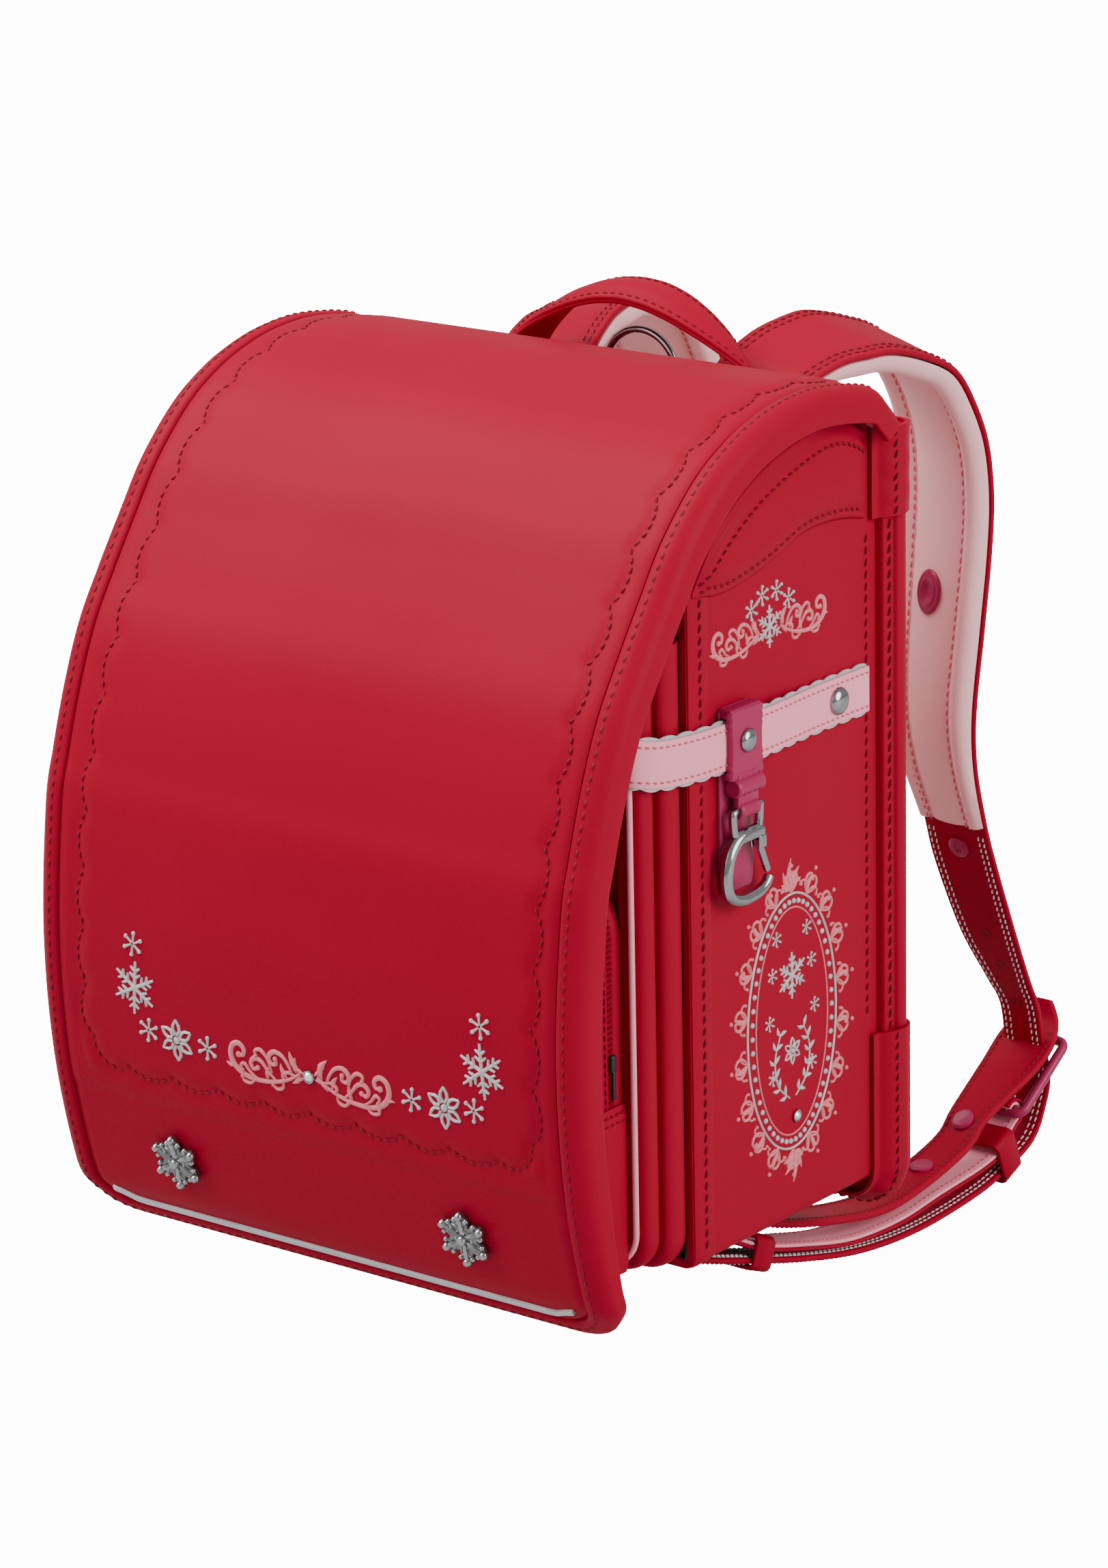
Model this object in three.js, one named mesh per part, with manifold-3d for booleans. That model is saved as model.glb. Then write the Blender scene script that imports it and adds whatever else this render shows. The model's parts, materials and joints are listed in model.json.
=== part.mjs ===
// A Japanese school ransel: a stiff leather satchel with a long flap, worn on the back.
// The bag stands upright, its flap faces -Y, the wearer's back is on +Y, and lengths are in millimetres.
// Inside the group "bag", x = 0 is the mid-plane, y = 0 the middle of the main compartment and
// z = 0 the underside of its base. The whole group is then moved so that the origin is the point
// under the top handle where a hand or a wall hook carries the bag.
import * as THREE from 'three';
import { mergeVertices } from 'three/addons/utils/BufferGeometryUtils.js';
import Module from 'manifold-3d';

const wasm = await Module();
wasm.setup();

// Main sizes of the bag
const bodyWidth = 250;
const bodyDepth = 124;
const bodyHeight = 318;
const wall = 3;
const clearance = 0.3;
const baseCorner = 4;

const halfWidth = bodyWidth / 2;
const halfDepth = bodyDepth / 2;

// Back of the bag: board, pad and the rolled hem round both
const hemDepth = 17.5;
const hemInset = 9;
const hemOutset = 5;
const hemBelow = 12.5;
const hemCorner = 17;
const backBoardThickness = 6.4;
const backPadThickness = 12;
const coverWall = 1.7;
const topCoverHeight = 35.5;
const bottomCoverHeight = 74;

// Front of the bag: two rolled gussets, the front pocket and the zip pocket
const frontRollDepth = 13.2;
const pocketRollDepth = 11;
const rollThickness = 12;
const rollStep = 2.5;
const frontHeight = 250;
const frontPanelThickness = 3;
const edgingThickness = 2.4;
const zipPocketWidth = 226;
const zipPocketHeight = 166;
const zipPocketDepth = 27;
const zipPocketCorner = 26;
const zipOverlayHeight = 68;

// Flap
const flapWidth = 271;
const flapReach = 144;
const flapRise = 12.5;
const flapThickness = 3;
const flapCorner = 26;
const flapHemWidth = 12;
const flapHemDrop = 17;
const stripHeight = 2.2;
const stripThickness = 0.9;
const rivetDiameter = 22.5;
const rivetHeight = 3.4;

// Top of the back: yoke, handle and ring
const yokeWidth = 168;
const yokeHeight = 43;
const yokeStep = 13;
const yokeRise = 4;
const handleSpan = 118;
const handleRise = 42.3;
const handleWidth = 20;
const handleThickness = 4.5;
const ringInside = 16;
const ringWire = 1.6;
const ringHeight = 8;

// Shoulder straps
const strapWidth = 51;
const strapReach = 136;
const strapSide = 72;
const shellThickness = 2.6;
const padThickness = 9;
const tailWidth = 20;
const loopDrop = 61;

// Lower belts with their buckles
const beltSide = 76;
const beltThickness = 3.2;
const tongueWidth = 29;
const slotLength = 7.5;
const buckleLength = 46;
const buckleBar = 4.4;
const pinDiameter = 2.6;
const keeperWall = 1.8;
const keeperLength = 13;
const baseRingWire = 3;

// Side belt with its snap hook
const sideBeltHeight = 20;
const sideBeltThickness = 2.2;
const sideBeltLevel = 205;
const hookKeeperWidth = 20;
const hookWire = 4.4;
const hookLevel = 179;
const hookPlace = -33;
const overlayThickness = 2.6;

const bag = new THREE.Group();
const ransel = new THREE.Group();
ransel.add(bag);

// Materials
const leather = { color: 0xb01c2b, roughness: 0.42, metalness: 0 };
const darkLeather = { color: 0x8c0f1d, roughness: 0.5, metalness: 0 };
const pinkLeather = { color: 0xe8b4bd, roughness: 0.5, metalness: 0 };
const liningLeather = { color: 0xd9a3a5, roughness: 0.6, metalness: 0 };
const plastic = { color: 0xa92450, roughness: 0.45, metalness: 0 };
const silverTrim = { color: 0xc8cccd, roughness: 0.35, metalness: 0.4 };
const steel = { color: 0xd5d8da, roughness: 0.15, metalness: 1 };

function addPiece(name, geometry, finish) {
  const mesh = new THREE.Mesh(geometry, new THREE.MeshStandardMaterial(finish));
  mesh.name = name;
  bag.add(mesh);
  return mesh;
}

// Both sides of the bag carry the same piece, mirrored across the mid-plane.
function addPair(name, geometry, finish) {
  addPiece(`${name}_right`, geometry, finish);
  addPiece(`${name}_left`, mirrored(geometry), finish);
}

const point2 = (x, y) => new THREE.Vector2(x, y);
const point3 = (x, y, z) => new THREE.Vector3(x, y, z);

// A geometry with its shared corners merged and its triangles facing outwards.
function closed(positions, triangles) {
  const geometry = new THREE.BufferGeometry();
  geometry.setAttribute('position', new THREE.Float32BufferAttribute(positions, 3));
  geometry.setIndex(triangles);
  return enclosedVolume(geometry) < 0 ? flipped(geometry) : geometry;
}

function enclosedVolume(geometry) {
  const place = geometry.getAttribute('position');
  const order = geometry.getIndex().array;
  const corner = [point3(0, 0, 0), point3(0, 0, 0), point3(0, 0, 0)];
  let sum = 0;
  for (let i = 0; i < order.length; i += 3) {
    corner.forEach((vertex, k) => vertex.fromBufferAttribute(place, order[i + k]));
    sum += corner[0].dot(corner[1].clone().cross(corner[2]));
  }
  return sum / 6;
}

function flipped(geometry) {
  const order = Array.from(geometry.getIndex().array);
  for (let i = 0; i < order.length; i += 3) {
    [order[i + 1], order[i + 2]] = [order[i + 2], order[i + 1]];
  }
  geometry.setIndex(order);
  return geometry;
}

function mirrored(geometry) {
  const copy = mergedCopy(geometry).applyMatrix4(new THREE.Matrix4().makeScale(-1, 1, 1));
  return flipped(copy);
}

function mergedCopy(geometry) {
  const copy = geometry.clone();
  copy.deleteAttribute('normal');
  copy.deleteAttribute('uv');
  return mergeVertices(copy, 1e-4);
}

// Joins and cuts
function toSolid(geometry) {
  const merged = mergedCopy(geometry);
  return new wasm.Manifold(new wasm.Mesh({
    numProp: 3,
    vertProperties: new Float32Array(merged.getAttribute('position').array),
    triVerts: new Uint32Array(merged.getIndex().array),
  }));
}

function fromSolid(solid) {
  const mesh = solid.getMesh();
  return closed(Array.from(mesh.vertProperties), Array.from(mesh.triVerts));
}

function joined(...geometries) {
  const [first, ...rest] = geometries.map(toSolid);
  return fromSolid(rest.reduce((sum, solid) => sum.add(solid), first));
}

function cut(geometry, ...tools) {
  return fromSolid(tools.map(toSolid).reduce((left, tool) => left.subtract(tool), toSolid(geometry)));
}

function shared(first, second) {
  return fromSolid(toSolid(first).intersect(toSolid(second)));
}

// A solid through a row of rings with as many points each, with flat ends or closed on itself.
function loft(rings, endless = false) {
  const size = rings[0].length;
  const positions = rings.flat().flatMap((vertex) => [vertex.x, vertex.y, vertex.z]);
  const triangles = [];
  const spans = endless ? rings.length : rings.length - 1;
  for (let i = 0; i < spans; i += 1) {
    const near = i * size;
    const far = ((i + 1) % rings.length) * size;
    for (let j = 0; j < size; j += 1) {
      const next = (j + 1) % size;
      triangles.push(near + j, near + next, far + next, near + j, far + next, far + j);
    }
  }
  if (!endless) {
    triangles.push(...capOf(rings[0], 0, true));
    triangles.push(...capOf(rings[rings.length - 1], (rings.length - 1) * size, false));
  }
  return closed(positions, triangles);
}

// The triangles that close one end of a loft.
function capOf(ring, start, reversed) {
  const normal = point3(0, 0, 0);
  ring.forEach((vertex, i) => normal.add(vertex.clone().cross(ring[(i + 1) % ring.length])));
  normal.normalize();
  const across = ring[1].clone().sub(ring[0]).normalize();
  const up = normal.clone().cross(across);
  const flat = ring.map((vertex) => point2(vertex.dot(across), vertex.dot(up)));
  return THREE.ShapeUtils.triangulateShape(flat, []).flatMap(([a, b, c]) => {
    const turn = flat[b].clone().sub(flat[a]).cross(flat[c].clone().sub(flat[a]));
    const keep = (turn > 0) !== reversed;
    return keep ? [start + a, start + b, start + c] : [start + a, start + c, start + b];
  });
}

// A section carried along stations: each holds a point and the two directions of its section.
function swept(stations, sectionAt, endless = false) {
  const rings = stations.map((station, i) => sectionAt(station, i).map(({ x, y }) => (
    station.at.clone().addScaledVector(station.across, x).addScaledVector(station.normal, y))));
  return loft(rings, endless);
}

function slab(width, bottom, top) {
  return [point2(-width / 2, bottom), point2(width / 2, bottom), point2(width / 2, top),
    point2(-width / 2, top)];
}

function roundSection(radius, sides) {
  return Array.from({ length: sides }, (_, i) => {
    const angle = (2 * Math.PI * (i + 0.5)) / sides;
    return point2(radius * Math.cos(angle), radius * Math.sin(angle));
  });
}

// Rows of a table with smooth rows between them, column by column.
function smoothRows(rows, between) {
  const rowAt = (i) => rows[Math.min(Math.max(i, 0), rows.length - 1)];
  const result = [];
  for (let i = 0; i < rows.length - 1; i += 1) {
    for (let step = 0; step < between; step += 1) {
      const entries = Object.keys(rows[0]).map((name) => {
        const near = [-1, 0, 1, 2].map((offset) => rowAt(i + offset)[name]);
        return [name, blend(near, step / between)];
      });
      result.push(Object.fromEntries(entries));
    }
  }
  return [...result, rows[rows.length - 1]];
}

function blend([before, start, end, after], t) {
  const slopeIn = (end - before) / 2;
  const slopeOut = (after - start) / 2;
  const square = t * t;
  const cube = square * t;
  return start * (2 * cube - 3 * square + 1) + slopeIn * (cube - 2 * square + t)
    + end * (3 * square - 2 * cube) + slopeOut * (cube - square);
}

// Tangents of a row of points.
function tangents(points, endless = false) {
  const count = points.length;
  return points.map((_, i) => {
    const before = points[endless ? (i + count - 1) % count : Math.max(i - 1, 0)];
    const after = points[endless ? (i + 1) % count : Math.min(i + 1, count - 1)];
    return after.clone().sub(before).normalize();
  });
}

// Extrusions of outlines drawn in (y, z), (x, z) and (x, y)
function extrudedAlong(basis, shape, from, to, options = {}) {
  const geometry = new THREE.ExtrudeGeometry(shape, {
    depth: to - from, bevelEnabled: false, curveSegments: 6, ...options,
  });
  return geometry.applyMatrix4(basis);
}

function alongX(shape, from, to, options) {
  const basis = new THREE.Matrix4().makeBasis(point3(0, 1, 0), point3(0, 0, 1), point3(1, 0, 0));
  return extrudedAlong(basis.setPosition(from, 0, 0), shape, from, to, options);
}

function alongY(shape, from, to, options) {
  const basis = new THREE.Matrix4().makeBasis(point3(1, 0, 0), point3(0, 0, 1), point3(0, -1, 0));
  return extrudedAlong(basis.setPosition(0, to, 0), shape, from, to, options);
}

function outline(points) {
  return new THREE.Shape(points);
}

function box(low, high) {
  const size = high.clone().sub(low);
  const middle = low.clone().add(high).multiplyScalar(0.5);
  return new THREE.BoxGeometry(size.x, size.y, size.z).translate(middle.x, middle.y, middle.z);
}

function rod(radius, length, sides, axis, middle) {
  const turn = new THREE.Quaternion().setFromUnitVectors(point3(0, 1, 0), axis);
  const geometry = new THREE.CylinderGeometry(radius, radius, length, sides).applyQuaternion(turn);
  return geometry.translate(middle.x, middle.y, middle.z);
}

// A rectangle in (x, z) with its lower or upper corners rounded.
function roundedPanel(halfAcross, bottom, top, lowerRadius, upperRadius) {
  const shape = new THREE.Shape();
  shape.moveTo(-halfAcross + lowerRadius, bottom);
  shape.lineTo(halfAcross - lowerRadius, bottom);
  if (lowerRadius > 0) {
    shape.absarc(halfAcross - lowerRadius, bottom + lowerRadius, lowerRadius, -Math.PI / 2, 0);
  }
  shape.lineTo(halfAcross, top - upperRadius);
  if (upperRadius > 0) {
    shape.absarc(halfAcross - upperRadius, top - upperRadius, upperRadius, 0, Math.PI / 2);
  }
  shape.lineTo(-halfAcross + upperRadius, top);
  if (upperRadius > 0) {
    shape.absarc(-halfAcross + upperRadius, top - upperRadius, upperRadius, Math.PI / 2, Math.PI);
  }
  shape.lineTo(-halfAcross, bottom + lowerRadius);
  if (lowerRadius > 0) {
    shape.absarc(-halfAcross + lowerRadius, bottom + lowerRadius, lowerRadius, Math.PI, 1.5 * Math.PI);
  }
  return shape;
}

// Stations of a U that runs down one side, round two lower corners and up the other side.
// Across points out of the bag, normal points to the front.
function uStations(half, bottom, top, corner, cornerSteps, from = top) {
  const stations = [];
  const front = point3(0, -1, 0);
  const add = (x, z, angle) => stations.push({
    at: point3(x, 0, z), across: point3(Math.cos(angle), 0, Math.sin(angle)), normal: front,
  });
  add(half, from, 0);
  for (let i = 0; i <= cornerSteps; i += 1) {
    const angle = (-Math.PI / 2) * (i / cornerSteps);
    add(half - corner + corner * Math.cos(angle), bottom + corner + corner * Math.sin(angle), angle);
  }
  for (let i = 0; i <= cornerSteps; i += 1) {
    const angle = -Math.PI / 2 - (Math.PI / 2) * (i / cornerSteps);
    add(corner - half + corner * Math.cos(angle), bottom + corner + corner * Math.sin(angle), angle);
  }
  add(-half, from, -Math.PI);
  return stations;
}

// Main compartment: two sides and a base in one bent piece, open at the front, back and top.
// Each row is a point of the side's upper edge: along the depth from the front, up the height.
const sideTop = [
  { along: 0, up: 0.836 },
  { along: 0.13, up: 0.909 },
  { along: 0.34, up: 0.962 },
  { along: 0.62, up: 0.998 },
  { along: 0.8, up: 1 },
  { along: 1, up: 0.962 },
];

function sideEdge(inset, steps) {
  return smoothRows(sideTop, steps).map(({ along, up }) => (
    point2(-halfDepth + along * bodyDepth, up * bodyHeight - inset)));
}

function gusset() {
  const side = outline([point2(-halfDepth, 0), point2(halfDepth, 0), ...sideEdge(0, 3).reverse()]);
  const outside = alongY(roundedPanel(halfWidth, 0, bodyHeight + wall, baseCorner, 0), -halfDepth - wall,
    halfDepth + wall);
  const room = box(point3(-halfWidth + wall, -halfDepth - wall, wall),
    point3(halfWidth - wall, halfDepth + wall, bodyHeight + wall));
  return cut(shared(alongX(side, -halfWidth, halfWidth), outside), room);
}

// Padded overlay on each side, between the bag's upper edge and a wavy lower seam.
const overlaySeam = [
  { along: 0.03, up: 0.835 },
  { along: 0.19, up: 0.828 },
  { along: 0.4, up: 0.842 },
  { along: 0.6, up: 0.866 },
  { along: 0.78, up: 0.868 },
  { along: 0.93, up: 0.858 },
];
const overlayMargin = 6;

function sideOverlay() {
  const upper = sideEdge(overlayMargin, 3).filter(({ x }) => x > -halfDepth + overlayMargin
    && x < halfDepth - overlayMargin - coverWall);
  const lower = smoothRows(overlaySeam, 2).map(({ along, up }) => (
    point2(-halfDepth + along * bodyDepth, up * bodyHeight)));
  const bevel = 0.8;
  return alongX(outline([...lower, ...upper.reverse()]), halfWidth + clearance + bevel,
    halfWidth + overlayThickness - bevel,
    { bevelEnabled: true, bevelThickness: bevel, bevelSize: bevel, bevelOffset: -bevel, bevelSegments: 1 });
}

// Back board, pad and hem
const boardHalf = halfWidth - hemInset - clearance;
const boardRear = halfDepth + clearance + backBoardThickness;
const boardTop = 0.962 * bodyHeight;
const boardEnd = 0.912 * bodyHeight;
const hemFront = halfDepth + clearance;
const hemRear = hemFront + hemDepth;
const hemThick = hemInset + hemOutset;

function backBoard() {
  const shape = roundedPanel(boardHalf, hemThick - hemBelow + clearance, boardEnd, 4, 6);
  return alongY(shape, hemFront, boardRear);
}

function backPad() {
  const crown = 4;
  const bevel = { bevelEnabled: true, bevelThickness: crown, bevelSize: crown, bevelSegments: 2 };
  const shape = roundedPanel(boardHalf - 12, 18, boardTop - yokeHeight - 12, 22, 18);
  return alongY(shape, boardRear + clearance + crown, boardRear + backPadThickness - crown, bevel);
}

// Section of the back hem, from its inner edge outwards and from its front to its rear.
function hemSection() {
  const out = hemThick;
  const rear = hemRear;
  return [
    point2(0, -hemFront), point2(out - 4, -hemFront), point2(out - 1, -hemFront - 1.7),
    point2(out, -hemFront - 5.7), point2(out, -rear + 6.9), point2(out - 1.5, -rear + 2.4),
    point2(out - 5, -rear), point2(0, -rear),
  ];
}

function hemStations(from) {
  return uStations(halfWidth - hemInset, hemThick - hemBelow, from, hemCorner - hemThick, 4, from);
}

function backHem() {
  return swept(hemStations(boardTop - clearance), () => hemSection());
}

// Leather cover folded round the hem, open along its inner side.
function coverSection() {
  const out = hemThick;
  const lip = halfDepth - 5;
  const lipInside = hemInset + 2 * clearance;
  const inner = [
    point2(0, -hemRear - clearance), point2(out - 4.8, -hemRear - clearance),
    point2(out - 1.2, -hemRear + 2.1), point2(out + clearance, -hemRear + 6.8),
    point2(out + clearance, -hemFront - 5.7), point2(out - 0.7, -hemFront - 1.2),
    point2(lipInside, -hemFront + 0.6), point2(lipInside, -lip),
  ];
  const thick = coverWall;
  const outer = [
    point2(lipInside + thick, -lip), point2(lipInside + thick, -hemFront + 1.9),
    point2(out + 0.9, -hemFront + 0.2), point2(out + clearance + thick, -hemFront - 5),
    point2(out + clearance + thick, -hemRear + 6), point2(out + 0.3, -hemRear + 0.6),
    point2(out - 4.2, -hemRear - clearance - thick), point2(0, -hemRear - clearance - thick),
  ];
  return [...inner, ...outer];
}

function topCover() {
  const [top] = hemStations(boardTop + 1.4);
  const low = { ...top, at: top.at.clone().setZ(top.at.z - topCoverHeight) };
  return swept([top, low], () => coverSection());
}

function bottomCover() {
  const stations = hemStations(bottomCoverHeight - hemBelow).slice(0, 6);
  const last = stations[stations.length - 1];
  const end = { ...last, at: last.at.clone().setX(last.at.x - 26) };
  return swept([...stations, end], () => coverSection());
}

// Front rolls: soft gussets that bulge at the sides and under the base.
const frontRollBack = -halfDepth - clearance;
const frontRollFront = frontRollBack - frontRollDepth;
const pocketRollBack = frontRollFront - clearance;
const pocketRollFront = pocketRollBack - pocketRollDepth;

function rollSection(back, front) {
  const bulge = 0.2 * rollThickness;
  const quarter = (back - front) / 4;
  return [
    point2(0, -back), point2(rollThickness - bulge, -back), point2(rollThickness, -back + quarter),
    point2(rollThickness, -front - quarter), point2(rollThickness - bulge, -front), point2(0, -front),
  ];
}

function roll(back, front, half, bottom) {
  const stations = uStations(half - rollThickness, bottom + rollThickness, frontHeight,
    rollThickness, 4);
  return swept(stations, () => rollSection(back, front));
}

const frontRollHalf = halfWidth - 1;
const pocketRollHalf = frontRollHalf - rollStep;
const pocketRollBottom = 1 + rollStep;

function frontPanel() {
  const shape = roundedPanel(frontRollHalf - rollThickness - clearance, 1 + rollThickness + clearance,
    frontHeight + 8, rollThickness + 2, 4);
  return alongY(shape, frontRollBack - frontPanelThickness, frontRollBack);
}

function pocketFace() {
  const shape = roundedPanel(pocketRollHalf - rollThickness - clearance,
    pocketRollBottom + rollThickness + clearance, frontHeight, rollThickness + 2, 4);
  return alongY(shape, pocketRollFront, pocketRollFront + frontPanelThickness);
}

// Pink piping on the front edge of the pocket.
const edgingFront = pocketRollFront - clearance - edgingThickness;

function pocketEdging() {
  const inset = 6;
  const half = pocketRollHalf - 3;
  const section = [
    point2(0, -pocketRollFront + clearance), point2(inset - 0.8, -pocketRollFront + clearance),
    point2(inset, -edgingFront - edgingThickness / 2), point2(inset - 0.8, -edgingFront),
    point2(0, -edgingFront),
  ];
  const stations = uStations(half - inset, pocketRollBottom + 3 + inset, frontHeight, 14, 4);
  return swept(stations, () => section);
}

// Zip pocket: a rounded tray that opens towards the pocket behind it.
const zipBack = edgingFront - clearance;
const zipFront = zipBack - zipPocketDepth;
const zipHalf = zipPocketWidth / 2;

function zipPocket() {
  const rim = 3;
  const shell = alongY(roundedPanel(zipHalf - rim, 7, zipPocketHeight - rim, 3, zipPocketCorner - rim),
    zipFront + rim, zipBack,
    { bevelEnabled: true, bevelThickness: rim, bevelSize: rim, bevelSegments: 2, curveSegments: 5 });
  const room = alongY(
    roundedPanel(zipHalf - wall, 4 + wall, zipPocketHeight - wall, 4, zipPocketCorner - wall),
    zipFront + wall, zipBack + 2 * rim, { curveSegments: 5 });
  const backCut = box(point3(-zipHalf - rim, zipBack, -rim),
    point3(zipHalf + rim, zipBack + 2 * rim, zipPocketHeight + rim));
  return cut(shell, room, backCut);
}

// Reinforcing wrap round the foot of the zip pocket.
function zipOverlay() {
  const thick = 1.6;
  const inside = zipHalf + clearance;
  const outside = inside + thick;
  const outer = outline([
    point2(-outside, zipBack), point2(-outside, zipFront + 0.8),
    point2(-zipHalf + 0.8, zipFront - clearance - thick), point2(zipHalf - 0.8, zipFront - clearance - thick),
    point2(outside, zipFront + 0.8), point2(outside, zipBack),
    point2(inside, zipBack), point2(inside, zipFront + 1.4),
    point2(zipHalf - 1.4, zipFront - clearance), point2(-zipHalf + 1.4, zipFront - clearance),
    point2(-inside, zipFront + 1.4), point2(-inside, zipBack),
  ]);
  const geometry = new THREE.ExtrudeGeometry(outer, { depth: zipOverlayHeight, bevelEnabled: false });
  return geometry.translate(0, 0, 6);
}

// Flap. Each row is a point of the flap's outer face in side view, from its rear end on the
// back of the bag, over the top and down the front: along the way forward, up to the crown.
const flapCrown = bodyHeight + flapRise;
const flapRear = boardRear + clearance + flapThickness;
const flapProfile = [
  { along: 0, up: 0.855 },
  { along: 0, up: 0.882 },
  { along: 0.003, up: 0.907 },
  { along: 0.016, up: 0.938 },
  { along: 0.046, up: 0.961 },
  { along: 0.097, up: 0.985 },
  { along: 0.239, up: 1 },
  { along: 0.3475, up: 0.997 },
  { along: 0.4356, up: 0.984 },
  { along: 0.51, up: 0.965 },
  { along: 0.589, up: 0.934 },
  { along: 0.677, up: 0.88 },
  { along: 0.741, up: 0.824 },
  { along: 0.811, up: 0.759 },
  { along: 0.867, up: 0.702 },
  { along: 0.913, up: 0.633 },
  { along: 0.952, up: 0.557 },
  { along: 0.978, up: 0.492 },
  { along: 1, up: 0.334 },
  { along: 0.987, up: 0.178 },
  { along: 0.941, up: 0.039 },
  { along: 0.904, up: -0.006 },
  { along: 0.857, up: -0.042 },
];
const flapHemStart = 3;

const flapLine = smoothRows(flapProfile, 4).map(({ along, up }) => (
  point2(flapRear - along * (flapRear + flapReach), up * flapCrown)));
const flapRun = flapLine.reduce((run, here, i) => {
  run.push(i === 0 ? 0 : run[i - 1] + here.distanceTo(flapLine[i - 1]));
  return run;
}, []);
const flapLength = flapRun[flapRun.length - 1];
const flapHemFrom = flapRun[4 * flapHemStart];

// The point of the flap's outer face at a run along its profile, with its outward normal.
function flapAt(run) {
  let i = 1;
  while (i < flapRun.length - 1 && flapRun[i] < run) {
    i += 1;
  }
  const share = (run - flapRun[i - 1]) / (flapRun[i] - flapRun[i - 1]);
  const step = flapLine[i].clone().sub(flapLine[i - 1]);
  const spot = flapLine[i - 1].clone().addScaledVector(step, share);
  step.normalize();
  return {
    y: spot.x, z: spot.y, along: point3(0, step.x, step.y), normal: point3(0, step.y, -step.x),
  };
}

function onFlap(x, run, lift) {
  const { y, z, normal } = flapAt(run);
  return point3(x, y, z).addScaledVector(normal, lift);
}

const flapHalf = flapWidth / 2;
const panelHalf = flapHalf - flapHemWidth - clearance;
const panelLength = flapLength - flapHemWidth - clearance;
const panelCorner = flapCorner - flapHemWidth;

// Half width of the flap's panel: between the back hems at its rear end, and narrowing round
// its two lower corners.
function panelReach(run) {
  if (run <= flapHemFrom) {
    return boardHalf;
  }
  const past = run - (panelLength - panelCorner);
  if (past <= 0) {
    return panelHalf;
  }
  return panelHalf - panelCorner + Math.sqrt(Math.max(panelCorner ** 2 - past ** 2, 0));
}

function flapPanel() {
  const runs = flapRun.filter((run, i) => i % 2 === 0 && run < panelLength - panelCorner);
  for (let i = 0; i <= 4; i += 1) {
    const turn = (Math.PI / 2) * (i / 4);
    runs.push(panelLength - panelCorner + panelCorner * Math.sin(turn));
  }
  const rings = runs.map((run) => {
    const reach = Math.max(panelReach(run), panelHalf - panelCorner);
    return [onFlap(-reach, run, 0), onFlap(reach, run, 0), onFlap(reach, run, -flapThickness),
      onFlap(-reach, run, -flapThickness)];
  });
  return loft(rings);
}

// The flap's hem: its edge rolled inwards down both sides and round the lower end.
function flapHemSection(drop) {
  const width = flapHemWidth;
  const thick = flapThickness;
  return [
    point2(0, 0), point2(0.45 * width, -0.8), point2(0.8 * width, -0.2 * drop),
    point2(width, -0.48 * drop), point2(width, -drop), point2(width - thick, -drop),
    point2(width - thick, -0.55 * drop), point2(0.76 * width - 0.6 * thick, -0.25 * drop - 0.4 * thick),
    point2(0.4 * width, -0.8 - thick), point2(0, -thick),
  ];
}

function flapHem() {
  const half = flapHalf - flapHemWidth;
  const end = flapLength - flapHemWidth;
  const path = [];
  const cornerSteps = 4;
  const lastStraight = end - panelCorner;
  flapRun.forEach((run, i) => {
    if (i % 2 === 0 && run >= flapHemFrom && run < lastStraight - 2) {
      path.push({ x: half, run, turn: 0 });
    }
  });
  for (let i = 0; i <= cornerSteps; i += 1) {
    const turn = (Math.PI / 2) * (i / cornerSteps);
    path.push({
      x: half - panelCorner + panelCorner * Math.cos(turn),
      run: lastStraight + panelCorner * Math.sin(turn),
      turn,
    });
  }
  const back = path.map(({ x, run, turn }) => ({ x: -x, run, turn: Math.PI - turn })).reverse();
  const rings = [...path, ...back].map(({ x, run, turn }) => {
    const { along, normal } = flapAt(run);
    const across = point3(Math.cos(turn), 0, 0).addScaledVector(along, Math.sin(turn));
    const tip = Math.min(Math.max((run - 0.86 * flapLength) / (0.14 * flapLength), 0), 1);
    const drop = flapHemDrop * (1 - 0.5 * tip);
    return flapHemSection(drop).map(({ x: out, y: lift }) => (
      onFlap(x, run, 0).addScaledVector(across, out).addScaledVector(normal, lift)));
  });
  return loft(rings);
}

// Reflective strip laid across the foot of the flap.
const stripRun = panelLength - 3.4;

function reflectiveStrip() {
  const half = panelHalf - panelCorner;
  const low = stripRun - stripHeight;
  return loft([-half, half].map((x) => [
    onFlap(x, low, clearance), onFlap(x, stripRun, clearance),
    onFlap(x, stripRun, clearance + stripThickness), onFlap(x, low, clearance + stripThickness),
  ]));
}

// Snowflake rivet: six pointed petals round a raised middle, seated on the flap.
const rivetSide = 72.3;
const rivetRun = 0.912 * flapLength;

function snowRivet() {
  const shape = new THREE.Shape();
  const points = 12;
  for (let i = 0; i < points; i += 1) {
    const radius = (i % 2 === 0 ? 1 : 0.52) * (rivetDiameter / 2);
    const angle = (2 * Math.PI * i) / points;
    shape[i === 0 ? 'moveTo' : 'lineTo'](radius * Math.cos(angle), radius * Math.sin(angle));
  }
  const bevel = rivetHeight / 3;
  const geometry = new THREE.ExtrudeGeometry(shape, {
    depth: rivetHeight - bevel, bevelEnabled: true, bevelThickness: bevel, bevelSize: bevel,
    bevelOffset: -bevel, bevelSegments: 1,
  });
  const seat = flapAt(rivetRun);
  const place = new THREE.Matrix4().makeBasis(point3(1, 0, 0), seat.normal.clone().cross(point3(1, 0, 0)),
    seat.normal);
  geometry.applyMatrix4(place);
  const middle = onFlap(rivetSide, rivetRun, clearance + 0.5 + bevel);
  return geometry.translate(middle.x, middle.y, middle.z);
}

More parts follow.
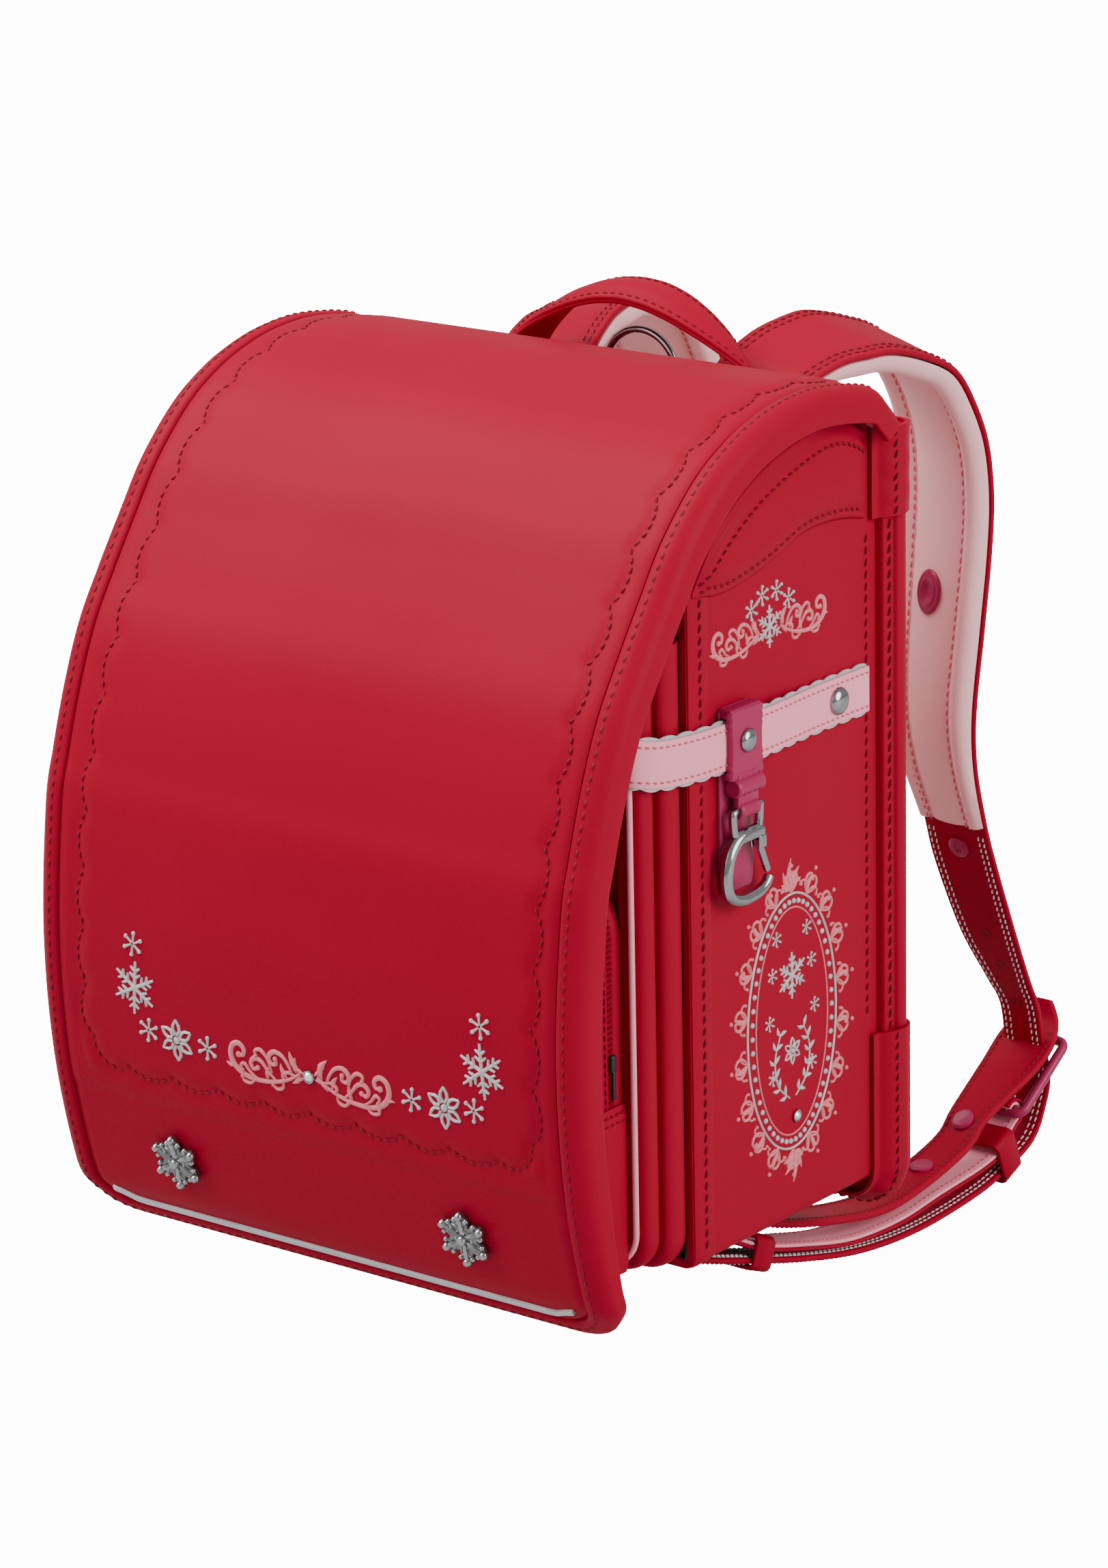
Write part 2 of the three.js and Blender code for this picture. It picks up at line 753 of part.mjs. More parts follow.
// Closure under the bag: a tongue from the flap's foot to a plate under the base.
function lockTongue() {
  const foot = onFlap(0, panelLength - 20, -flapThickness - clearance - 1.5);
  const path = [
    foot, point3(0, zipFront - 7, 8), point3(0, zipFront - 2.4, 2.4), point3(0, zipFront + 5, 0.4),
    point3(0, pocketRollFront, -2), point3(0, -halfDepth, -3.2), point3(0, -halfDepth + 14, -3.4),
  ];
  const directions = tangents(path);
  const stations = path.map((at, i) => ({
    at, across: point3(1, 0, 0), normal: directions[i].clone().cross(point3(1, 0, 0)),
  }));
  return swept(stations, () => slab(34, -1.3, 1.3));
}

function lockPlate() {
  const shape = new THREE.Shape();
  shape.absarc(0, 0, 15, 0, 2 * Math.PI);
  const plate = new THREE.ExtrudeGeometry(shape, { depth: 3, bevelEnabled: false, curveSegments: 12 });
  return plate.translate(0, -halfDepth + 32, -3 - clearance);
}

// Yoke on the back, which holds the handle, the ring and both shoulder straps
const yokeTop = boardTop - 5;
const yokeFront = flapRear + clearance;
const yokeLow = yokeTop - yokeRise;
const yokeRear = yokeFront + yokeStep + 9;

function yoke() {
  const shape = outline([
    point2(yokeFront, yokeTop - yokeHeight), point2(yokeRear - 7, yokeTop - yokeHeight + 2),
    point2(yokeRear, yokeTop - yokeHeight + 10), point2(yokeRear, yokeLow - 5),
    point2(yokeRear - 3, yokeLow), point2(yokeFront + 9, yokeLow), point2(yokeFront + 9, yokeTop),
    point2(yokeFront, yokeTop),
  ]);
  return alongX(shape, -yokeWidth / 2, yokeWidth / 2);
}

// Top handle: an arch whose ends turn flat against the yoke. Each row goes from the crown
// to the end of one side: out to the side, up the rise, how wide, how far the band's outer
// face turns to the rear in degrees, and how far the band has moved back.
const handleRows = [
  { out: 0, up: 1, wide: 1, turn: -13, back: 0 },
  { out: 0.2, up: 0.97, wide: 0.99, turn: -13, back: 0 },
  { out: 0.42, up: 0.87, wide: 0.93, turn: -10, back: 0.05 },
  { out: 0.64, up: 0.7, wide: 0.84, turn: 0, back: 0.15 },
  { out: 0.82, up: 0.5, wide: 0.74, turn: 20, back: 0.35 },
  { out: 0.95, up: 0.28, wide: 0.64, turn: 56, back: 0.7 },
  { out: 1, up: 0.12, wide: 0.6, turn: 84, back: 0.95 },
  { out: 1, up: 0, wide: 0.6, turn: 90, back: 1 },
];
const handleBase = yokeTop + clearance;
const handlePlace = yokeFront + 1.7;
const handleUnder = handleBase + handleRise;

function handle() {
  const half = smoothRows(handleRows, 2);
  const side = (rows, sign) => rows.map((row) => ({ ...row, sign }));
  const rows = [...side(half, 1).reverse(), ...side(half.slice(1), -1)];
  const points = rows.map(({ out, up, back, sign }) => point3(
    sign * out * (handleSpan / 2),
    handlePlace + 0.7 * back,
    handleBase + up * handleRise,
  ));
  const directions = tangents(points);
  const stations = points.map((at, i) => {
    const angle = THREE.MathUtils.degToRad(rows[i].turn);
    const atEnd = i === 0 || i === points.length - 1;
    const away = atEnd ? point3(rows[i].sign, 0, 0)
      : point3(directions[i].z, 0, -directions[i].x).normalize();
    const rear = point3(0, 1, 0);
    return {
      at,
      across: rear.clone().multiplyScalar(Math.cos(angle)).addScaledVector(away, -Math.sin(angle)),
      normal: away.clone().multiplyScalar(Math.cos(angle)).addScaledVector(rear, Math.sin(angle)),
    };
  });
  return swept(stations, (_, i) => {
    const width = handleWidth * rows[i].wide;
    return [point2(-width / 2, 0), point2(width / 2, 0), point2(0.47 * width, handleThickness),
      point2(-0.47 * width, handleThickness)];
  });
}

// Hang ring: a D of wire whose straight bar turns in a holder on the yoke.
const ringPlace = yokeFront + 7;
const ringBarLevel = yokeTop + clearance + 3.2;

function ringHolder() {
  const post = box(point3(-8, ringPlace - 4, yokeTop + clearance),
    point3(8, ringPlace + 4, ringBarLevel + 3));
  const bore = rod(ringWire + clearance, 40, 12, point3(1, 0, 0), point3(0, ringPlace, ringBarLevel));
  return cut(post, bore);
}

function hangRing() {
  const radius = ringInside + ringWire;
  const points = [point3(radius - 2, ringPlace, ringBarLevel), point3(radius, ringPlace, ringBarLevel + 2)];
  const steps = 10;
  for (let i = 0; i <= steps; i += 1) {
    const angle = Math.PI * (i / steps);
    points.push(point3(radius * Math.cos(angle), ringPlace, ringBarLevel + ringHeight - 2
      + radius * Math.sin(angle)));
  }
  points.push(point3(-radius, ringPlace, ringBarLevel + 2), point3(2 - radius, ringPlace, ringBarLevel));
  const directions = tangents(points, true);
  const stations = points.map((at, i) => ({
    at, across: point3(0, 1, 0), normal: directions[i].clone().cross(point3(0, 1, 0)),
  }));
  return swept(stations, () => roundSection(ringWire, 8), true);
}

// Places on the buckle, from the middle of the bar it hangs from: along the frame and above it.
const buckleNear = point3(beltSide, boardRear + 1.126 * strapReach, -0.484 * loopDrop);
const buckleAngle = THREE.MathUtils.degToRad(33);
const buckleRun = point3(0, Math.cos(buckleAngle), Math.sin(buckleAngle));
const buckleUp = point3(0, -Math.sin(buckleAngle), Math.cos(buckleAngle));

function onBuckle(along, up) {
  return buckleNear.clone().addScaledVector(buckleRun, along).addScaledVector(buckleUp, up);
}
const pinHolePlace = 0.66 * buckleLength;

// A place beyond the bar the buckle hangs from, as a share of strapReach behind the board.
function beyondBar(length) {
  return (buckleNear.y - boardRear + length) / strapReach;
}

// Shoulder strap. Each row is a cross-section of the right strap, from the yoke over the
// shoulder and down to the buckle, as shares of the strap's own sizes:
// side, the strap's middle away from the mid-plane, of strapSide
// back, its place behind the board, of strapReach
// up, its height, of bodyHeight
// wide, of strapWidth
// toe and fall, how far the outer edge lies forward and down of the inner one, of strapWidth
const strapRows = [
  { side: 0.714, back: 0.118, up: 0.9355, wide: 0.9, toe: 0, fall: 0 },
  { side: 0.74, back: 0.152, up: 0.983, wide: 0.9, toe: -0.02, fall: 0.03 },
  { side: 0.784, back: 0.262, up: 1.007, wide: 0.91, toe: -0.03, fall: 0.12 },
  { side: 0.822, back: 0.385, up: 1.015, wide: 0.93, toe: 0, fall: 0.19 },
  { side: 0.865, back: 0.49, up: 1.015, wide: 0.95, toe: 0.02, fall: 0.22 },
  { side: 0.91, back: 0.625, up: 0.999, wide: 0.97, toe: 0.1, fall: 0.22 },
  { side: 0.935, back: 0.757, up: 0.973, wide: 1, toe: 0.2, fall: 0.2 },
  { side: 0.958, back: 0.853, up: 0.92, wide: 1, toe: 0.3, fall: 0.08 },
  { side: 0.97, back: 0.917, up: 0.855, wide: 1, toe: 0.3, fall: 0 },
  { side: 0.98, back: 0.932, up: 0.785, wide: 1, toe: 0.28, fall: 0 },
  { side: 0.99, back: 0.912, up: 0.707, wide: 1, toe: 0.28, fall: 0 },
  { side: 1, back: 0.873, up: 0.61, wide: 0.97, toe: 0.28, fall: 0 },
  { side: 1, back: 0.84, up: 0.503, wide: 0.88, toe: 0.23, fall: 0 },
  { side: 1, back: 0.858, up: 0.424, wide: 0.76, toe: 0.14, fall: 0 },
  { side: 1, back: 0.93, up: 0.336, wide: 0.66, toe: 0.09, fall: 0 },
];
// Lower, narrow end of the strap, and its tail behind the buckle.
// back, of strapReach; up, of loopDrop below the base or above it; wide, of tailWidth
const tailRows = [
  { side: 0.947, back: 0.995, up: 1.377, wide: 1.58 },
  { side: 0.96, back: beyondBar(-2.45), up: 0.82, wide: 1.45 },
  { side: 0.985, back: beyondBar(10.06), up: 0.43, wide: 1.15 },
  { side: 1, back: beyondBar(17.54), up: 0.2, wide: 1 },
  { side: 1, back: beyondBar(21.76), up: -0.08, wide: 1 },
  { side: 1, back: beyondBar(26.38), up: -0.33, wide: 1 },
  { side: 1, back: beyondBar(23.39), up: -0.53, wide: 1 },
  { side: 1, back: beyondBar(14.42), up: -0.738, wide: 1 },
  { side: 1, back: 1.085, up: -0.852, wide: 1 },
  { side: 1, back: 0.921, up: -0.925, wide: 1 },
  { side: 1, back: 0.598, up: -0.957, wide: 1 },
  { side: 1, back: 0.289, up: -0.892, wide: 1 },
  { side: 1, back: -0.02, up: -0.73, wide: 1 },
  { side: 1, back: -0.358, up: -0.5, wide: 1 },
  { side: 1, back: -0.535, up: -0.369, wide: 1 },
];

function strapStations() {
  const upper = smoothRows(strapRows, 2).map(({ side, back, up, wide, toe, fall }) => {
    const lean = point3(0, -toe, -fall);
    return {
      at: point3(side * strapSide, boardRear + back * strapReach, up * bodyHeight),
      across: lean.setX(Math.sqrt(Math.max(1 - lean.lengthSq(), 0))),
      width: wide * strapWidth,
    };
  });
  const tail = smoothRows(tailRows, 2).map(({ side, back, up, wide }) => ({
    at: point3(side * beltSide, boardRear + back * strapReach, up * loopDrop),
    across: point3(1, 0, 0),
    width: wide * tailWidth,
  }));
  const stations = [...upper, ...tail];
  const directions = tangents(stations.map(({ at }) => at));
  return stations.map((station, i) => {
    const direction = i === 0 ? point3(0, 0, 1) : directions[i];
    const normal = station.across.clone().cross(direction).normalize();
    return { ...station, across: direction.clone().cross(normal), normal };
  });
}

const strapLine = strapStations();
const padLast = 2 * (strapRows.length - 1);

function strapShell() {
  const shell = swept(strapLine, ({ width }) => slab(width, 0, shellThickness));
  const pinHole = rod(pinDiameter / 2 + 2 * clearance, 8 * shellThickness, 8, buckleRun,
    onBuckle(pinHolePlace, 3.8));
  return cut(shell, pinHole);
}

function strapPad() {
  const stations = strapLine.slice(0, padLast + 1);
  return swept(stations, ({ width }, i) => {
    const half = 0.5 * width - 1;
    const ends = Math.min(i, padLast - i) / 3;
    const crown = -padThickness * (0.45 + 0.55 * Math.min(ends, 1)) - 2 * clearance;
    return [point2(half, -2 * clearance), point2(-half, -2 * clearance), point2(-half, 0.35 * crown),
      point2(-0.72 * half, 0.8 * crown), point2(-0.3 * half, crown), point2(0.3 * half, crown),
      point2(0.72 * half, 0.8 * crown), point2(half, 0.35 * crown)];
  });
}

// Lower belts. Rows run from the base ring to the buckle; back and up as for the strap's tail.
const baseRingBack = -0.4;
const baseRingUp = -0.2;
const tongueRows = [
  { back: -0.375, up: -0.13, wide: 1, toe: 0 },
  { back: -0.226, up: -0.311, wide: 1, toe: 0.04 },
  { back: -0.013, up: -0.475, wide: 1, toe: 0.1 },
  { back: 0.289, up: -0.639, wide: 1, toe: 0.2 },
  { back: 0.473, up: -0.689, wide: 1, toe: 0.25 },
  { back: 0.649, up: -0.656, wide: 1, toe: 0.25 },
  { back: 0.811, up: -0.59, wide: 1, toe: 0.25 },
  { back: 0.9, up: -0.525, wide: 1, toe: 0.22 },
  { back: beyondBar(-21.9), up: -0.42, wide: 1, toe: 0.14 },
  { back: beyondBar(-6.8), up: -0.311, wide: 1.16, toe: 0.08 },
  { back: beyondBar(10.06), up: -0.195, wide: 1.36, toe: 0.03 },
  { back: beyondBar(22.71), up: -0.07, wide: 1.4, toe: 0 },
  { back: beyondBar(31.14), up: 0.05, wide: 1.1, toe: 0 },
  { back: beyondBar(35.22), up: 0.18, wide: 0.5, toe: 0 },
];
const beltRows = [
  { back: -0.37, up: -0.33 },
  { back: -0.226, up: -0.492 },
  { back: -0.016, up: -0.639 },
  { back: 0.238, up: -0.779 },
  { back: 0.495, up: -0.82 },
  { back: 0.708, up: -0.785 },
  { back: 0.921, up: -0.754 },
  { back: 1.025, up: -0.721 },
];

function beltStations(rows, between) {
  const smooth = smoothRows(rows, between);
  const points = smooth.map(({ back, up }) => (
    point3(beltSide, boardRear + back * strapReach, up * loopDrop)));
  const directions = tangents(points);
  return points.map((at, i) => {
    const toe = smooth[i].toe ?? 0;
    const across = point3(Math.sqrt(1 - toe * toe), -toe, 0);
    const normal = across.clone().cross(directions[i]).normalize();
    return {
      at, across: directions[i].clone().cross(normal), normal, width: (smooth[i].wide ?? 1) * tailWidth,
    };
  });
}

// Upper belt with the tongue that covers the buckle, slotted for the strap.
const slotRow = 22;

function tongueBelt() {
  const stations = beltStations(tongueRows, 2);
  const belt = swept(stations, ({ width }) => slab(Math.min(width, tongueWidth), -beltThickness, 0));
  const { at, across, normal } = stations[slotRow];
  const slot = new THREE.BoxGeometry(tailWidth + 2.4, slotLength, 4 * beltThickness);
  const place = new THREE.Matrix4().makeBasis(across, normal.clone().cross(across), normal);
  return cut(belt, slot.applyMatrix4(place.setPosition(at)));
}

// Buckle: an open frame hung on the lower belt, which wraps its near bar.
function lowerBelt() {
  const stations = beltStations(beltRows, 2);
  const wrapRadius = 0.75 * buckleBar + clearance + beltThickness / 2;
  const turns = 7;
  for (let i = 0; i <= turns; i += 1) {
    const angle = -1.9 + (3.7 * i) / turns;
    const at = onBuckle(wrapRadius * Math.cos(angle), wrapRadius * Math.sin(angle));
    const outward = at.clone().sub(buckleNear).normalize();
    stations.push({ at: at.addScaledVector(outward, -beltThickness / 2), across: point3(1, 0, 0),
      normal: outward.negate(), width: tailWidth });
  }
  return swept(stations, ({ width }) => slab(width, -beltThickness, 0));
}

function buckleFrame() {
  const half = tailWidth / 2 + 1.2 + buckleBar;
  const place = new THREE.Matrix4().makeBasis(point3(1, 0, 0), buckleRun, buckleUp).setPosition(buckleNear);
  const rim = new THREE.BoxGeometry(2 * half, buckleLength, buckleBar);
  rim.translate(0, buckleLength / 2 - buckleBar / 2, 0);
  const window = new THREE.BoxGeometry(2 * (half - buckleBar), buckleLength - 2 * buckleBar, 3 * buckleBar);
  window.translate(0, buckleLength / 2 - buckleBar / 2, 0);
  return cut(rim, window).applyMatrix4(place);
}

function bucklePin() {
  const start = onBuckle(1.8 * buckleBar, 2.4);
  const end = onBuckle(buckleLength - 0.6 * buckleBar, buckleBar / 2 + clearance + pinDiameter / 2);
  const bend = onBuckle(0.5 * buckleLength, 4.4);
  const path = [start, bend, end];
  const directions = tangents(path);
  const stations = path.map((at, i) => ({
    at, across: point3(1, 0, 0), normal: directions[i].clone().cross(point3(1, 0, 0)),
  }));
  return swept(stations, () => roundSection(pinDiameter / 2, 8));
}

// A leather keeper: a flat band closed round the belts.
function keeper(back, up, tilt, height) {
  const angle = THREE.MathUtils.degToRad(tilt);
  const half = tailWidth / 2 + clearance;
  const outer = new THREE.BoxGeometry(2 * (half + keeperWall), keeperLength, height);
  const inner = new THREE.BoxGeometry(2 * half, 2 * keeperLength, height - 2 * keeperWall);
  const place = new THREE.Matrix4().makeRotationX(angle);
  place.setPosition(beltSide, boardRear + back * strapReach, up * loopDrop);
  return cut(outer, inner).applyMatrix4(place);
}

// Ring under the base that both lower belts fold round, with its leather tab.
function baseRing() {
  const place = point3(beltSide, boardRear + baseRingBack * strapReach, baseRingUp * loopDrop);
  const half = tailWidth / 2 + 1 + baseRingWire;
  const outer = new THREE.BoxGeometry(2 * half, baseRingWire, 13);
  const inner = new THREE.BoxGeometry(2 * (half - baseRingWire), 4 * baseRingWire, 13 - 2 * baseRingWire);
  return cut(outer, inner).translate(place.x, place.y, place.z + 3);
}

const belowBase = -clearance;

function baseTab() {
  const place = boardRear + baseRingBack * strapReach;
  const bar = baseRingUp * loopDrop + 3 + 6.5 - baseRingWire / 2;
  const half = tailWidth / 2;
  const outer = box(point3(beltSide - half, place - 14, bar - 3.2), point3(beltSide + half, place + 4, belowBase));
  const bore = box(point3(beltSide - half - 4, place - 1.8, bar - 1.9),
    point3(beltSide + half + 4, place + 1.8, bar + 1.9));
  return cut(outer, bore);
}

// Side belt: from its rivet near the back hem to the front face of the pocket.
// place from the rear end to the front, out from the bag's side, level above its middle.
const sideBeltRows = [
  { place: halfDepth - 8, out: 1.4, level: 0 },
  { place: 18, out: 1.6, level: 0 },
  { place: -12, out: 3.3, level: 0 },
  { place: -halfDepth + 12, out: 3.3, level: 0 },
  { place: -halfDepth - 6, out: 1.6, level: 0.5 },
  { place: -halfDepth - 18, out: 0.2, level: 1.6 },
  { place: edgingFront + 2.5, out: -2.2, level: 3 },
  { place: edgingFront - 1.2, out: -5.6, level: 4 },
  { place: edgingFront - 1.5, out: -12, level: 5 },
  { place: edgingFront - 1.5, out: -34, level: 7 },
];

function sideBelt() {
  const points = smoothRows(sideBeltRows, 2).map(({ place, out, level }) => (
    point3(halfWidth + out, place, sideBeltLevel + level)));
  const directions = tangents(points);
  const stations = points.map((at, i) => ({
    at, across: point3(0, 0, 1), normal: point3(0, 0, 1).cross(directions[i]).negate().normalize(),
  }));
  return swept(stations, () => slab(sideBeltHeight, -sideBeltThickness / 2, sideBeltThickness / 2));
}

function beltRivet() {
  const dome = new THREE.CylinderGeometry(3.4, 5.4, 2, 16);
  dome.rotateZ(-Math.PI / 2);
  return dome.translate(halfWidth + 1.6 + sideBeltThickness / 2 + clearance + 1.3,
    halfDepth - 29, sideBeltLevel);
}

// Plastic keeper on the side belt: a loop round the belt, a plate behind the hook and a
// bored lug at its foot.
const keeperOut = halfWidth + 3.3 + sideBeltThickness / 2 + clearance;
const hookOut = keeperOut + 1.4;
const plateOut = halfWidth + clearance;
const beltHalf = sideBeltHeight / 2 + clearance;

function hookKeeper() {
  const half = hookKeeperWidth / 2;
  const plate = alongX(outline([
    point2(hookPlace - half - 0.5, sideBeltLevel + beltHalf + 2.4),
    point2(hookPlace - half - 0.5, hookLevel - 27),
    point2(hookPlace - half + 5, hookLevel - 32), point2(hookPlace + half - 5, hookLevel - 32),
    point2(hookPlace + half + 0.5, hookLevel - 27),
    point2(hookPlace + half + 0.5, sideBeltLevel + beltHalf + 2.4),
  ]), plateOut, plateOut + 1.6);
  const top = box(point3(plateOut, hookPlace - half, sideBeltLevel + beltHalf),
    point3(keeperOut + 2.6, hookPlace + half, sideBeltLevel + beltHalf + 2.4));
  const front = box(point3(keeperOut, hookPlace - half, sideBeltLevel - beltHalf - 2),
    point3(keeperOut + 2.6, hookPlace + half, sideBeltLevel + beltHalf + 2.4));
  const web = box(point3(plateOut, hookPlace - half, sideBeltLevel - beltHalf - 3),
    point3(keeperOut + 2.6, hookPlace + half, sideBeltLevel - beltHalf));
  const neck = box(point3(hookOut - 1.3, hookPlace - 6, hookLevel + 1),
    point3(hookOut + 1.3, hookPlace + 6, sideBeltLevel - beltHalf - 1));
  const barrel = rod(3.8, 15, 12, point3(0, 1, 0), point3(hookOut, hookPlace, hookLevel + 9));
  const lug = rod(3.3, 12, 12, point3(0, 1, 0), point3(hookOut, hookPlace, hookLevel));
  const bore = rod(1.9, 40, 12, point3(0, 1, 0), point3(hookOut, hookPlace, hookLevel));
  return cut(joined(plate, top, front, web, neck, barrel, lug), bore);
}

function keeperRivet() {
  const dome = new THREE.CylinderGeometry(3.2, 4.6, 1.6, 16);
  dome.rotateZ(-Math.PI / 2);
  return dome.translate(keeperOut + 2.6 + clearance + 0.8, hookPlace, sideBeltLevel + 1);
}

// Snap hook, drawn in the plane of the bag's side round the middle of its bar.
function hookTube(points, radius, endless = false) {
  const path = points.map(([y, z]) => point3(hookOut, hookPlace + y, hookLevel + z));
  const directions = tangents(path, endless);
  const stations = path.map((at, i) => ({
    at, across: point3(1, 0, 0), normal: directions[i].clone().cross(point3(1, 0, 0)),
  }));
  return swept(stations, () => roundSection(radius, 8), endless);
}

const gatePivot = [7.5, -15];
const gateTip = [13.4, -28];

function hookBody() {
  const eye = hookTube([[-7.6, 0], [-8.6, -1.2], [-7.4, -8.5], [7.4, -8.5], [8.6, -1.2], [7.6, 0]], 1.5, true);
  const wire = hookWire / 2;
  const frame = hookTube([[0, -9.5], [-7, -10.5], [-13, -18], [-14, -26], [-10.5, -33.5], [-2, -36],
    [8, -35.5], [13.5, -32.8], [14.8, -30.4]], wire);
  const head = box(point3(hookOut - 2.6, hookPlace - 6, hookLevel - 13),
    point3(hookOut + 2.6, hookPlace + 10, hookLevel - 8));
  const cheek = (side) => box(
    point3(hookOut + side * 1.95 - 0.65, hookPlace + gatePivot[0] - 2.3, hookLevel + gatePivot[1] - 2.2),
    point3(hookOut + side * 1.95 + 0.65, hookPlace + gatePivot[0] + 2.3, hookLevel - 12.5));
  const pin = rod(0.8, 4.4, 8, point3(1, 0, 0),
    point3(hookOut, hookPlace + gatePivot[0], hookLevel + gatePivot[1]));
  return joined(eye, frame, head, cheek(-1), cheek(1), pin);
}

function hookGate() {
  const [py, pz] = gatePivot;
  const [ty, tz] = gateTip;
  const reach = new THREE.Vector2(ty - py, tz - pz);
  const side = reach.clone().normalize().rotateAround(point2(0, 0), Math.PI / 2).multiplyScalar(1.5);
  const lever = outline([
    point2(hookPlace + py + side.x, hookLevel + pz + side.y),
    point2(hookPlace + ty + side.x, hookLevel + tz + side.y),
    point2(hookPlace + ty - side.x, hookLevel + tz - side.y),
    point2(hookPlace + py - side.x, hookLevel + pz - side.y),
  ]);
  const arm = alongX(lever, hookOut - 0.95, hookOut + 0.95);
  const pivot = point3(hookOut, hookPlace + py, hookLevel + pz);
  const eye = rod(1.9, 1.9, 12, point3(1, 0, 0), pivot);
  const bore = rod(1.15, 10, 12, point3(1, 0, 0), pivot);
  return cut(joined(arm, eye), bore);
}

// Assembly
addPiece('gusset', gusset(), leather);
addPiece('back_board', backBoard(), leather);
addPiece('back_pad', backPad(), liningLeather);
addPiece('back_hem', backHem(), leather);
addPair('corner_cover_top', topCover(), leather);
addPair('corner_cover_bottom', bottomCover(), leather);
addPiece('front_roll', roll(frontRollBack, frontRollFront, frontRollHalf, 1), leather);
addPiece('front_panel', frontPanel(), leather);
addPiece('pocket_roll', roll(pocketRollBack, pocketRollFront, pocketRollHalf, pocketRollBottom), leather);
addPiece('pocket_face', pocketFace(), leather);
addPiece('pocket_edging', pocketEdging(), pinkLeather);
addPiece('zip_pocket', zipPocket(), leather);
addPiece('zip_pocket_wrap', zipOverlay(), leather);
addPair('side_overlay', sideOverlay(), leather);
addPiece('flap_panel', flapPanel(), leather);
addPiece('flap_hem', flapHem(), leather);
addPiece('reflective_strip', reflectiveStrip(), silverTrim);
addPair('snow_rivet', snowRivet(), steel);
addPiece('lock_tongue', lockTongue(), darkLeather);
addPiece('lock_plate', lockPlate(), steel);
addPiece('yoke', yoke(), leather);
addPiece('handle', handle(), leather);
addPiece('ring_holder', ringHolder(), darkLeather);
addPiece('hang_ring', hangRing(), steel);
addPair('strap_shell', strapShell(), leather);
addPair('strap_pad', strapPad(), liningLeather);
addPair('tongue_belt', tongueBelt(), leather);
addPair('lower_belt', lowerBelt(), pinkLeather);
addPair('buckle_frame', buckleFrame(), plastic);
addPair('buckle_pin', bucklePin(), steel);
addPair('rear_keeper', keeper(1.08, -0.77, 22, 21.4), leather);
addPair('front_keeper', keeper(-0.24, -0.551, -22, 15), leather);
addPair('base_ring', baseRing(), steel);
addPair('base_tab', baseTab(), leather);
addPair('side_belt', sideBelt(), pinkLeather);
addPair('belt_rivet', beltRivet(), steel);
addPair('hook_keeper', hookKeeper(), plastic);
addPair('keeper_rivet', keeperRivet(), steel);
addPair('hook_body', hookBody(), steel);
addPair('hook_gate', hookGate(), steel);

bag.position.set(0, -handlePlace, -handleUnder);

export default ransel;
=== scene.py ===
"""Looks of the school ransel: leather, seams, embroidery and fittings laid over its solids.

Lengths are in millimetres in the bag's own frame until a piece is made: x = 0 is the bag's
mid-plane, y = 0 the middle of its depth with the flap towards -y, and z = 0 the underside of
its base. `to_row` moves a point into the shared frame, in metres.
"""
from __future__ import annotations

import json
import logging
from dataclasses import dataclass, field
from enum import Enum
from math import atan2, copysign, cos, degrees, exp, hypot, pi, radians, sin, sqrt
from typing import Callable, Iterable, Sequence

import bmesh
import bpy
from mathutils import Matrix, Vector, kdtree

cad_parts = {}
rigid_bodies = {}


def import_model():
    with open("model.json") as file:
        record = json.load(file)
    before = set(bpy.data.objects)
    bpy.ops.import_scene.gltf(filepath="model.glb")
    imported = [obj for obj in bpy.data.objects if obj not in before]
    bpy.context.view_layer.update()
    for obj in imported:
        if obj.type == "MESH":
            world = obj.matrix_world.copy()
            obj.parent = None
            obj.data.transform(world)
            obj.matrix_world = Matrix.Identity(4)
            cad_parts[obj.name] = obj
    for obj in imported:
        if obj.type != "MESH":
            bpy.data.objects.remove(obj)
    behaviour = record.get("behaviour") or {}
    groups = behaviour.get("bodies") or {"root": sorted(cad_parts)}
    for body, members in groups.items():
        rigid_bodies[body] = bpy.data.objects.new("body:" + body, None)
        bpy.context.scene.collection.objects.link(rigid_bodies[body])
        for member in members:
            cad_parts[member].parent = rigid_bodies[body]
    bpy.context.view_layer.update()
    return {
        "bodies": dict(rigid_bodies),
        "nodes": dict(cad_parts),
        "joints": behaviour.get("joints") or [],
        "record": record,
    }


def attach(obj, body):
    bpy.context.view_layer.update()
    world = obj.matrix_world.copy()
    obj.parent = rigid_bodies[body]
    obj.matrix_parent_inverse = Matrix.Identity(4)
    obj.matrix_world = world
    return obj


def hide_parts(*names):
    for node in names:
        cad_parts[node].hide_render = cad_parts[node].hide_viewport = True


LOG = logging.getLogger("ransel")

HANDLE_PLACE = 74.0
HANDLE_UNDER = 343.516
HALF_WIDTH = 125.0
HALF_DEPTH = 62.0
BODY_HEIGHT = 318.0
BOARD_REAR = 68.7
BOARD_HALF = 115.7
HEM_FRONT = 62.3
HEM_REAR = 79.8
BOARD_TOP = 305.9
FRONT_HEIGHT = 250.0
STRAP_REACH = 136.0
LOOP_DROP = 61.0
BELT_SIDE = 76.0
TAIL_WIDTH = 20.0

Ring = list[Vector]
Flat = tuple[float, float]
Spot = Callable[[float, float, float], Vector]


def to_row(point: Vector) -> Vector:
    """A point of the bag's frame in the shared frame, in metres."""
    return Vector((point.x, point.y - HANDLE_PLACE, point.z - HANDLE_UNDER)) / 1000


def smooth_rows(rows: Sequence[Sequence[float]], between: int) -> list[tuple[float, ...]]:
    """Rows of a table with smooth rows between them, column by column.

    Args:
        rows: the table.
        between: how many rows come in place of each one but the last.

    Returns:
        The longer table.
    """
    last = len(rows) - 1
    result: list[tuple[float, ...]] = []
    for i in range(last):
        near = [rows[min(max(i + step, 0), last)] for step in (-1, 0, 1, 2)]
        for step in range(between):
            t = step / between
            result.append(tuple(blend(column, t) for column in zip(*near)))
    return [*result, tuple(rows[last])]


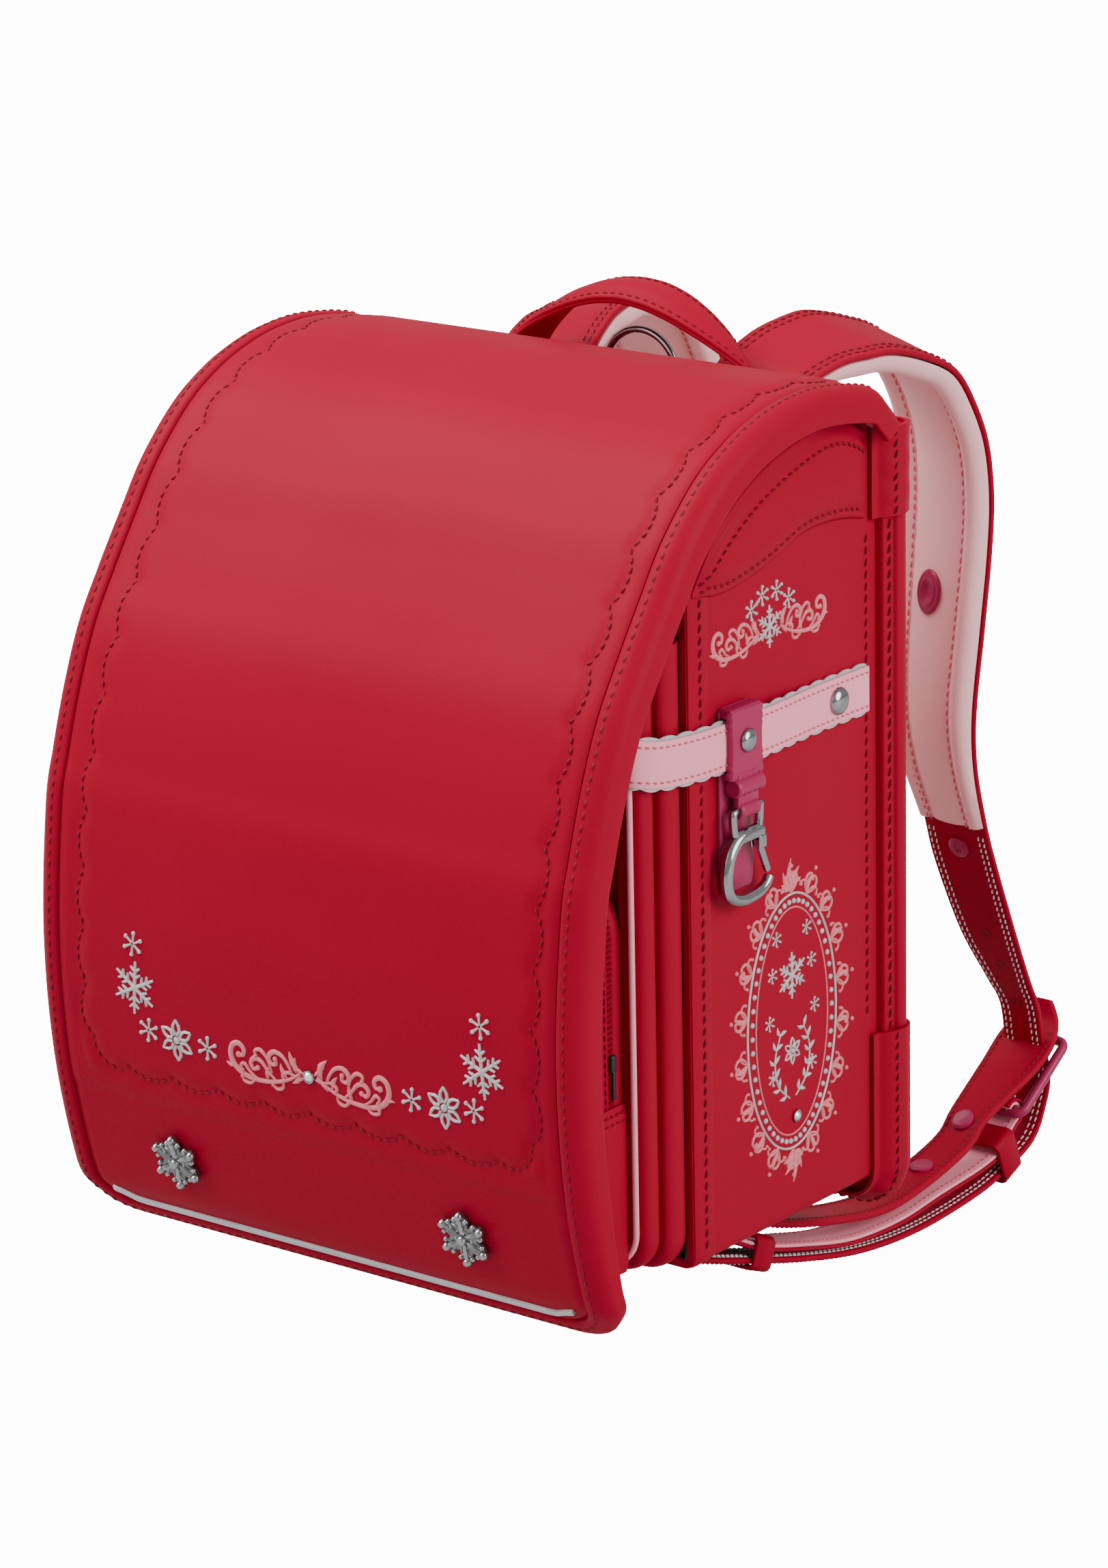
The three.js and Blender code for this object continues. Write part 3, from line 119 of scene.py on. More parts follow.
def blend(near: Sequence[float], t: float) -> float:
    """A smooth value between the second and the third of four."""
    before, start, end, after = near
    slope_in, slope_out = (end - before) / 2, (after - start) / 2
    square, cube = t * t, t * t * t
    return (start * (2 * cube - 3 * square + 1) + slope_in * (cube - 2 * square + t)
            + end * (3 * square - 2 * cube) + slope_out * (cube - square))


def tangents(points: Sequence[Vector], endless: bool = False) -> list[Vector]:
    """The direction of a row of points at each of them."""
    count = len(points)
    result = []
    for i in range(count):
        before = points[(i - 1) % count if endless else max(i - 1, 0)]
        after = points[(i + 1) % count if endless else min(i + 1, count - 1)]
        result.append((after - before).normalized())
    return result


def ramp(low: float, high: float, value: float) -> float:
    """0 below low, 1 above high, and a soft step between them."""
    t = min(max((value - low) / (high - low), 0.0), 1.0)
    return t * t * (3 - 2 * t)


def spaced(points: Sequence[Vector], normals: Sequence[Vector],
           step: float) -> list[tuple[Vector, Vector, Vector]]:
    """Even steps along a row of points.

    Args:
        points: the row.
        normals: the surface's normal at each point.
        step: the distance between the results.

    Returns:
        A point, its direction and its normal for each step.
    """
    result = []
    wanted = step / 2
    passed = 0.0
    for i in range(len(points) - 1):
        span = (points[i + 1] - points[i]).length
        while span > 0 and passed + span >= wanted:
            share = (wanted - passed) / span
            result.append((points[i].lerp(points[i + 1], share),
                           (points[i + 1] - points[i]).normalized(),
                           normals[i].lerp(normals[i + 1], share).normalized()))
            wanted += step
        passed += span
    return result


class Form:
    """Points and faces gathered for one piece, in the bag's own millimetres."""

    def __init__(self) -> None:
        """An empty form."""
        self.points: list[Vector] = []
        self.faces: list[tuple[int, ...]] = []

    def loft(self, rings: Sequence[Ring], endless: bool = False) -> Form:
        """A skin through closed rings with as many points each.

        Args:
            rings: the rings in order.
            endless: whether the last ring joins the first, in place of flat ends.

        Returns:
            The form itself.
        """
        start, size = len(self.points), len(rings[0])
        for ring in rings:
            self.points.extend(ring)
        for i in range(len(rings) if endless else len(rings) - 1):
            near, far = start + i * size, start + ((i + 1) % len(rings)) * size
            for j in range(size):
                k = (j + 1) % size
                self.faces.append((near + j, near + k, far + k, far + j))
        if not endless:
            end = start + (len(rings) - 1) * size
            self.faces.append(tuple(range(start + size - 1, start - 1, -1)))
            self.faces.append(tuple(range(end, end + size)))
        return self

    def board(self, upper: Sequence[Ring], lower: Sequence[Ring]) -> Form:
        """A closed slab between two grids with the same rows and columns.

        Args:
            upper: the grid of one face.
            lower: the grid of the other face.

        Returns:
            The form itself.
        """
        rows, columns, start = len(upper), len(upper[0]), len(self.points)
        for grid in (upper, lower):
            for row in grid:
                self.points.extend(row)
        under = rows * columns

        def at(i: int, j: int, side: int = 0) -> int:
            """The index of one point."""
            return start + side * under + i * columns + j

        for i in range(rows - 1):
            for j in range(columns - 1):
                self.faces.append((at(i, j), at(i, j + 1), at(i + 1, j + 1), at(i + 1, j)))
                self.faces.append((at(i, j, 1), at(i + 1, j, 1), at(i + 1, j + 1, 1), at(i, j + 1, 1)))
            last = columns - 1
            self.faces.append((at(i, 0), at(i + 1, 0), at(i + 1, 0, 1), at(i, 0, 1)))
            self.faces.append((at(i, last), at(i, last, 1), at(i + 1, last, 1), at(i + 1, last)))
        for j in range(columns - 1):
            last = rows - 1
            self.faces.append((at(0, j), at(0, j, 1), at(0, j + 1, 1), at(0, j + 1)))
            self.faces.append((at(last, j), at(last, j + 1), at(last, j + 1, 1), at(last, j, 1)))
        return self

    def block(self, low: Sequence[float], high: Sequence[float], radius: float) -> Form:
        """A block with rounded edges, from its lowest to its highest corner."""
        maker = bmesh.new()
        size = Vector(high) - Vector(low)
        bmesh.ops.create_cube(maker, size=1.0, matrix=Matrix.Diagonal((*size, 1)))
        bmesh.ops.bevel(maker, geom=list(maker.edges), offset=min(radius, 0.45 * min(size)),
                        segments=3, profile=0.5, affect="EDGES")
        middle = (Vector(high) + Vector(low)) / 2
        start = len(self.points)
        maker.verts.ensure_lookup_table()
        self.points.extend(vertex.co + middle for vertex in maker.verts)
        self.faces.extend(tuple(start + v.index for v in face.verts) for face in maker.faces)
        maker.free()
        return self

    def turned(self, profile: Sequence[Flat], middle: Vector, axis: Vector, sides: int = 28) -> Form:
        """A turned shape: rows of (radius, height) round an axis through a middle."""
        side = axis.orthogonal().normalized()
        other = axis.cross(side)
        rings = []
        for radius, height in profile:
            rings.append([middle + axis * height + (side * cos(a) + other * sin(a)) * radius
                          for a in (2 * pi * (i + 0.5) / sides for i in range(sides))])
        return self.loft(rings)

    def tube(self, points: Sequence[Vector], radius: float, sides: int = 12,
             endless: bool = False, across: Vector | None = None) -> Form:
        """A round wire along points.

        Args:
            points: the middle of the wire.
            radius: half its thickness.
            sides: how many flat sides it has.
            endless: whether it closes on itself.
            across: a direction that the wire never takes.

        Returns:
            The form itself.
        """
        side = across or Vector((1, 0, 0))
        rings = []
        for at, along in zip(points, tangents(points, endless)):
            first = (side - along * side.dot(along)).normalized()
            second = along.cross(first)
            rings.append([at + (first * cos(a) + second * sin(a)) * radius
                          for a in (2 * pi * i / sides for i in range(sides))])
        return self.loft(rings, endless)

    def mirrored(self) -> Form:
        """A copy on the other side of the mid-plane."""
        copy = Form()
        copy.points = [Vector((-p.x, p.y, p.z)) for p in self.points]
        copy.faces = [tuple(reversed(face)) for face in self.faces]
        return copy


@dataclass(frozen=True)
class Station:
    """A place along a strap: its middle, the way across, the way out, and its width."""

    at: Vector
    across: Vector
    normal: Vector
    width: float

    def spot(self, side: float, lift: float) -> Vector:
        """A point away from the middle, across and out."""
        return self.at + self.across * side + self.normal * lift


def sweep(stations: Sequence[Station],
          section: Callable[[Station, int], Sequence[Flat]], endless: bool = False) -> Form:
    """A section carried along stations."""
    rings = [[station.spot(u, v) for u, v in section(station, i)] for i, station in enumerate(stations)]
    return Form().loft(rings, endless)


def rounded(corners: Sequence[tuple[float, float, float, float]], steps: int) -> list[Flat]:
    """Quarter turns of an outline: each has a middle, a radius and a first angle in degrees."""
    return [(u + radius * cos(angle), v + radius * sin(angle)) for u, v, radius, start in corners
            for angle in (radians(start + 90 * i / steps) for i in range(steps + 1))]


def box_corners(half: float, low: float, high: float, radius: float) -> list[tuple[float, ...]]:
    """The four corners of a box with rounded edges, from the lower right one round."""
    return [(half - radius, low + radius, radius, -90), (half - radius, high - radius, radius, 0),
            (radius - half, high - radius, radius, 90), (radius - half, low + radius, radius, 180)]


def strip_section(width: float, low: float, high: float, radius: float) -> list[Flat]:
    """The rounded section of a flat strip, from its lower to its upper face."""
    result = rounded(box_corners(width / 2, low, high, min(radius, 0.49 * (high - low))), 3)
    extra = []
    for start, end in ((15, 0), (7, 8)):
        first, last = result[start], result[end]
        extra.append([(first[0] + (last[0] - first[0]) * k / 6, first[1] + (last[1] - first[1]) * k / 6)
                      for k in range(1, 6)])
    return [*result[:8], *extra[1], *result[8:], *extra[0]]


def curved(points: Sequence[Flat], between: int = 4) -> list[Flat]:
    """Flat points with smooth ones between them."""
    return [(row[0], row[1]) for row in smooth_rows(points, between)]


def u_path(half: float, bottom: float, top: float, corner: float, step: float = 6.0,
           corner_steps: int = 10) -> list[tuple[float, float, float]]:
    """A U that runs down one side, round two lower corners and up the other side.

    Args:
        half: half its width.
        bottom: its lowest level.
        top: the level of its two ends.
        corner: the radius of its lower corners.
        step: about how far its points are apart.
        corner_steps: how many steps each corner takes.

    Returns:
        Rows of x, z and the angle of the way out, in radians.
    """
    rows = []
    count = max(int((top - bottom - corner) / step), 1)
    for i in range(count):
        rows.append((half, top + (bottom + corner - top) * i / count, 0.0))
    for i in range(corner_steps + 1):
        angle = -pi / 2 * i / corner_steps
        rows.append((half - corner + corner * cos(angle), bottom + corner + corner * sin(angle), angle))
    count = max(int(2 * (half - corner) / step), 1)
    for i in range(1, count):
        rows.append((half - corner - 2 * (half - corner) * i / count, bottom, -pi / 2))
    mirrored = [(-x, z, -pi - angle) for x, z, angle in reversed(rows[:len(rows) - count + 1])]
    return rows + mirrored


def u_stations(half: float, bottom: float, top: float, corner: float, step: float = 6.0) -> list[Station]:
    """Stations of a U in the plane y = 0, with the way out across and the front as normal."""
    return [Station(Vector((x, 0, z)), Vector((cos(a), 0, sin(a))), Vector((0, -1, 0)), 1.0)
            for x, z, a in u_path(half, bottom, top, corner, step)]


class Wiring:
    """A tree of shader nodes being wired."""

    def __init__(self, tree: bpy.types.NodeTree) -> None:
        """Keeps the tree."""
        self.tree = tree

    def node(self, kind: str, values: dict[str | int, object] | None = None,
             **settings: object) -> bpy.types.Node:
        """Adds a node.

        Args:
            kind: the node's type without "ShaderNode".
            values: the values of its inputs by name or number.
            **settings: its own settings.

        Returns:
            The node.
        """
        node = self.tree.nodes.new("ShaderNode" + kind)
        for name, value in settings.items():
            setattr(node, name, value)
        for name, value in (values or {}).items():
            node.inputs[name].default_value = value
        return node

    def link(self, start: bpy.types.NodeSocket, end: bpy.types.NodeSocket) -> None:
        """Joins an output to an input."""
        self.tree.links.new(start, end)

    def sum(self, kind: str, first: object, second: object) -> bpy.types.NodeSocket:
        """A math node on two sockets or numbers."""
        node = self.node("Math", operation=kind)
        for i, value in enumerate((first, second)):
            if isinstance(value, bpy.types.NodeSocket):
                self.link(value, node.inputs[i])
            else:
                node.inputs[i].default_value = value
        return node.outputs[0]


class Effect(Enum):
    """Surface effects that several finishes share."""

    HIDE = "hide_grain"
    THREAD = "twisted_thread"
    POLISH = "polish_marks"
    MOULD = "moulded_skin"
    BEADS = "beaded_film"


PATTERNS: dict[Effect, tuple[str, str, dict[str, float], dict[str, str]]] = {
    Effect.HIDE: ("TexVoronoi", "Distance", {}, {"feature": "SMOOTH_F1"}),
    Effect.THREAD: ("TexWave", "Fac", {"Distortion": 1.5, "Detail": 1.0}, {"bands_direction": "DIAGONAL"}),
    Effect.POLISH: ("TexNoise", "Fac", {"Detail": 4.0, "Roughness": 0.6}, {}),
    Effect.MOULD: ("TexNoise", "Fac", {"Detail": 2.0}, {}),
    Effect.BEADS: ("TexVoronoi", "Distance", {}, {"feature": "F1"}),
}


def effect(kind: Effect) -> bpy.types.NodeTree:
    """The shader node group of an effect, built the first time it is asked for.

    Args:
        kind: the effect.

    Returns:
        A group with the input Scale and the outputs Height and Mottle.
    """
    found = bpy.data.node_groups.get(kind.value)
    if found:
        return found
    tree = bpy.data.node_groups.new(kind.value, "ShaderNodeTree")
    scale = tree.interface.new_socket(name="Scale", in_out="INPUT", socket_type="NodeSocketFloat")
    scale.default_value = 1000.0
    tree.interface.new_socket(name="Height", in_out="OUTPUT", socket_type="NodeSocketFloat")
    tree.interface.new_socket(name="Mottle", in_out="OUTPUT", socket_type="NodeSocketFloat")
    wiring = Wiring(tree)
    entry = tree.nodes.new("NodeGroupInput")
    end = tree.nodes.new("NodeGroupOutput")
    place = wiring.node("TexCoord").outputs["Object"]
    node, output, values, settings = PATTERNS[kind]
    pattern = wiring.node(node, values, **settings)
    wiring.link(place, pattern.inputs["Vector"])
    wiring.link(entry.outputs["Scale"], pattern.inputs["Scale"])
    height = mottle = pattern.outputs[output]
    if kind in (Effect.HIDE, Effect.MOULD):
        slow = wiring.node("TexNoise", {"Scale": 9.0, "Detail": 3.0, "Roughness": 0.5})
        wiring.link(place, slow.inputs["Vector"])
        mottle = slow.outputs["Fac"]
    if kind is Effect.HIDE:
        pores = wiring.node("TexNoise", {"Detail": 2.0})
        wiring.link(place, pores.inputs["Vector"])
        wiring.link(wiring.sum("MULTIPLY", entry.outputs["Scale"], 0.35), pores.inputs["Scale"])
        height = wiring.sum("ADD", height, wiring.sum("MULTIPLY", pores.outputs["Fac"], 0.8))
    wiring.link(height, end.inputs["Height"])
    wiring.link(mottle, end.inputs["Mottle"])
    return tree


@dataclass(frozen=True)
class Finish:
    """A surface: its two tones, its gloss and the effect that breaks it up.

    `slot` is the record's material slot that it stands for. Colours are linear. `scale` counts the
    effect's cells in a metre and `depth` is its relief in metres.
    """

    name: str
    slot: str
    light: tuple[float, float, float]
    dark: tuple[float, float, float]
    kind: Effect = Effect.HIDE
    scale: float = 1500.0
    depth: float = 0.00006
    rough: float = 0.4
    rough_spread: float = 0.08
    metallic: float = 0.0
    coat: float = 0.0
    sheen: float = 0.0
    shine: float = 0.5

    def material(self) -> bpy.types.Material:
        """The finish's material, built the first time it is asked for."""
        found = bpy.data.materials.get(self.name)
        if found:
            return found
        material = bpy.data.materials.new(self.name)
        material.use_nodes = True
        wiring = Wiring(material.node_tree)
        shader = material.node_tree.nodes["Principled BSDF"]
        for socket, value in (("Metallic", self.metallic), ("Specular IOR Level", self.shine),
                              ("Coat Weight", self.coat), ("Coat Roughness", 0.25),
                              ("Sheen Weight", self.sheen), ("Sheen Roughness", 0.4)):
            shader.inputs[socket].default_value = value
        group = wiring.node("Group", node_tree=effect(self.kind))
        group.inputs["Scale"].default_value = self.scale
        tones = wiring.node("Mix", {6: (*self.light, 1), 7: (*self.dark, 1)}, data_type="RGBA")
        wiring.link(group.outputs["Mottle"], tones.inputs[0])
        wiring.link(tones.outputs[2], shader.inputs["Base Color"])
        gloss = wiring.node("MapRange", {"To Min": self.rough - self.rough_spread,
                                         "To Max": self.rough + self.rough_spread})
        wiring.link(group.outputs["Mottle"], gloss.inputs["Value"])
        wiring.link(gloss.outputs["Result"], shader.inputs["Roughness"])
        bump = wiring.node("Bump", {"Strength": 0.5, "Distance": self.depth})
        wiring.link(group.outputs["Height"], bump.inputs["Height"])
        wiring.link(bump.outputs["Normal"], shader.inputs["Normal"])
        return material


RED_LEATHER = Finish("red_leather_hide", "red_leather", (0.34, 0.0026, 0.023), (0.3, 0.0018, 0.0185),
                     rough=0.46, shine=0.05)
DEEP_LEATHER = Finish("deep_red_hide", "dark_leather", (0.26, 0.002, 0.016), (0.2, 0.0015, 0.012),
                      rough=0.5, shine=0.08)
PINK_LEATHER = Finish("pale_pink_hide", "pink_leather", (0.98, 0.34, 0.44), (0.94, 0.29, 0.38), rough=0.5,
                      shine=0.3)
LINING_PINK = Finish("strap_lining_pink", "lining_leather", (0.98, 0.52, 0.53), (0.94, 0.45, 0.46),
                     scale=1100, depth=0.0001, rough=0.55, shine=0.3, sheen=0.1)
LINING_PALE = Finish("strap_lining_pale", "lining_leather", (0.98, 0.52, 0.53), (0.94, 0.44, 0.46),
                     scale=1100, depth=0.0001, rough=0.5, shine=0.3, sheen=0.1)
INNER_LINING = Finish("charcoal_lining", "dark_leather", (0.02, 0.022, 0.025), (0.012, 0.013, 0.015),
                      rough=0.6)
RED_THREAD = Finish("red_thread", "red_leather", (0.27, 0.002, 0.017), (0.11, 0.001, 0.006), Effect.THREAD,
                    900.0, 0.0001, 0.5, 0.05, shine=0.2)
PINK_THREAD = Finish("pink_thread", "pink_leather", (0.75, 0.14, 0.19), (0.55, 0.09, 0.13), Effect.THREAD,
                     900.0, 0.0001, 0.5, 0.05, shine=0.3)
WHITE_THREAD = Finish("white_thread", "pink_leather", (0.85, 0.8, 0.78), (0.6, 0.55, 0.54), Effect.THREAD,
                      900.0, 0.0001, 0.45, 0.05)
SILVER_SILK = Finish("silver_silk", "silver_trim", (0.72, 0.71, 0.71), (0.42, 0.4, 0.4), Effect.THREAD,
                     1600.0, 0.00012, 0.35, 0.06, metallic=0.2)
PINK_SILK = Finish("pink_silk", "pink_leather", (0.9, 0.27, 0.3), (0.66, 0.13, 0.16), Effect.THREAD, 1600.0,
                   0.00012, 0.4, 0.06, shine=0.3)
MAGENTA_PLASTIC = Finish("magenta_plastic_moulding", "magenta_plastic", (0.36, 0.013, 0.08),
                         (0.31, 0.009, 0.065), Effect.MOULD, 900.0, 0.00003, 0.38, 0.05, shine=0.3)
SILVER_FILM = Finish("silver_trim_film", "silver_trim", (0.62, 0.64, 0.64), (0.44, 0.46, 0.46),
                     Effect.BEADS, 2600.0, 0.00004, 0.36, 0.06, metallic=0.35)
CHROME = Finish("chrome_plate", "chrome_metal", (0.42, 0.42, 0.43), (0.3, 0.3, 0.31), Effect.POLISH, 260.0,
                0.00001, 0.14, 0.04, metallic=1.0)
DARK_CHROME = Finish("rivet_plate_dark", "chrome_metal", (0.26, 0.26, 0.265), (0.18, 0.18, 0.185),
                     Effect.POLISH, 260.0, 0.00003, 0.3, 0.1, metallic=1.0)
CRYSTAL = Finish("cut_crystal", "chrome_metal", (0.86, 0.88, 0.9), (0.7, 0.72, 0.76), Effect.POLISH, 400.0,
                 0.00001, 0.04, 0.02, metallic=0.7, coat=1.0)
ZIP_METAL = Finish("dark_zip_metal", "chrome_metal", (0.05, 0.045, 0.047), (0.02, 0.018, 0.02),
                   Effect.POLISH, 500.0, 0.00002, 0.35, 0.08, metallic=0.6)
PAPER_FLOOR = Finish("pale_floor", "", (0.5, 0.5, 0.5), (0.48, 0.48, 0.48), Effect.MOULD, 60.0, 0.00002,
                     0.7, 0.05)


def make(name: str, form: Form, finish: Finish, body: str = "root",
         replaces: Iterable[str] = (), crease: float = 40.0, slot: str = "") -> bpy.types.Object:
    """Makes one piece of the bag from a form.

    Args:
        name: the piece's name.
        form: its points and faces, in the bag's millimetres.
        finish: its surface.
        body: the moving body that it rides on.
        replaces: the solids that it stands for.
        crease: edges sharper than this many degrees stay sharp.
        slot: the record's material slot, where it isn't the finish's own; not used.

    Returns:
        The piece.
    """
    mesh = bpy.data.meshes.new(name)
    maker = bmesh.new()
    corners = [maker.verts.new(to_row(p)) for p in form.points]
    for face in form.faces:
        if len(set(face)) > 2:
            try:
                maker.faces.new([corners[i] for i in face])
            except ValueError:
                LOG.debug("%s: a face was already there", name)
    bmesh.ops.recalc_face_normals(maker, faces=maker.faces)
    for face in maker.faces:
        face.smooth = True
    maker.to_mesh(mesh)
    maker.free()
    mesh.set_sharp_from_angle(angle=radians(crease))
    piece = bpy.data.objects.new(name, mesh)
    bpy.context.scene.collection.objects.link(piece)
    piece.data.materials.append(finish.material())
    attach(piece, body)
    slot or finish.slot
    nodes = list(replaces)
    if nodes:
        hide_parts(*nodes)
    LOG.info("%s: %d points, %s", name, len(form.points), finish.name)
    return piece


def make_pair(name: str, form: Form, finish: Finish, body: str = "root",
              replaces: Iterable[str] = (), crease: float = 40.0, slot: str = "") -> list[bpy.types.Object]:
    """Makes a piece for each side of the bag; bodies and solids get the side's name too.

    Args:
        name: the piece's name without its side.
        form: its form on the right side.
        finish: its surface.
        body: "root", or the moving body's name without its side.
        replaces: the solids that it stands for, without their side.
        crease: edges sharper than this many degrees stay sharp.
        slot: the record's material slot, where it isn't the finish's own; not used.

    Returns:
        The right and the left piece.
    """
    pieces = []
    nodes = list(replaces)
    for side, shape in (("right", form), ("left", form.mirrored())):
        pieces.append(make(f"{name}_{side}", shape, finish, body if body == "root" else f"{body}_{side}",
                           [f"{node}_{side}" for node in nodes], crease, slot))
    return pieces


@dataclass(frozen=True)
class Seam:
    """A row of stitches: how far apart, how long and how thick they are."""

    pitch: float = 4.3
    length: float = 3.3
    thick: float = 1.0
    lift: float = 0.12
    slant: float = 0.12

    def sewn(self, form: Form, points: Sequence[Vector], normals: Sequence[Vector]) -> Form:
        """Adds the stitches along a row of points.

        Args:
            form: the form that takes the stitches.
            points: the row, on the surface.
            normals: the surface's normal at each point.

        Returns:
            The form.
        """
        radius = self.thick / 2
        for at, along, normal in spaced(points, normals, self.pitch):
            side = along.cross(normal).normalized()
            heading = (along + side * self.slant).normalized()
            rings = []
            for share, swell, rise in ((-0.5, 0.35, -0.7), (-0.28, 0.95, 0.15), (0.0, 1.0, 0.4),
                                       (0.28, 0.95, 0.15), (0.5, 0.35, -0.7)):
                middle = at + heading * (self.length * share) + normal * (self.lift + radius * rise)
                rings.append([middle + (side * cos(a) + normal * sin(a)) * (radius * swell)
                              for a in (pi * k / 3 for k in range(6))])
            form.loft(rings)
        return form


class Needle:
    """Draws raised embroidery on a surface that a spot function unrolls."""

    def __init__(self, spot: Spot, thick: float = 0.75) -> None:
        """Keeps the surface and the thickness of the thread."""
        self.spot = spot
        self.thick = thick
        self.silver = Form()
        self.pink = Form()

    def stroke(self, form: Form, path: Sequence[Flat], widths: Sequence[float]) -> None:
        """A raised line along a flat path, with a width at its start, middle and end.

        Args:
            form: the form that takes the line.
            path: its points on the unrolled surface.
            widths: three widths.
        """
        count = len(path)
        rings = []
        for i, (u, v) in enumerate(path):
            before, after = path[max(i - 1, 0)], path[min(i + 1, count - 1)]
            du, dv = after[0] - before[0], after[1] - before[1]
            size = hypot(du, dv) or 1.0
            nu, nv = -dv / size, du / size
            share = 2 * i / (count - 1)
            low = int(share >= 1)
            wide = widths[low] + (widths[low + 1] - widths[low]) * (share - low)
            tall = min(self.thick, 0.6 * wide)
            rings.append([self.spot(u + nu * wide * s, v + nv * wide * s, tall * h - 0.15)
                          for s, h in ((-0.5, 0.0), (-0.36, 0.75), (0.0, 1.15), (0.36, 0.75), (0.5, 0.0))])
        form.loft(rings)

    def dot(self, form: Form, u: float, v: float, radius: float) -> None:
        """A round knot."""
        rings = []
        for share, rise in ((1.0, -0.1), (0.92, 0.45), (0.62, 0.85), (0.2, 1.0)):
            rings.append([self.spot(u + radius * share * cos(a), v + radius * share * sin(a),
                                    min(self.thick, radius) * 1.2 * rise)
                          for a in (pi * k / 5 for k in range(10))])
        form.loft(rings)

    def snowflake(self, u: float, v: float, radius: float, turn: float = 0.0) -> None:
        """Six arms with two pairs of branches each."""
        for k in range(6):
            angle = radians(60 * k + 30 + turn)
            ways = (cos(angle), sin(angle))
            self.stroke(self.silver, [(u + ways[0] * radius * s, v + ways[1] * radius * s)
                                      for s in (0.08, 0.4, 0.7, 1.0)],
                        (0.16 * radius, 0.15 * radius, 0.1 * radius))
            for start, size in ((0.36, 0.3), (0.62, 0.26)):
                for lean in (-55, 55):
                    way = angle + radians(lean)
                    self.stroke(self.silver, [
                        (u + ways[0] * radius * start + cos(way) * radius * size * s,
                         v + ways[1] * radius * start + sin(way) * radius * size * s)
                        for s in (0.0, 0.5, 1.0)], (0.12 * radius, 0.13 * radius, 0.09 * radius))
        self.dot(self.silver, u, v, 0.15 * radius)

    def star(self, u: float, v: float, radius: float, turn: float = 0.0) -> None:
        """Six short arms with round ends."""
        for k in range(6):
            angle = radians(60 * k + 30 + turn)
            self.stroke(self.silver, [(u + cos(angle) * radius * s, v + sin(angle) * radius * s)
                                      for s in (0.12, 0.5, 0.9)],
                        (0.2 * radius, 0.22 * radius, 0.3 * radius))
            self.dot(self.silver, u + cos(angle) * radius * 0.9, v + sin(angle) * radius * 0.9,
                     0.19 * radius)

    def blossom(self, u: float, v: float, radius: float) -> None:
        """Six pointed petals round a crystal."""
        for k in range(6):
            angle = radians(60 * k + 30)
            along, side = (cos(angle), sin(angle)), (-sin(angle), cos(angle))
            for sign in (-1, 1):
                self.stroke(self.silver, [
                    (u + along[0] * radius * a + side[0] * radius * sign * b,
                     v + along[1] * radius * a + side[1] * radius * sign * b)
                    for a, b in ((0.26, 0.04), (0.5, 0.2), (0.72, 0.17), (1.0, 0.0))],
                    (0.16 * radius, 0.2 * radius, 0.12 * radius))
        self.dot(self.silver, u, v, 0.2 * radius)

    def curl(self, u: float, v: float, heading: float, length: float, bend: float, tight: float,
             width: float) -> None:
        """A pink line that winds up.

        Args:
            u, v: its start.
            heading: its first direction in degrees.
            length: its length.
            bend: its curvature at the start, in degrees a millimetre.
            tight: its curvature at the end.
            width: its width in the middle.
        """
        steps = max(int(length / 0.9), 6)
        path = [(u, v)]
        angle = radians(heading)
        for i in range(steps):
            share = i / steps
            angle += radians(bend + (tight - bend) * share ** 1.6) * length / steps
            last = path[-1]
            path.append((last[0] + cos(angle) * length / steps, last[1] + sin(angle) * length / steps))
        self.stroke(self.pink, path, (0.55 * width, width, 0.8 * width))
        self.dot(self.pink, *path[-1], 0.62 * width)

    def leaf(self, u: float, v: float, heading: float, length: float, wide: float,
             form: Form | None = None) -> None:
        """A pointed leaf, slightly bent."""
        angle = radians(heading)
        path = []
        for i in range(7):
            share = i / 6
            sway = 0.12 * length * sin(pi * share)
            path.append((u + cos(angle) * length * share - sin(angle) * sway,
                         v + sin(angle) * length * share + cos(angle) * sway))
        self.stroke(form or self.pink, path, (0.25 * wide, wide, 0.15 * wide))

    def scroll(self, u: float, v: float, reach: float) -> None:
        """A flowing scroll from a middle outwards.

        Args:
            u, v: the point next to the middle.
            reach: how far it reaches sideways; below zero it runs to the other side.
        """
        sign = 1 if reach > 0 else -1
        size = abs(reach) / 33.0

        def turned(x: float, y: float) -> Flat:
            """A point of the drawing on the surface."""
            return u + sign * size * x, v + size * y

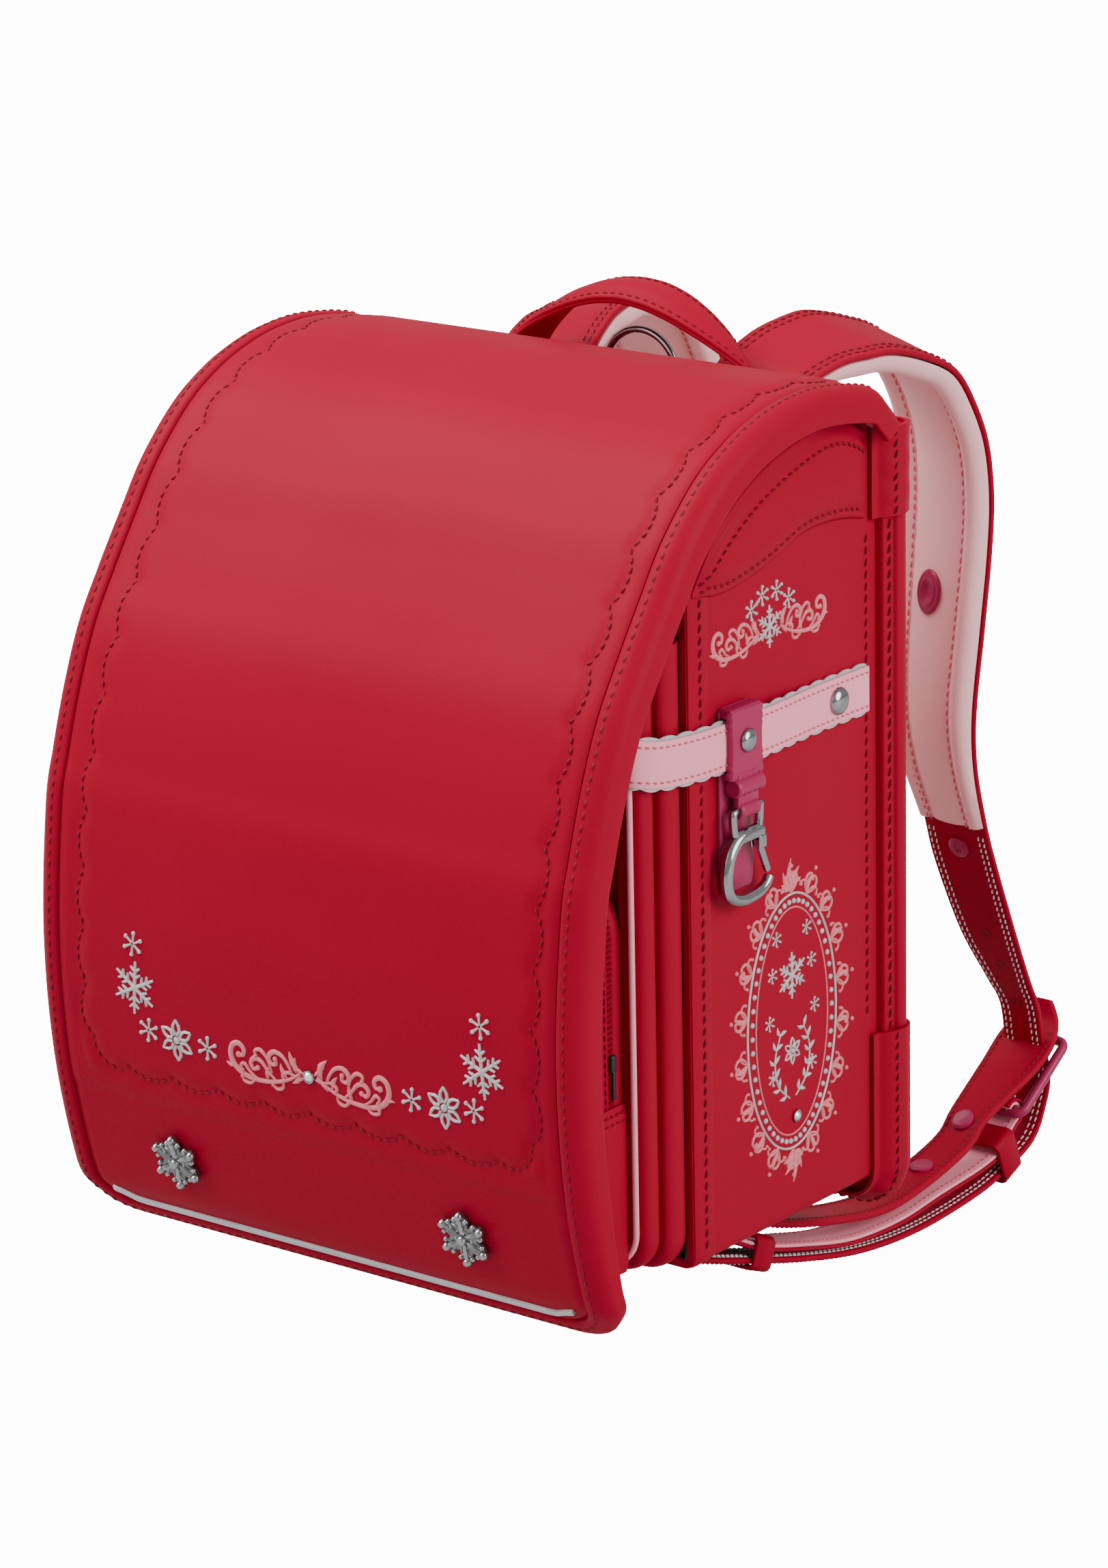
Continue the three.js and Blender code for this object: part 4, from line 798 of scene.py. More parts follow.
        for wide, rows in ((1.9, ((0.5, 0), (5, -3), (11, -5.4), (18, -6.6), (25, -6.4), (30.5, -3.8),
                                  (32.8, 0.2), (32, 4.2), (29, 5.6), (26.6, 4), (27, 1.6), (29, 1.4))),
                           (1.6, ((4.5, -2.6), (5.6, 1), (8.5, 4.6), (12.4, 5.6), (15, 3.4), (14, 0.8),
                                  (11.8, 1.2), (12, 3))), (1.6, ((12, -5.6), (15.5, -2.6), (18.4, 0.6),
                                                                 (21.6, 1.4), (23.6, -0.6), (22.4, -2.8),
                                                                 (20.4, -2))),
                           (1.3, ((14, -2.6), (15.8, 2.4), (18.6, 5), (21.2, 4.4), (21, 2.6))),
                           (1.2, ((20, -6.7), (24, -4.4), (26.6, -1.6), (28.4, -2.6), (27.6, -4.2))),
                           (1.3, ((3, -1.8), (6.4, -1), (9, -2.4), (8.4, -4.2))),
                           (1.2, ((9, -4.8), (9.4, -7.4), (12, -8.4), (13.8, -7.2))),
                           (1.2, ((22, -6.6), (24.4, -8.6), (27.4, -8.2), (28, -6.6)))):
            path = [turned(x, y) for x, y in curved(rows, 5)]
            self.stroke(self.pink, path, (0.6 * wide * size, 1.4 * wide * size, 0.9 * wide * size))
            self.dot(self.pink, *path[-1], 0.65 * wide * size)
        for x, y, heading, length, wide in ((1, 0.3, 58, 7, 2.4), (2.5, -0.4, 88, 5, 2.0),
                                            (0.6, -0.8, -42, 5, 1.8), (7, -3.2, 62, 5, 1.8),
                                            (16, -6, 100, 5, 1.8), (30.6, -3, 8, 4, 1.6)):
            heading = heading if sign > 0 else 180 - heading
            self.leaf(*turned(x, y), heading, 1.15 * length * size, 1.3 * wide * size)

    def finished(self, name: str) -> None:
        """Makes the silver and pink threads, each as one piece."""
        if self.silver.faces:
            make(f"{name}_silver", self.silver, SILVER_SILK)
        if self.pink.faces:
            make(f"{name}_pink", self.pink, PINK_SILK)


def crystal(name: str, spot: Spot, u: float, v: float, radius: float) -> None:
    """A cut crystal in a round chrome bezel, seated on a surface."""
    middle, above = spot(u, v, 0.0), spot(u, v, 1.0)
    axis = (above - middle).normalized()
    bezel = Form().turned([(radius, -0.3), (radius * 1.12, 0.3), (radius * 1.05, 0.9),
                           (radius * 0.86, 1.0), (radius * 0.82, 0.4)], middle, axis, 24)
    make(f"{name}_bezel", bezel, CHROME)
    stone = Form().turned([(radius * 0.84, 0.3), (radius * 0.84, 0.9), (radius * 0.5, 1.6),
                           (radius * 0.12, 1.75)], middle, axis, 8)
    make(f"{name}_stone", stone, CRYSTAL, crease=5)


FLAP_ROWS = (
    (0, 0.855), (0, 0.882), (0.003, 0.907), (0.016, 0.938), (0.046, 0.961), (0.097, 0.985),
    (0.239, 1), (0.3475, 0.997), (0.4356, 0.984), (0.51, 0.965), (0.589, 0.934), (0.677, 0.88),
    (0.741, 0.824), (0.811, 0.759), (0.867, 0.702), (0.913, 0.633), (0.952, 0.557), (0.978, 0.492),
    (1, 0.334), (0.987, 0.178), (0.941, 0.039), (0.904, -0.006), (0.857, -0.042))


@dataclass
class Flap:
    """The flap: its panel with the embossed field, its hem, strip, rivets and embroidery."""

    width: float = 271.0
    reach: float = 144.0
    crown: float = 330.5
    rear: float = 72.0
    thick: float = 3.0
    hem_width: float = 12.0
    hem_drop: float = 17.0
    corner: float = 14.0
    field_half: float = 113.0
    field_middle: float = 1.5
    field_top: float = 56.0
    field_foot: float = 437.0
    field_corner: float = 20.0
    scallop: float = 23.3
    scallop_depth: float = 3.9
    mesh_step: float = 2.5
    line: list[Flat] = field(default_factory=list)
    run: list[float] = field(default_factory=list)

    def __post_init__(self) -> None:
        """Works out the flap's line in side view and the way along it."""
        rows = smooth_rows(FLAP_ROWS, 14)
        self.line = [(self.rear - along * (self.rear + self.reach), up * self.crown) for along, up in rows]
        self.run = [0.0]
        for here, before in zip(self.line[1:], self.line):
            self.run.append(self.run[-1] + hypot(here[0] - before[0], here[1] - before[1]))
        self.length = self.run[-1]
        self.hem_from = self.run[14 * 3]
        self.panel_half = self.width / 2 - self.hem_width - 0.3
        self.panel_length = self.length - self.hem_width - 0.3
        self.ways = tangents([Vector((0, y, z)) for y, z in self.line])

    def at(self, run: float) -> tuple[Vector, Vector, Vector]:
        """The point, the way along and the way out at a run along the flap."""
        low, high = 0, len(self.run) - 1
        while high - low > 1:
            middle = (low + high) // 2
            if self.run[middle] <= run:
                low = middle
            else:
                high = middle
        share = (run - self.run[low]) / (self.run[high] - self.run[low])
        (y0, z0), (y1, z1) = self.line[low], self.line[high]
        along = self.ways[low].lerp(self.ways[high], min(max(share, 0), 1)).normalized()
        spot = Vector((0, y0 + (y1 - y0) * share, z0 + (z1 - z0) * share))
        return spot, along, Vector((0, along.z, -along.y))

    def spot(self, x: float, run: float, lift: float) -> Vector:
        """A point over the flap's outer face."""
        at, _, normal = self.at(run)
        return at + normal * (lift + self.relief(x, run)) + Vector((x, 0, 0))

    def reach_at(self, run: float) -> float:
        """Half the panel's width at a run."""
        if run <= self.hem_from:
            return BOARD_HALF
        past = run - (self.panel_length - self.corner)
        if past <= 0:
            return BOARD_HALF + (self.panel_half - BOARD_HALF) * ramp(self.hem_from, self.hem_from + 3, run)
        return self.panel_half - self.corner + sqrt(max(self.corner ** 2 - past ** 2, 0.0))

    def field_path(self, step: float = 0.8) -> list[Flat]:
        """The scalloped line round the embossed field, from its rear end and back to it."""
        half, foot, corner = self.field_half, self.field_foot, self.field_corner
        base: list[tuple[Flat, Flat]] = []
        side = foot - corner - self.field_top
        count = int(side / step)
        for i in range(count):
            base.append(((-half, self.field_top + side * i / count), (-1.0, 0.0)))
        turns = int(pi / 2 * corner / step)
        for i in range(turns):
            angle = pi / 2 * i / turns
            base.append(((-half + corner - corner * cos(angle), foot - corner + corner * sin(angle)),
                         (-cos(angle), sin(angle))))
        across = int(2 * (half - corner) / step)
        for i in range(across + 1):
            base.append(((-half + corner + 2 * (half - corner) * i / across, foot), (0.0, 1.0)))
        right = [((-x, run), (-nx, nr)) for (x, run), (nx, nr) in reversed(base[:count + turns])]
        rows = base + right
        total = 0.0
        passed = [0.0]
        for (here, _), (before, _) in zip(rows[1:], rows):
            total += hypot(here[0] - before[0], here[1] - before[1])
            passed.append(total)
        pitch = total / round(total / self.scallop)
        path = []
        for ((x, run), (nx, nr)), way in zip(rows, passed):
            bulge = self.scallop_depth * (abs(sin(pi * way / pitch)) ** 0.75 - 0.6)
            path.append((self.field_middle + x + nx * bulge, run + nr * bulge))
        return path

    def relief(self, x: float, run: float) -> float:
        """How far the panel's face stands proud: the field is padded, its seam drawn in."""
        if not hasattr(self, "tree"):
            path = self.field_path()
            self.tree = kdtree.KDTree(len(path))
            for i, (px, prun) in enumerate(path):
                self.tree.insert(Vector((px, prun, 0)), i)
            self.tree.balance()
        _, _, gap = self.tree.find(Vector((x, run, 0)))
        inside = min(self.field_half - abs(x - self.field_middle), self.field_foot - run)
        signed = gap if inside > 0 else -gap
        lift = 0.9 * ramp(-0.5, 4.5, signed) - 0.45 * exp(-(gap / 1.9) ** 2)
        lift -= 0.8 * ramp(self.field_foot + 7, self.field_foot + 14, run)
        edge = self.reach_at(run) - abs(x)
        return lift - 0.9 * (1 - ramp(0.0, 2.6, edge)) if run > self.hem_from else lift

    def panel(self) -> None:
        """The panel: one padded sheet of leather."""
        end = self.panel_length - self.corner
        count = int(end / self.mesh_step)
        runs = [end * i / count for i in range(count)]
        runs += [end + self.corner * sin(pi / 2 * i / 9) for i in range(10)]
        columns = int(2 * self.panel_half / self.mesh_step)
        shares = [2 * j / columns - 1 for j in range(columns + 1)]
        upper, lower = [], []
        for run in runs:
            reach = max(self.reach_at(run), self.panel_half - self.corner)
            upper.append([self.spot(reach * s, run, 0) for s in shares])
            at, _, normal = self.at(run)
            lower.append([at - normal * self.thick + Vector((reach * s, 0, 0)) for s in shares])
        make("flap_leather", Form().board(upper, lower), RED_LEATHER, replaces=["flap_panel"], crease=50)

    def hem_rows(self) -> list[tuple[float, float, float]]:
        """Places of the hem's inner edge: x, run and its turn, from the right rear end round."""
        half, end = self.width / 2 - self.hem_width, self.length - self.hem_width
        straight = end - self.corner
        count = int((straight - self.hem_from) / 3)
        rows = [(half, self.hem_from + (straight - self.hem_from) * i / count, 0.0) for i in range(count)]
        for i in range(13):
            turn = pi / 2 * i / 12
            rows.append((half - self.corner + self.corner * cos(turn),
                         straight + self.corner * sin(turn), turn))
        left = [(-x, run, pi - turn) for x, run, turn in reversed(rows)]
        inner = 2 * (half - self.corner)
        count = int(inner / 5)
        foot = [(half - self.corner - inner * i / count, end, pi / 2) for i in range(1, count)]
        return rows + foot + left

    def hem_frame(self, row: tuple[float, float, float]) -> tuple[Vector, Vector, Vector]:
        """The point, the way across and the way out at one place of the hem."""
        x, run, turn = row
        at, along, normal = self.at(run)
        across = Vector((cos(turn), 0, 0)) + along * sin(turn)
        return at + Vector((x, 0, 0)), across, normal

    def hem_drop_at(self, run: float) -> float:
        """How far the hem is rolled inwards at a run."""
        tip = min(max((run - 0.86 * self.length) / (0.14 * self.length), 0), 1)
        return self.hem_drop * (0.78 - 0.28 * tip)

    def hem_outer(self, drop: float) -> list[Flat]:
        """The outer line of the hem's section, from its inner edge out and down."""
        wide = self.hem_width
        return curved([(0, -1.3), (0.07 * wide, -0.1), (0.26 * wide, 0.45), (0.52 * wide, 0.0),
                       (0.8 * wide, -0.17 * drop), (0.97 * wide, -0.42 * drop), (wide, -0.7 * drop),
                       (wide, -drop)], 3)

    def hem(self) -> None:
        """The hem: the flap's edge rolled inwards down both sides and round the foot."""
        rings = []
        normals = []
        seam = []
        wide, thick = self.hem_width, self.thick
        for row in self.hem_rows():
            at, across, normal = self.hem_frame(row)
            drop = self.hem_drop_at(row[1])
            inner = [(wide - 0.8, -drop - 0.5), (wide - thick, -drop), (wide - thick, -0.55 * drop),
                     (0.76 * wide - 0.6 * thick, -0.25 * drop - 0.4 * thick), (0.4 * wide, -0.8 - thick),
                     (0, -thick)]
            section = self.hem_outer(drop) + inner
            rings.append([at + across * u + normal * v for u, v in section])
            seam.append(at + across * (0.34 * wide) + normal * 0.28)
            normals.append((normal + across * 0.05).normalized())
        make("flap_edge_roll", Form().loft(rings), RED_LEATHER, replaces=["flap_hem"], crease=60)
        make("flap_hem_stitches", Seam(4.6, 3.5, 1.0, 0.08).sewn(Form(), seam, normals), RED_THREAD)

    def seams(self) -> None:
        """The scalloped seam, and the one across the rear end."""
        path = self.field_path()
        points = [self.spot(x, run, 0.1) for x, run in path]
        normals = [self.at(run)[2] for _, run in path]
        form = Seam(4.0, 3.0, 1.0).sewn(Form(), points, normals)
        for run in (5.0, 10.0):
            row = [self.spot(x, run, 0.1) for x in range(-112, 113, 4)]
            Seam().sewn(form, row, [self.at(run)[2]] * len(row))
        make("flap_field_stitches", form, RED_THREAD)

    def strip(self) -> None:
        """The reflective strip across the foot of the flap."""
        run, half = self.panel_length - 2.2, 116.0
        rings = []
        for i in range(49):
            x = half * (2 * i / 48 - 1)
            rise = 4.6 * ramp(half - 16, half, abs(x)) ** 2
            at, along, normal = self.at(run - rise)
            base = at + Vector((x, 0, 0))
            rings.append([base + along * u + normal * v
                          for u, v in ((-2.3, -0.8), (-2.2, 0.1), (-1.0, 0.55), (0.2, 0.5), (0.4, -0.8))])
        make("flap_foot_strip", Form().loft(rings), SILVER_FILM, replaces=["reflective_strip"])

    def rivets(self, side: float = 72.3, radius: float = 11.6) -> None:
        """Two cast snowflake rivets: a lobed plate, six branched arms, beads and a boss."""
        at, along, normal = self.at(0.912 * self.length)
        middle = at + Vector((side, 0, 0))

        def spot(u: float, v: float, lift: float) -> Vector:
            """A point over the rivet's plate."""
            return middle + Vector((u, 0, 0)) + along * v + normal * (1.7 + lift)

        outline = []
        for k in range(96):
            angle = 2 * pi * k / 96
            r = radius * (0.56 + 0.4 * abs(cos(3 * angle)) ** 1.4)
            outline.append((r * sin(angle), r * cos(angle)))
        plate = Form().loft([[spot(u * share, v * share, lift) for u, v in outline]
                             for share, lift in ((1.0, -1.6), (1.0, 0.0), (0.95, 0.35), (0.05, 0.35))])
        make_pair("flap_snow_plate", plate, DARK_CHROME, crease=35)
        needle = Needle(spot, 2.4)
        form = needle.silver

        def way(share: float, bearing: float) -> Flat:
            """A point of the plate at a share of its radius."""
            angle = radians(bearing)
            return radius * share * sin(angle), radius * share * cos(angle)

        for k in range(6):
            turn = 60.0 * k
            needle.stroke(form, [way(0.12, turn), way(0.5, turn), way(0.93, turn)], (2.0, 3.2, 2.2))
            needle.dot(form, *way(0.88, turn), 2.0)
            for side_turn in (-1, 1):
                needle.stroke(form, [way(0.48, turn), way(0.74, turn + 17 * side_turn)], (1.5, 1.7, 1.5))
                needle.dot(form, *way(0.76, turn + 18 * side_turn), 1.25)
            needle.stroke(form, [way(0.36, turn), way(0.33, turn + 30), way(0.36, turn + 60)],
                          (1.5, 1.6, 1.5))
        form.turned([(2.2, 0), (2.2, 1.5), (1.7, 2.4), (0.5, 2.8)], spot(0, 0, 0.2), normal, 18)
        make_pair("flap_snow_rivet", form, CHROME, replaces=["snow_rivet"], crease=35)

    def embroidery(self) -> None:
        """Snowflakes, stars and scrolls over the foot of the field."""
        scale = self.length / 516.9

        def spot(x: float, down: float, lift: float) -> Vector:
            """The flap's face with v running up it."""
            return self.spot(x, (-down) * scale, lift)

        needle = Needle(spot)
        for x, run in ((-82.9, 380.6), (-76.7, 414.8), (-46.5, 416.4), (55.2, 416.5), (85.4, 414.7),
                       (89.4, 380.8)):
            needle.star(x, -run, 4.8, 8 * sin(x))
        for x, run in ((-82.6, 398.4), (90.1, 398.3)):
            needle.snowflake(x, -run, 10.9, 6 * sin(x))
        for x, run in ((-62.3, 416.2), (71.0, 416.5)):
            needle.blossom(x, -run, 8.5)
        needle.scroll(1.2, -417.0, -36.0)
        needle.scroll(8.4, -417.0, 36.0)
        for sign in (-1, 1):
            needle.leaf(4.8 + 2.4 * sign, -417.0, 90 - 62 * sign, 5.0, 2.0)
            needle.leaf(4.8 + 2.4 * sign, -418.4, 90 - 108 * sign, 5.0, 1.8)
        needle.finished("flap_embroidery")
        crystal("flap_crystal", spot, 4.8, -417.6, 2.5)

    def build(self) -> None:
        """Makes every piece of the flap."""
        self.panel()
        self.hem()
        self.seams()
        self.strip()
        self.rivets()
        self.embroidery()


SIDE_TOP = ((0, 0.836), (0.13, 0.909), (0.34, 0.962), (0.62, 0.998), (0.8, 1), (1, 0.962))
OVERLAY_SEAM = ((0.03, 0.835), (0.19, 0.828), (0.4, 0.842), (0.6, 0.866), (0.78, 0.868), (0.93, 0.858))


def level_on(rows: Sequence[Flat], y: float) -> float:
    """The height of a line drawn on the bag's side, at a place along its depth."""
    line = [(-HALF_DEPTH + along * 2 * HALF_DEPTH, up * BODY_HEIGHT) for along, up in smooth_rows(rows, 8)]
    if y <= line[0][0]:
        return line[0][1]
    for (y0, z0), (y1, z1) in zip(line, line[1:]):
        if y <= y1:
            return z0 + (z1 - z0) * (y - y0) / (y1 - y0)
    return line[-1][1]


@dataclass
class Compartment:
    """The main compartment: its sides and base, the padded overlays and the sides' embroidery."""

    corner: float = 4.0
    wall: float = 3.0
    margin: float = 6.0
    overlay_thick: float = 4.4
    overlay_start: float = -59.0
    overlay_end: float = 53.5

    def section(self, y: float) -> Ring:
        """The bent sheet's outline at one place along the depth."""
        top = level_on(SIDE_TOP, y)
        outer: list[Flat] = [(HALF_WIDTH, self.corner + (top - self.corner) * (1 - i / 40))
                             for i in range(40)]
        for i in range(7):
            angle = -pi / 2 * i / 6
            outer.append((HALF_WIDTH - self.corner + self.corner * cos(angle),
                          self.corner + self.corner * sin(angle)))
        outer += [((HALF_WIDTH - self.corner) * (1 - i / 12), 0.0) for i in range(1, 13)]
        outline = outer + [(-x, z) for x, z in reversed(outer[:-1])]
        inner = [(copysign(min(abs(x), HALF_WIDTH - self.wall), x), max(z, self.wall))
                 for x, z in reversed(outline)]
        return [Vector((x, y, z)) for x, z in outline + inner]

    def shell(self) -> None:
        """Sides and base in one bent sheet, with its lining."""
        stations = [-HALF_DEPTH + 2 * HALF_DEPTH * i / 44 for i in range(45)]
        make("body_leather", Form().loft([self.section(y) for y in stations]), RED_LEATHER,
             replaces=["gusset"], crease=50)
        lining = Form()
        for sign in (-1, 1):
            upper, lower = [], []
            for y in stations:
                top = level_on(SIDE_TOP, y) - 1
                column = [3.2 + (top - 3.2) * i / 30 for i in range(31)]
                upper.append([Vector((sign * (HALF_WIDTH - 3.1), y, z)) for z in column])
                lower.append([Vector((sign * (HALF_WIDTH - 3.9), y, z)) for z in column])
            lining.board(upper, lower)
        lining.block((-121, -61, 3.1), (121, 61, 3.9), 0.3)
        make("body_lining", lining, INNER_LINING)

    def fold(self) -> None:
        """The turned front edge of each side, with its seam, and the seam near the back."""
        seams = Form()
        top = level_on(SIDE_TOP, -56) - 6
        line = [(4.0, 48.5), (4.75, 49.0), (5.05, 50.5), (5.1, 59.0), (4.6, 61.3), (3.0, 62.0), (0.6, 61.8),
                (0.6, 60.0), (3.6, 55.0)]
        fold = sweep(u_stations(HALF_WIDTH - 4, 4.0, top, 1.0), lambda s, i: line)
        make("front_edge_fold", fold, RED_LEATHER)
        normal = Vector((1, 0, 0))
        for y, lift, low, high in ((-54.5, 1.15, 6, top - 2), (55.5, 0.05, 70, 268)):
            row = [Vector((HALF_WIDTH + lift, y, low + (high - low) * i / 40)) for i in range(41)]
            Seam(4.8, 3.7, 1.15, slant=0.3).sewn(seams, row, [normal] * 41)
        make_pair("side_stitches", seams, RED_THREAD)

    def overlay_spot(self, share: float, y: float) -> Vector:
        """A point of the overlay's face: a share of the way up from its lower seam."""
        low, high = level_on(OVERLAY_SEAM, y), level_on(SIDE_TOP, y) - self.margin + 3.5
        high = max(high, low + 1)
        ends = 2 * (y - self.overlay_start) / (self.overlay_end - self.overlay_start) - 1
        swell = (1 - abs(2 * share - 1) ** 3.2) * (1 - abs(ends) ** 8)
        step = 0.35 + 0.9 * ramp(0, 0.05, share) * ramp(0, 0.05, 1 - share)
        gap = min(share, 1 - share) * (high - low)
        lift = 0.2 + step + (self.overlay_thick - 1.4) * swell - 0.9 * exp(-((gap - 4.0) / 1.7) ** 2)
        return Vector((HALF_WIDTH + lift, y, low + (high - low) * share))

    def overlay(self) -> None:
        """The padded overlay under the flap on each side, with its wavy seam."""
        columns = 60
        start, end = self.overlay_start, self.overlay_end
        upper, lower = [], []
        for j in range(columns + 1):
            y = start + (end - start) * j / columns
            rows_up = [self.overlay_spot(i / 28, y) for i in range(29)]
            rows_low = [Vector((HALF_WIDTH + 0.05, y, spot.z)) for spot in rows_up]
            upper.append(rows_up)
            lower.append(rows_low)
        for piece in make_pair("side_padded_overlay", Form().board(upper, lower), RED_LEATHER,
                               replaces=["side_overlay"], crease=60):
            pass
        seams = Form()
        places = [start + 3 + (end - start - 6) * i / 60 for i in range(61)]
        for upper_row in (False, True):
            row = []
            for y in places:
                height = self.overlay_spot(1, y).z - self.overlay_spot(0, y).z
                share = min((9.5 if upper_row else 4.0) / max(height, 19.2), 0.49)
                row.append(self.overlay_spot(1 - share if upper_row else share, y))
            Seam(4.0, 3.1, 1.15, slant=0.3).sewn(seams, row, [Vector((1, 0, 0))] * 61)
        make_pair("overlay_stitches", seams, RED_THREAD)

    def embroidery(self) -> None:
        """A snowflake crest and an oval leaf wreath on each side."""
        for name, sign in (("right", 1), ("left", -1)):
            def spot(y: float, z: float, lift: float, sign: int = sign) -> Vector:
                """A point over this side."""
                return Vector((sign * (HALF_WIDTH + lift), y, z))

            needle = Needle(spot, 0.7)
            needle.snowflake(-8.5, 243.7, 8.4)
            for y, z in ((-20.2, 252.4), (-13.1, 256.7), (-3.8, 256.8), (4.1, 252.1)):
                needle.star(y, z, 3.9)
            needle.scroll(-15.0, 243.0, -30.0)
            needle.scroll(-2.0, 243.0, 30.0)
            self.wreath(needle)
            needle.finished(f"side_embroidery_{name}")
            crystal(f"side_crystal_{name}", spot, 6.4, 42.6, 2.3)

    def wreath(self, needle: Needle, y: float = 4.2, z: float = 82.0) -> None:
        """The oval wreath: beads, a line, and curling leaves all round it."""
        wide, tall = 26.5, 49.0
        beads = 54
        for k in range(beads):
            angle = 2 * pi * k / beads
            needle.dot(needle.silver, y + wide * cos(angle), z + tall * sin(angle), 1.15)
        for grow, form, width in ((3.0, needle.silver, 1.1), (-2.6, needle.pink, 0.8)):
            rim = [(y + (wide + grow) * cos(2 * pi * i / 96),
                    z + (tall + grow) * sin(2 * pi * i / 96)) for i in range(97)]
            needle.stroke(form, rim, (width, width, width))
        steps = 18
        for k in range(steps):
            angle = 2 * pi * (k + 0.5) / steps
            ey, ez = y + (wide + 3.8) * cos(angle), z + (tall + 3.8) * sin(angle)
            out = degrees(atan2(sin(angle) / tall, cos(angle) / wide))
            for sign in (-1, 1):
                needle.curl(ey, ez, out + 64 * sign, 13.0, -sign * 5, -sign * 40, 1.5)
                needle.curl(ey, ez, out + 22 * sign, 9.5, sign * 3, sign * 46, 1.2)
            needle.leaf(ey, ez, out + 8 * sin(3 * k), 8.6, 2.7)
            needle.dot(needle.pink, ey + 10.6 * cos(radians(out)), ez + 10.6 * sin(radians(out)), 0.95)
        for top, sign in ((z + tall + 5, 1), (z - tall - 5, -1)):
            for lean in (-64, -34, 0, 34, 64):
                needle.leaf(y, top, 90 * sign + lean, 12.5 - abs(lean) / 12, 3.0)
        needle.snowflake(y, z + 19, 9.5)
        for dy, dz in ((-13, 22), (13, 22), (-15, 3), (15, 3), (-10, 36), (10, 36), (-13, -20), (13, -20)):
            needle.star(y + dy, z + dz, 3.0)
        for sign in (-1, 1):
            rows = [(y + sign * 2.0, z - 31), (y + sign * 9.5, z - 24), (y + sign * 11.5, z - 13),
                    (y + sign * 7.5, z - 3)]
            stem = curved(rows, 6)
            needle.stroke(needle.silver, stem, (0.8, 0.9, 0.6))
            for i in range(2, len(stem), 3):
                ahead = stem[min(i + 1, len(stem) - 1)]
                way = degrees(atan2(ahead[1] - stem[i - 1][1], ahead[0] - stem[i - 1][0]))
                for lean in (-48, 48):
                    needle.leaf(stem[i][0], stem[i][1], way + lean, 4.6, 1.9, needle.silver)
        needle.blossom(y, z - 12, 5.6)

    def build(self) -> None:
        """Makes every piece of the compartment."""
        self.shell()
        self.fold()
        self.overlay()
        self.embroidery()


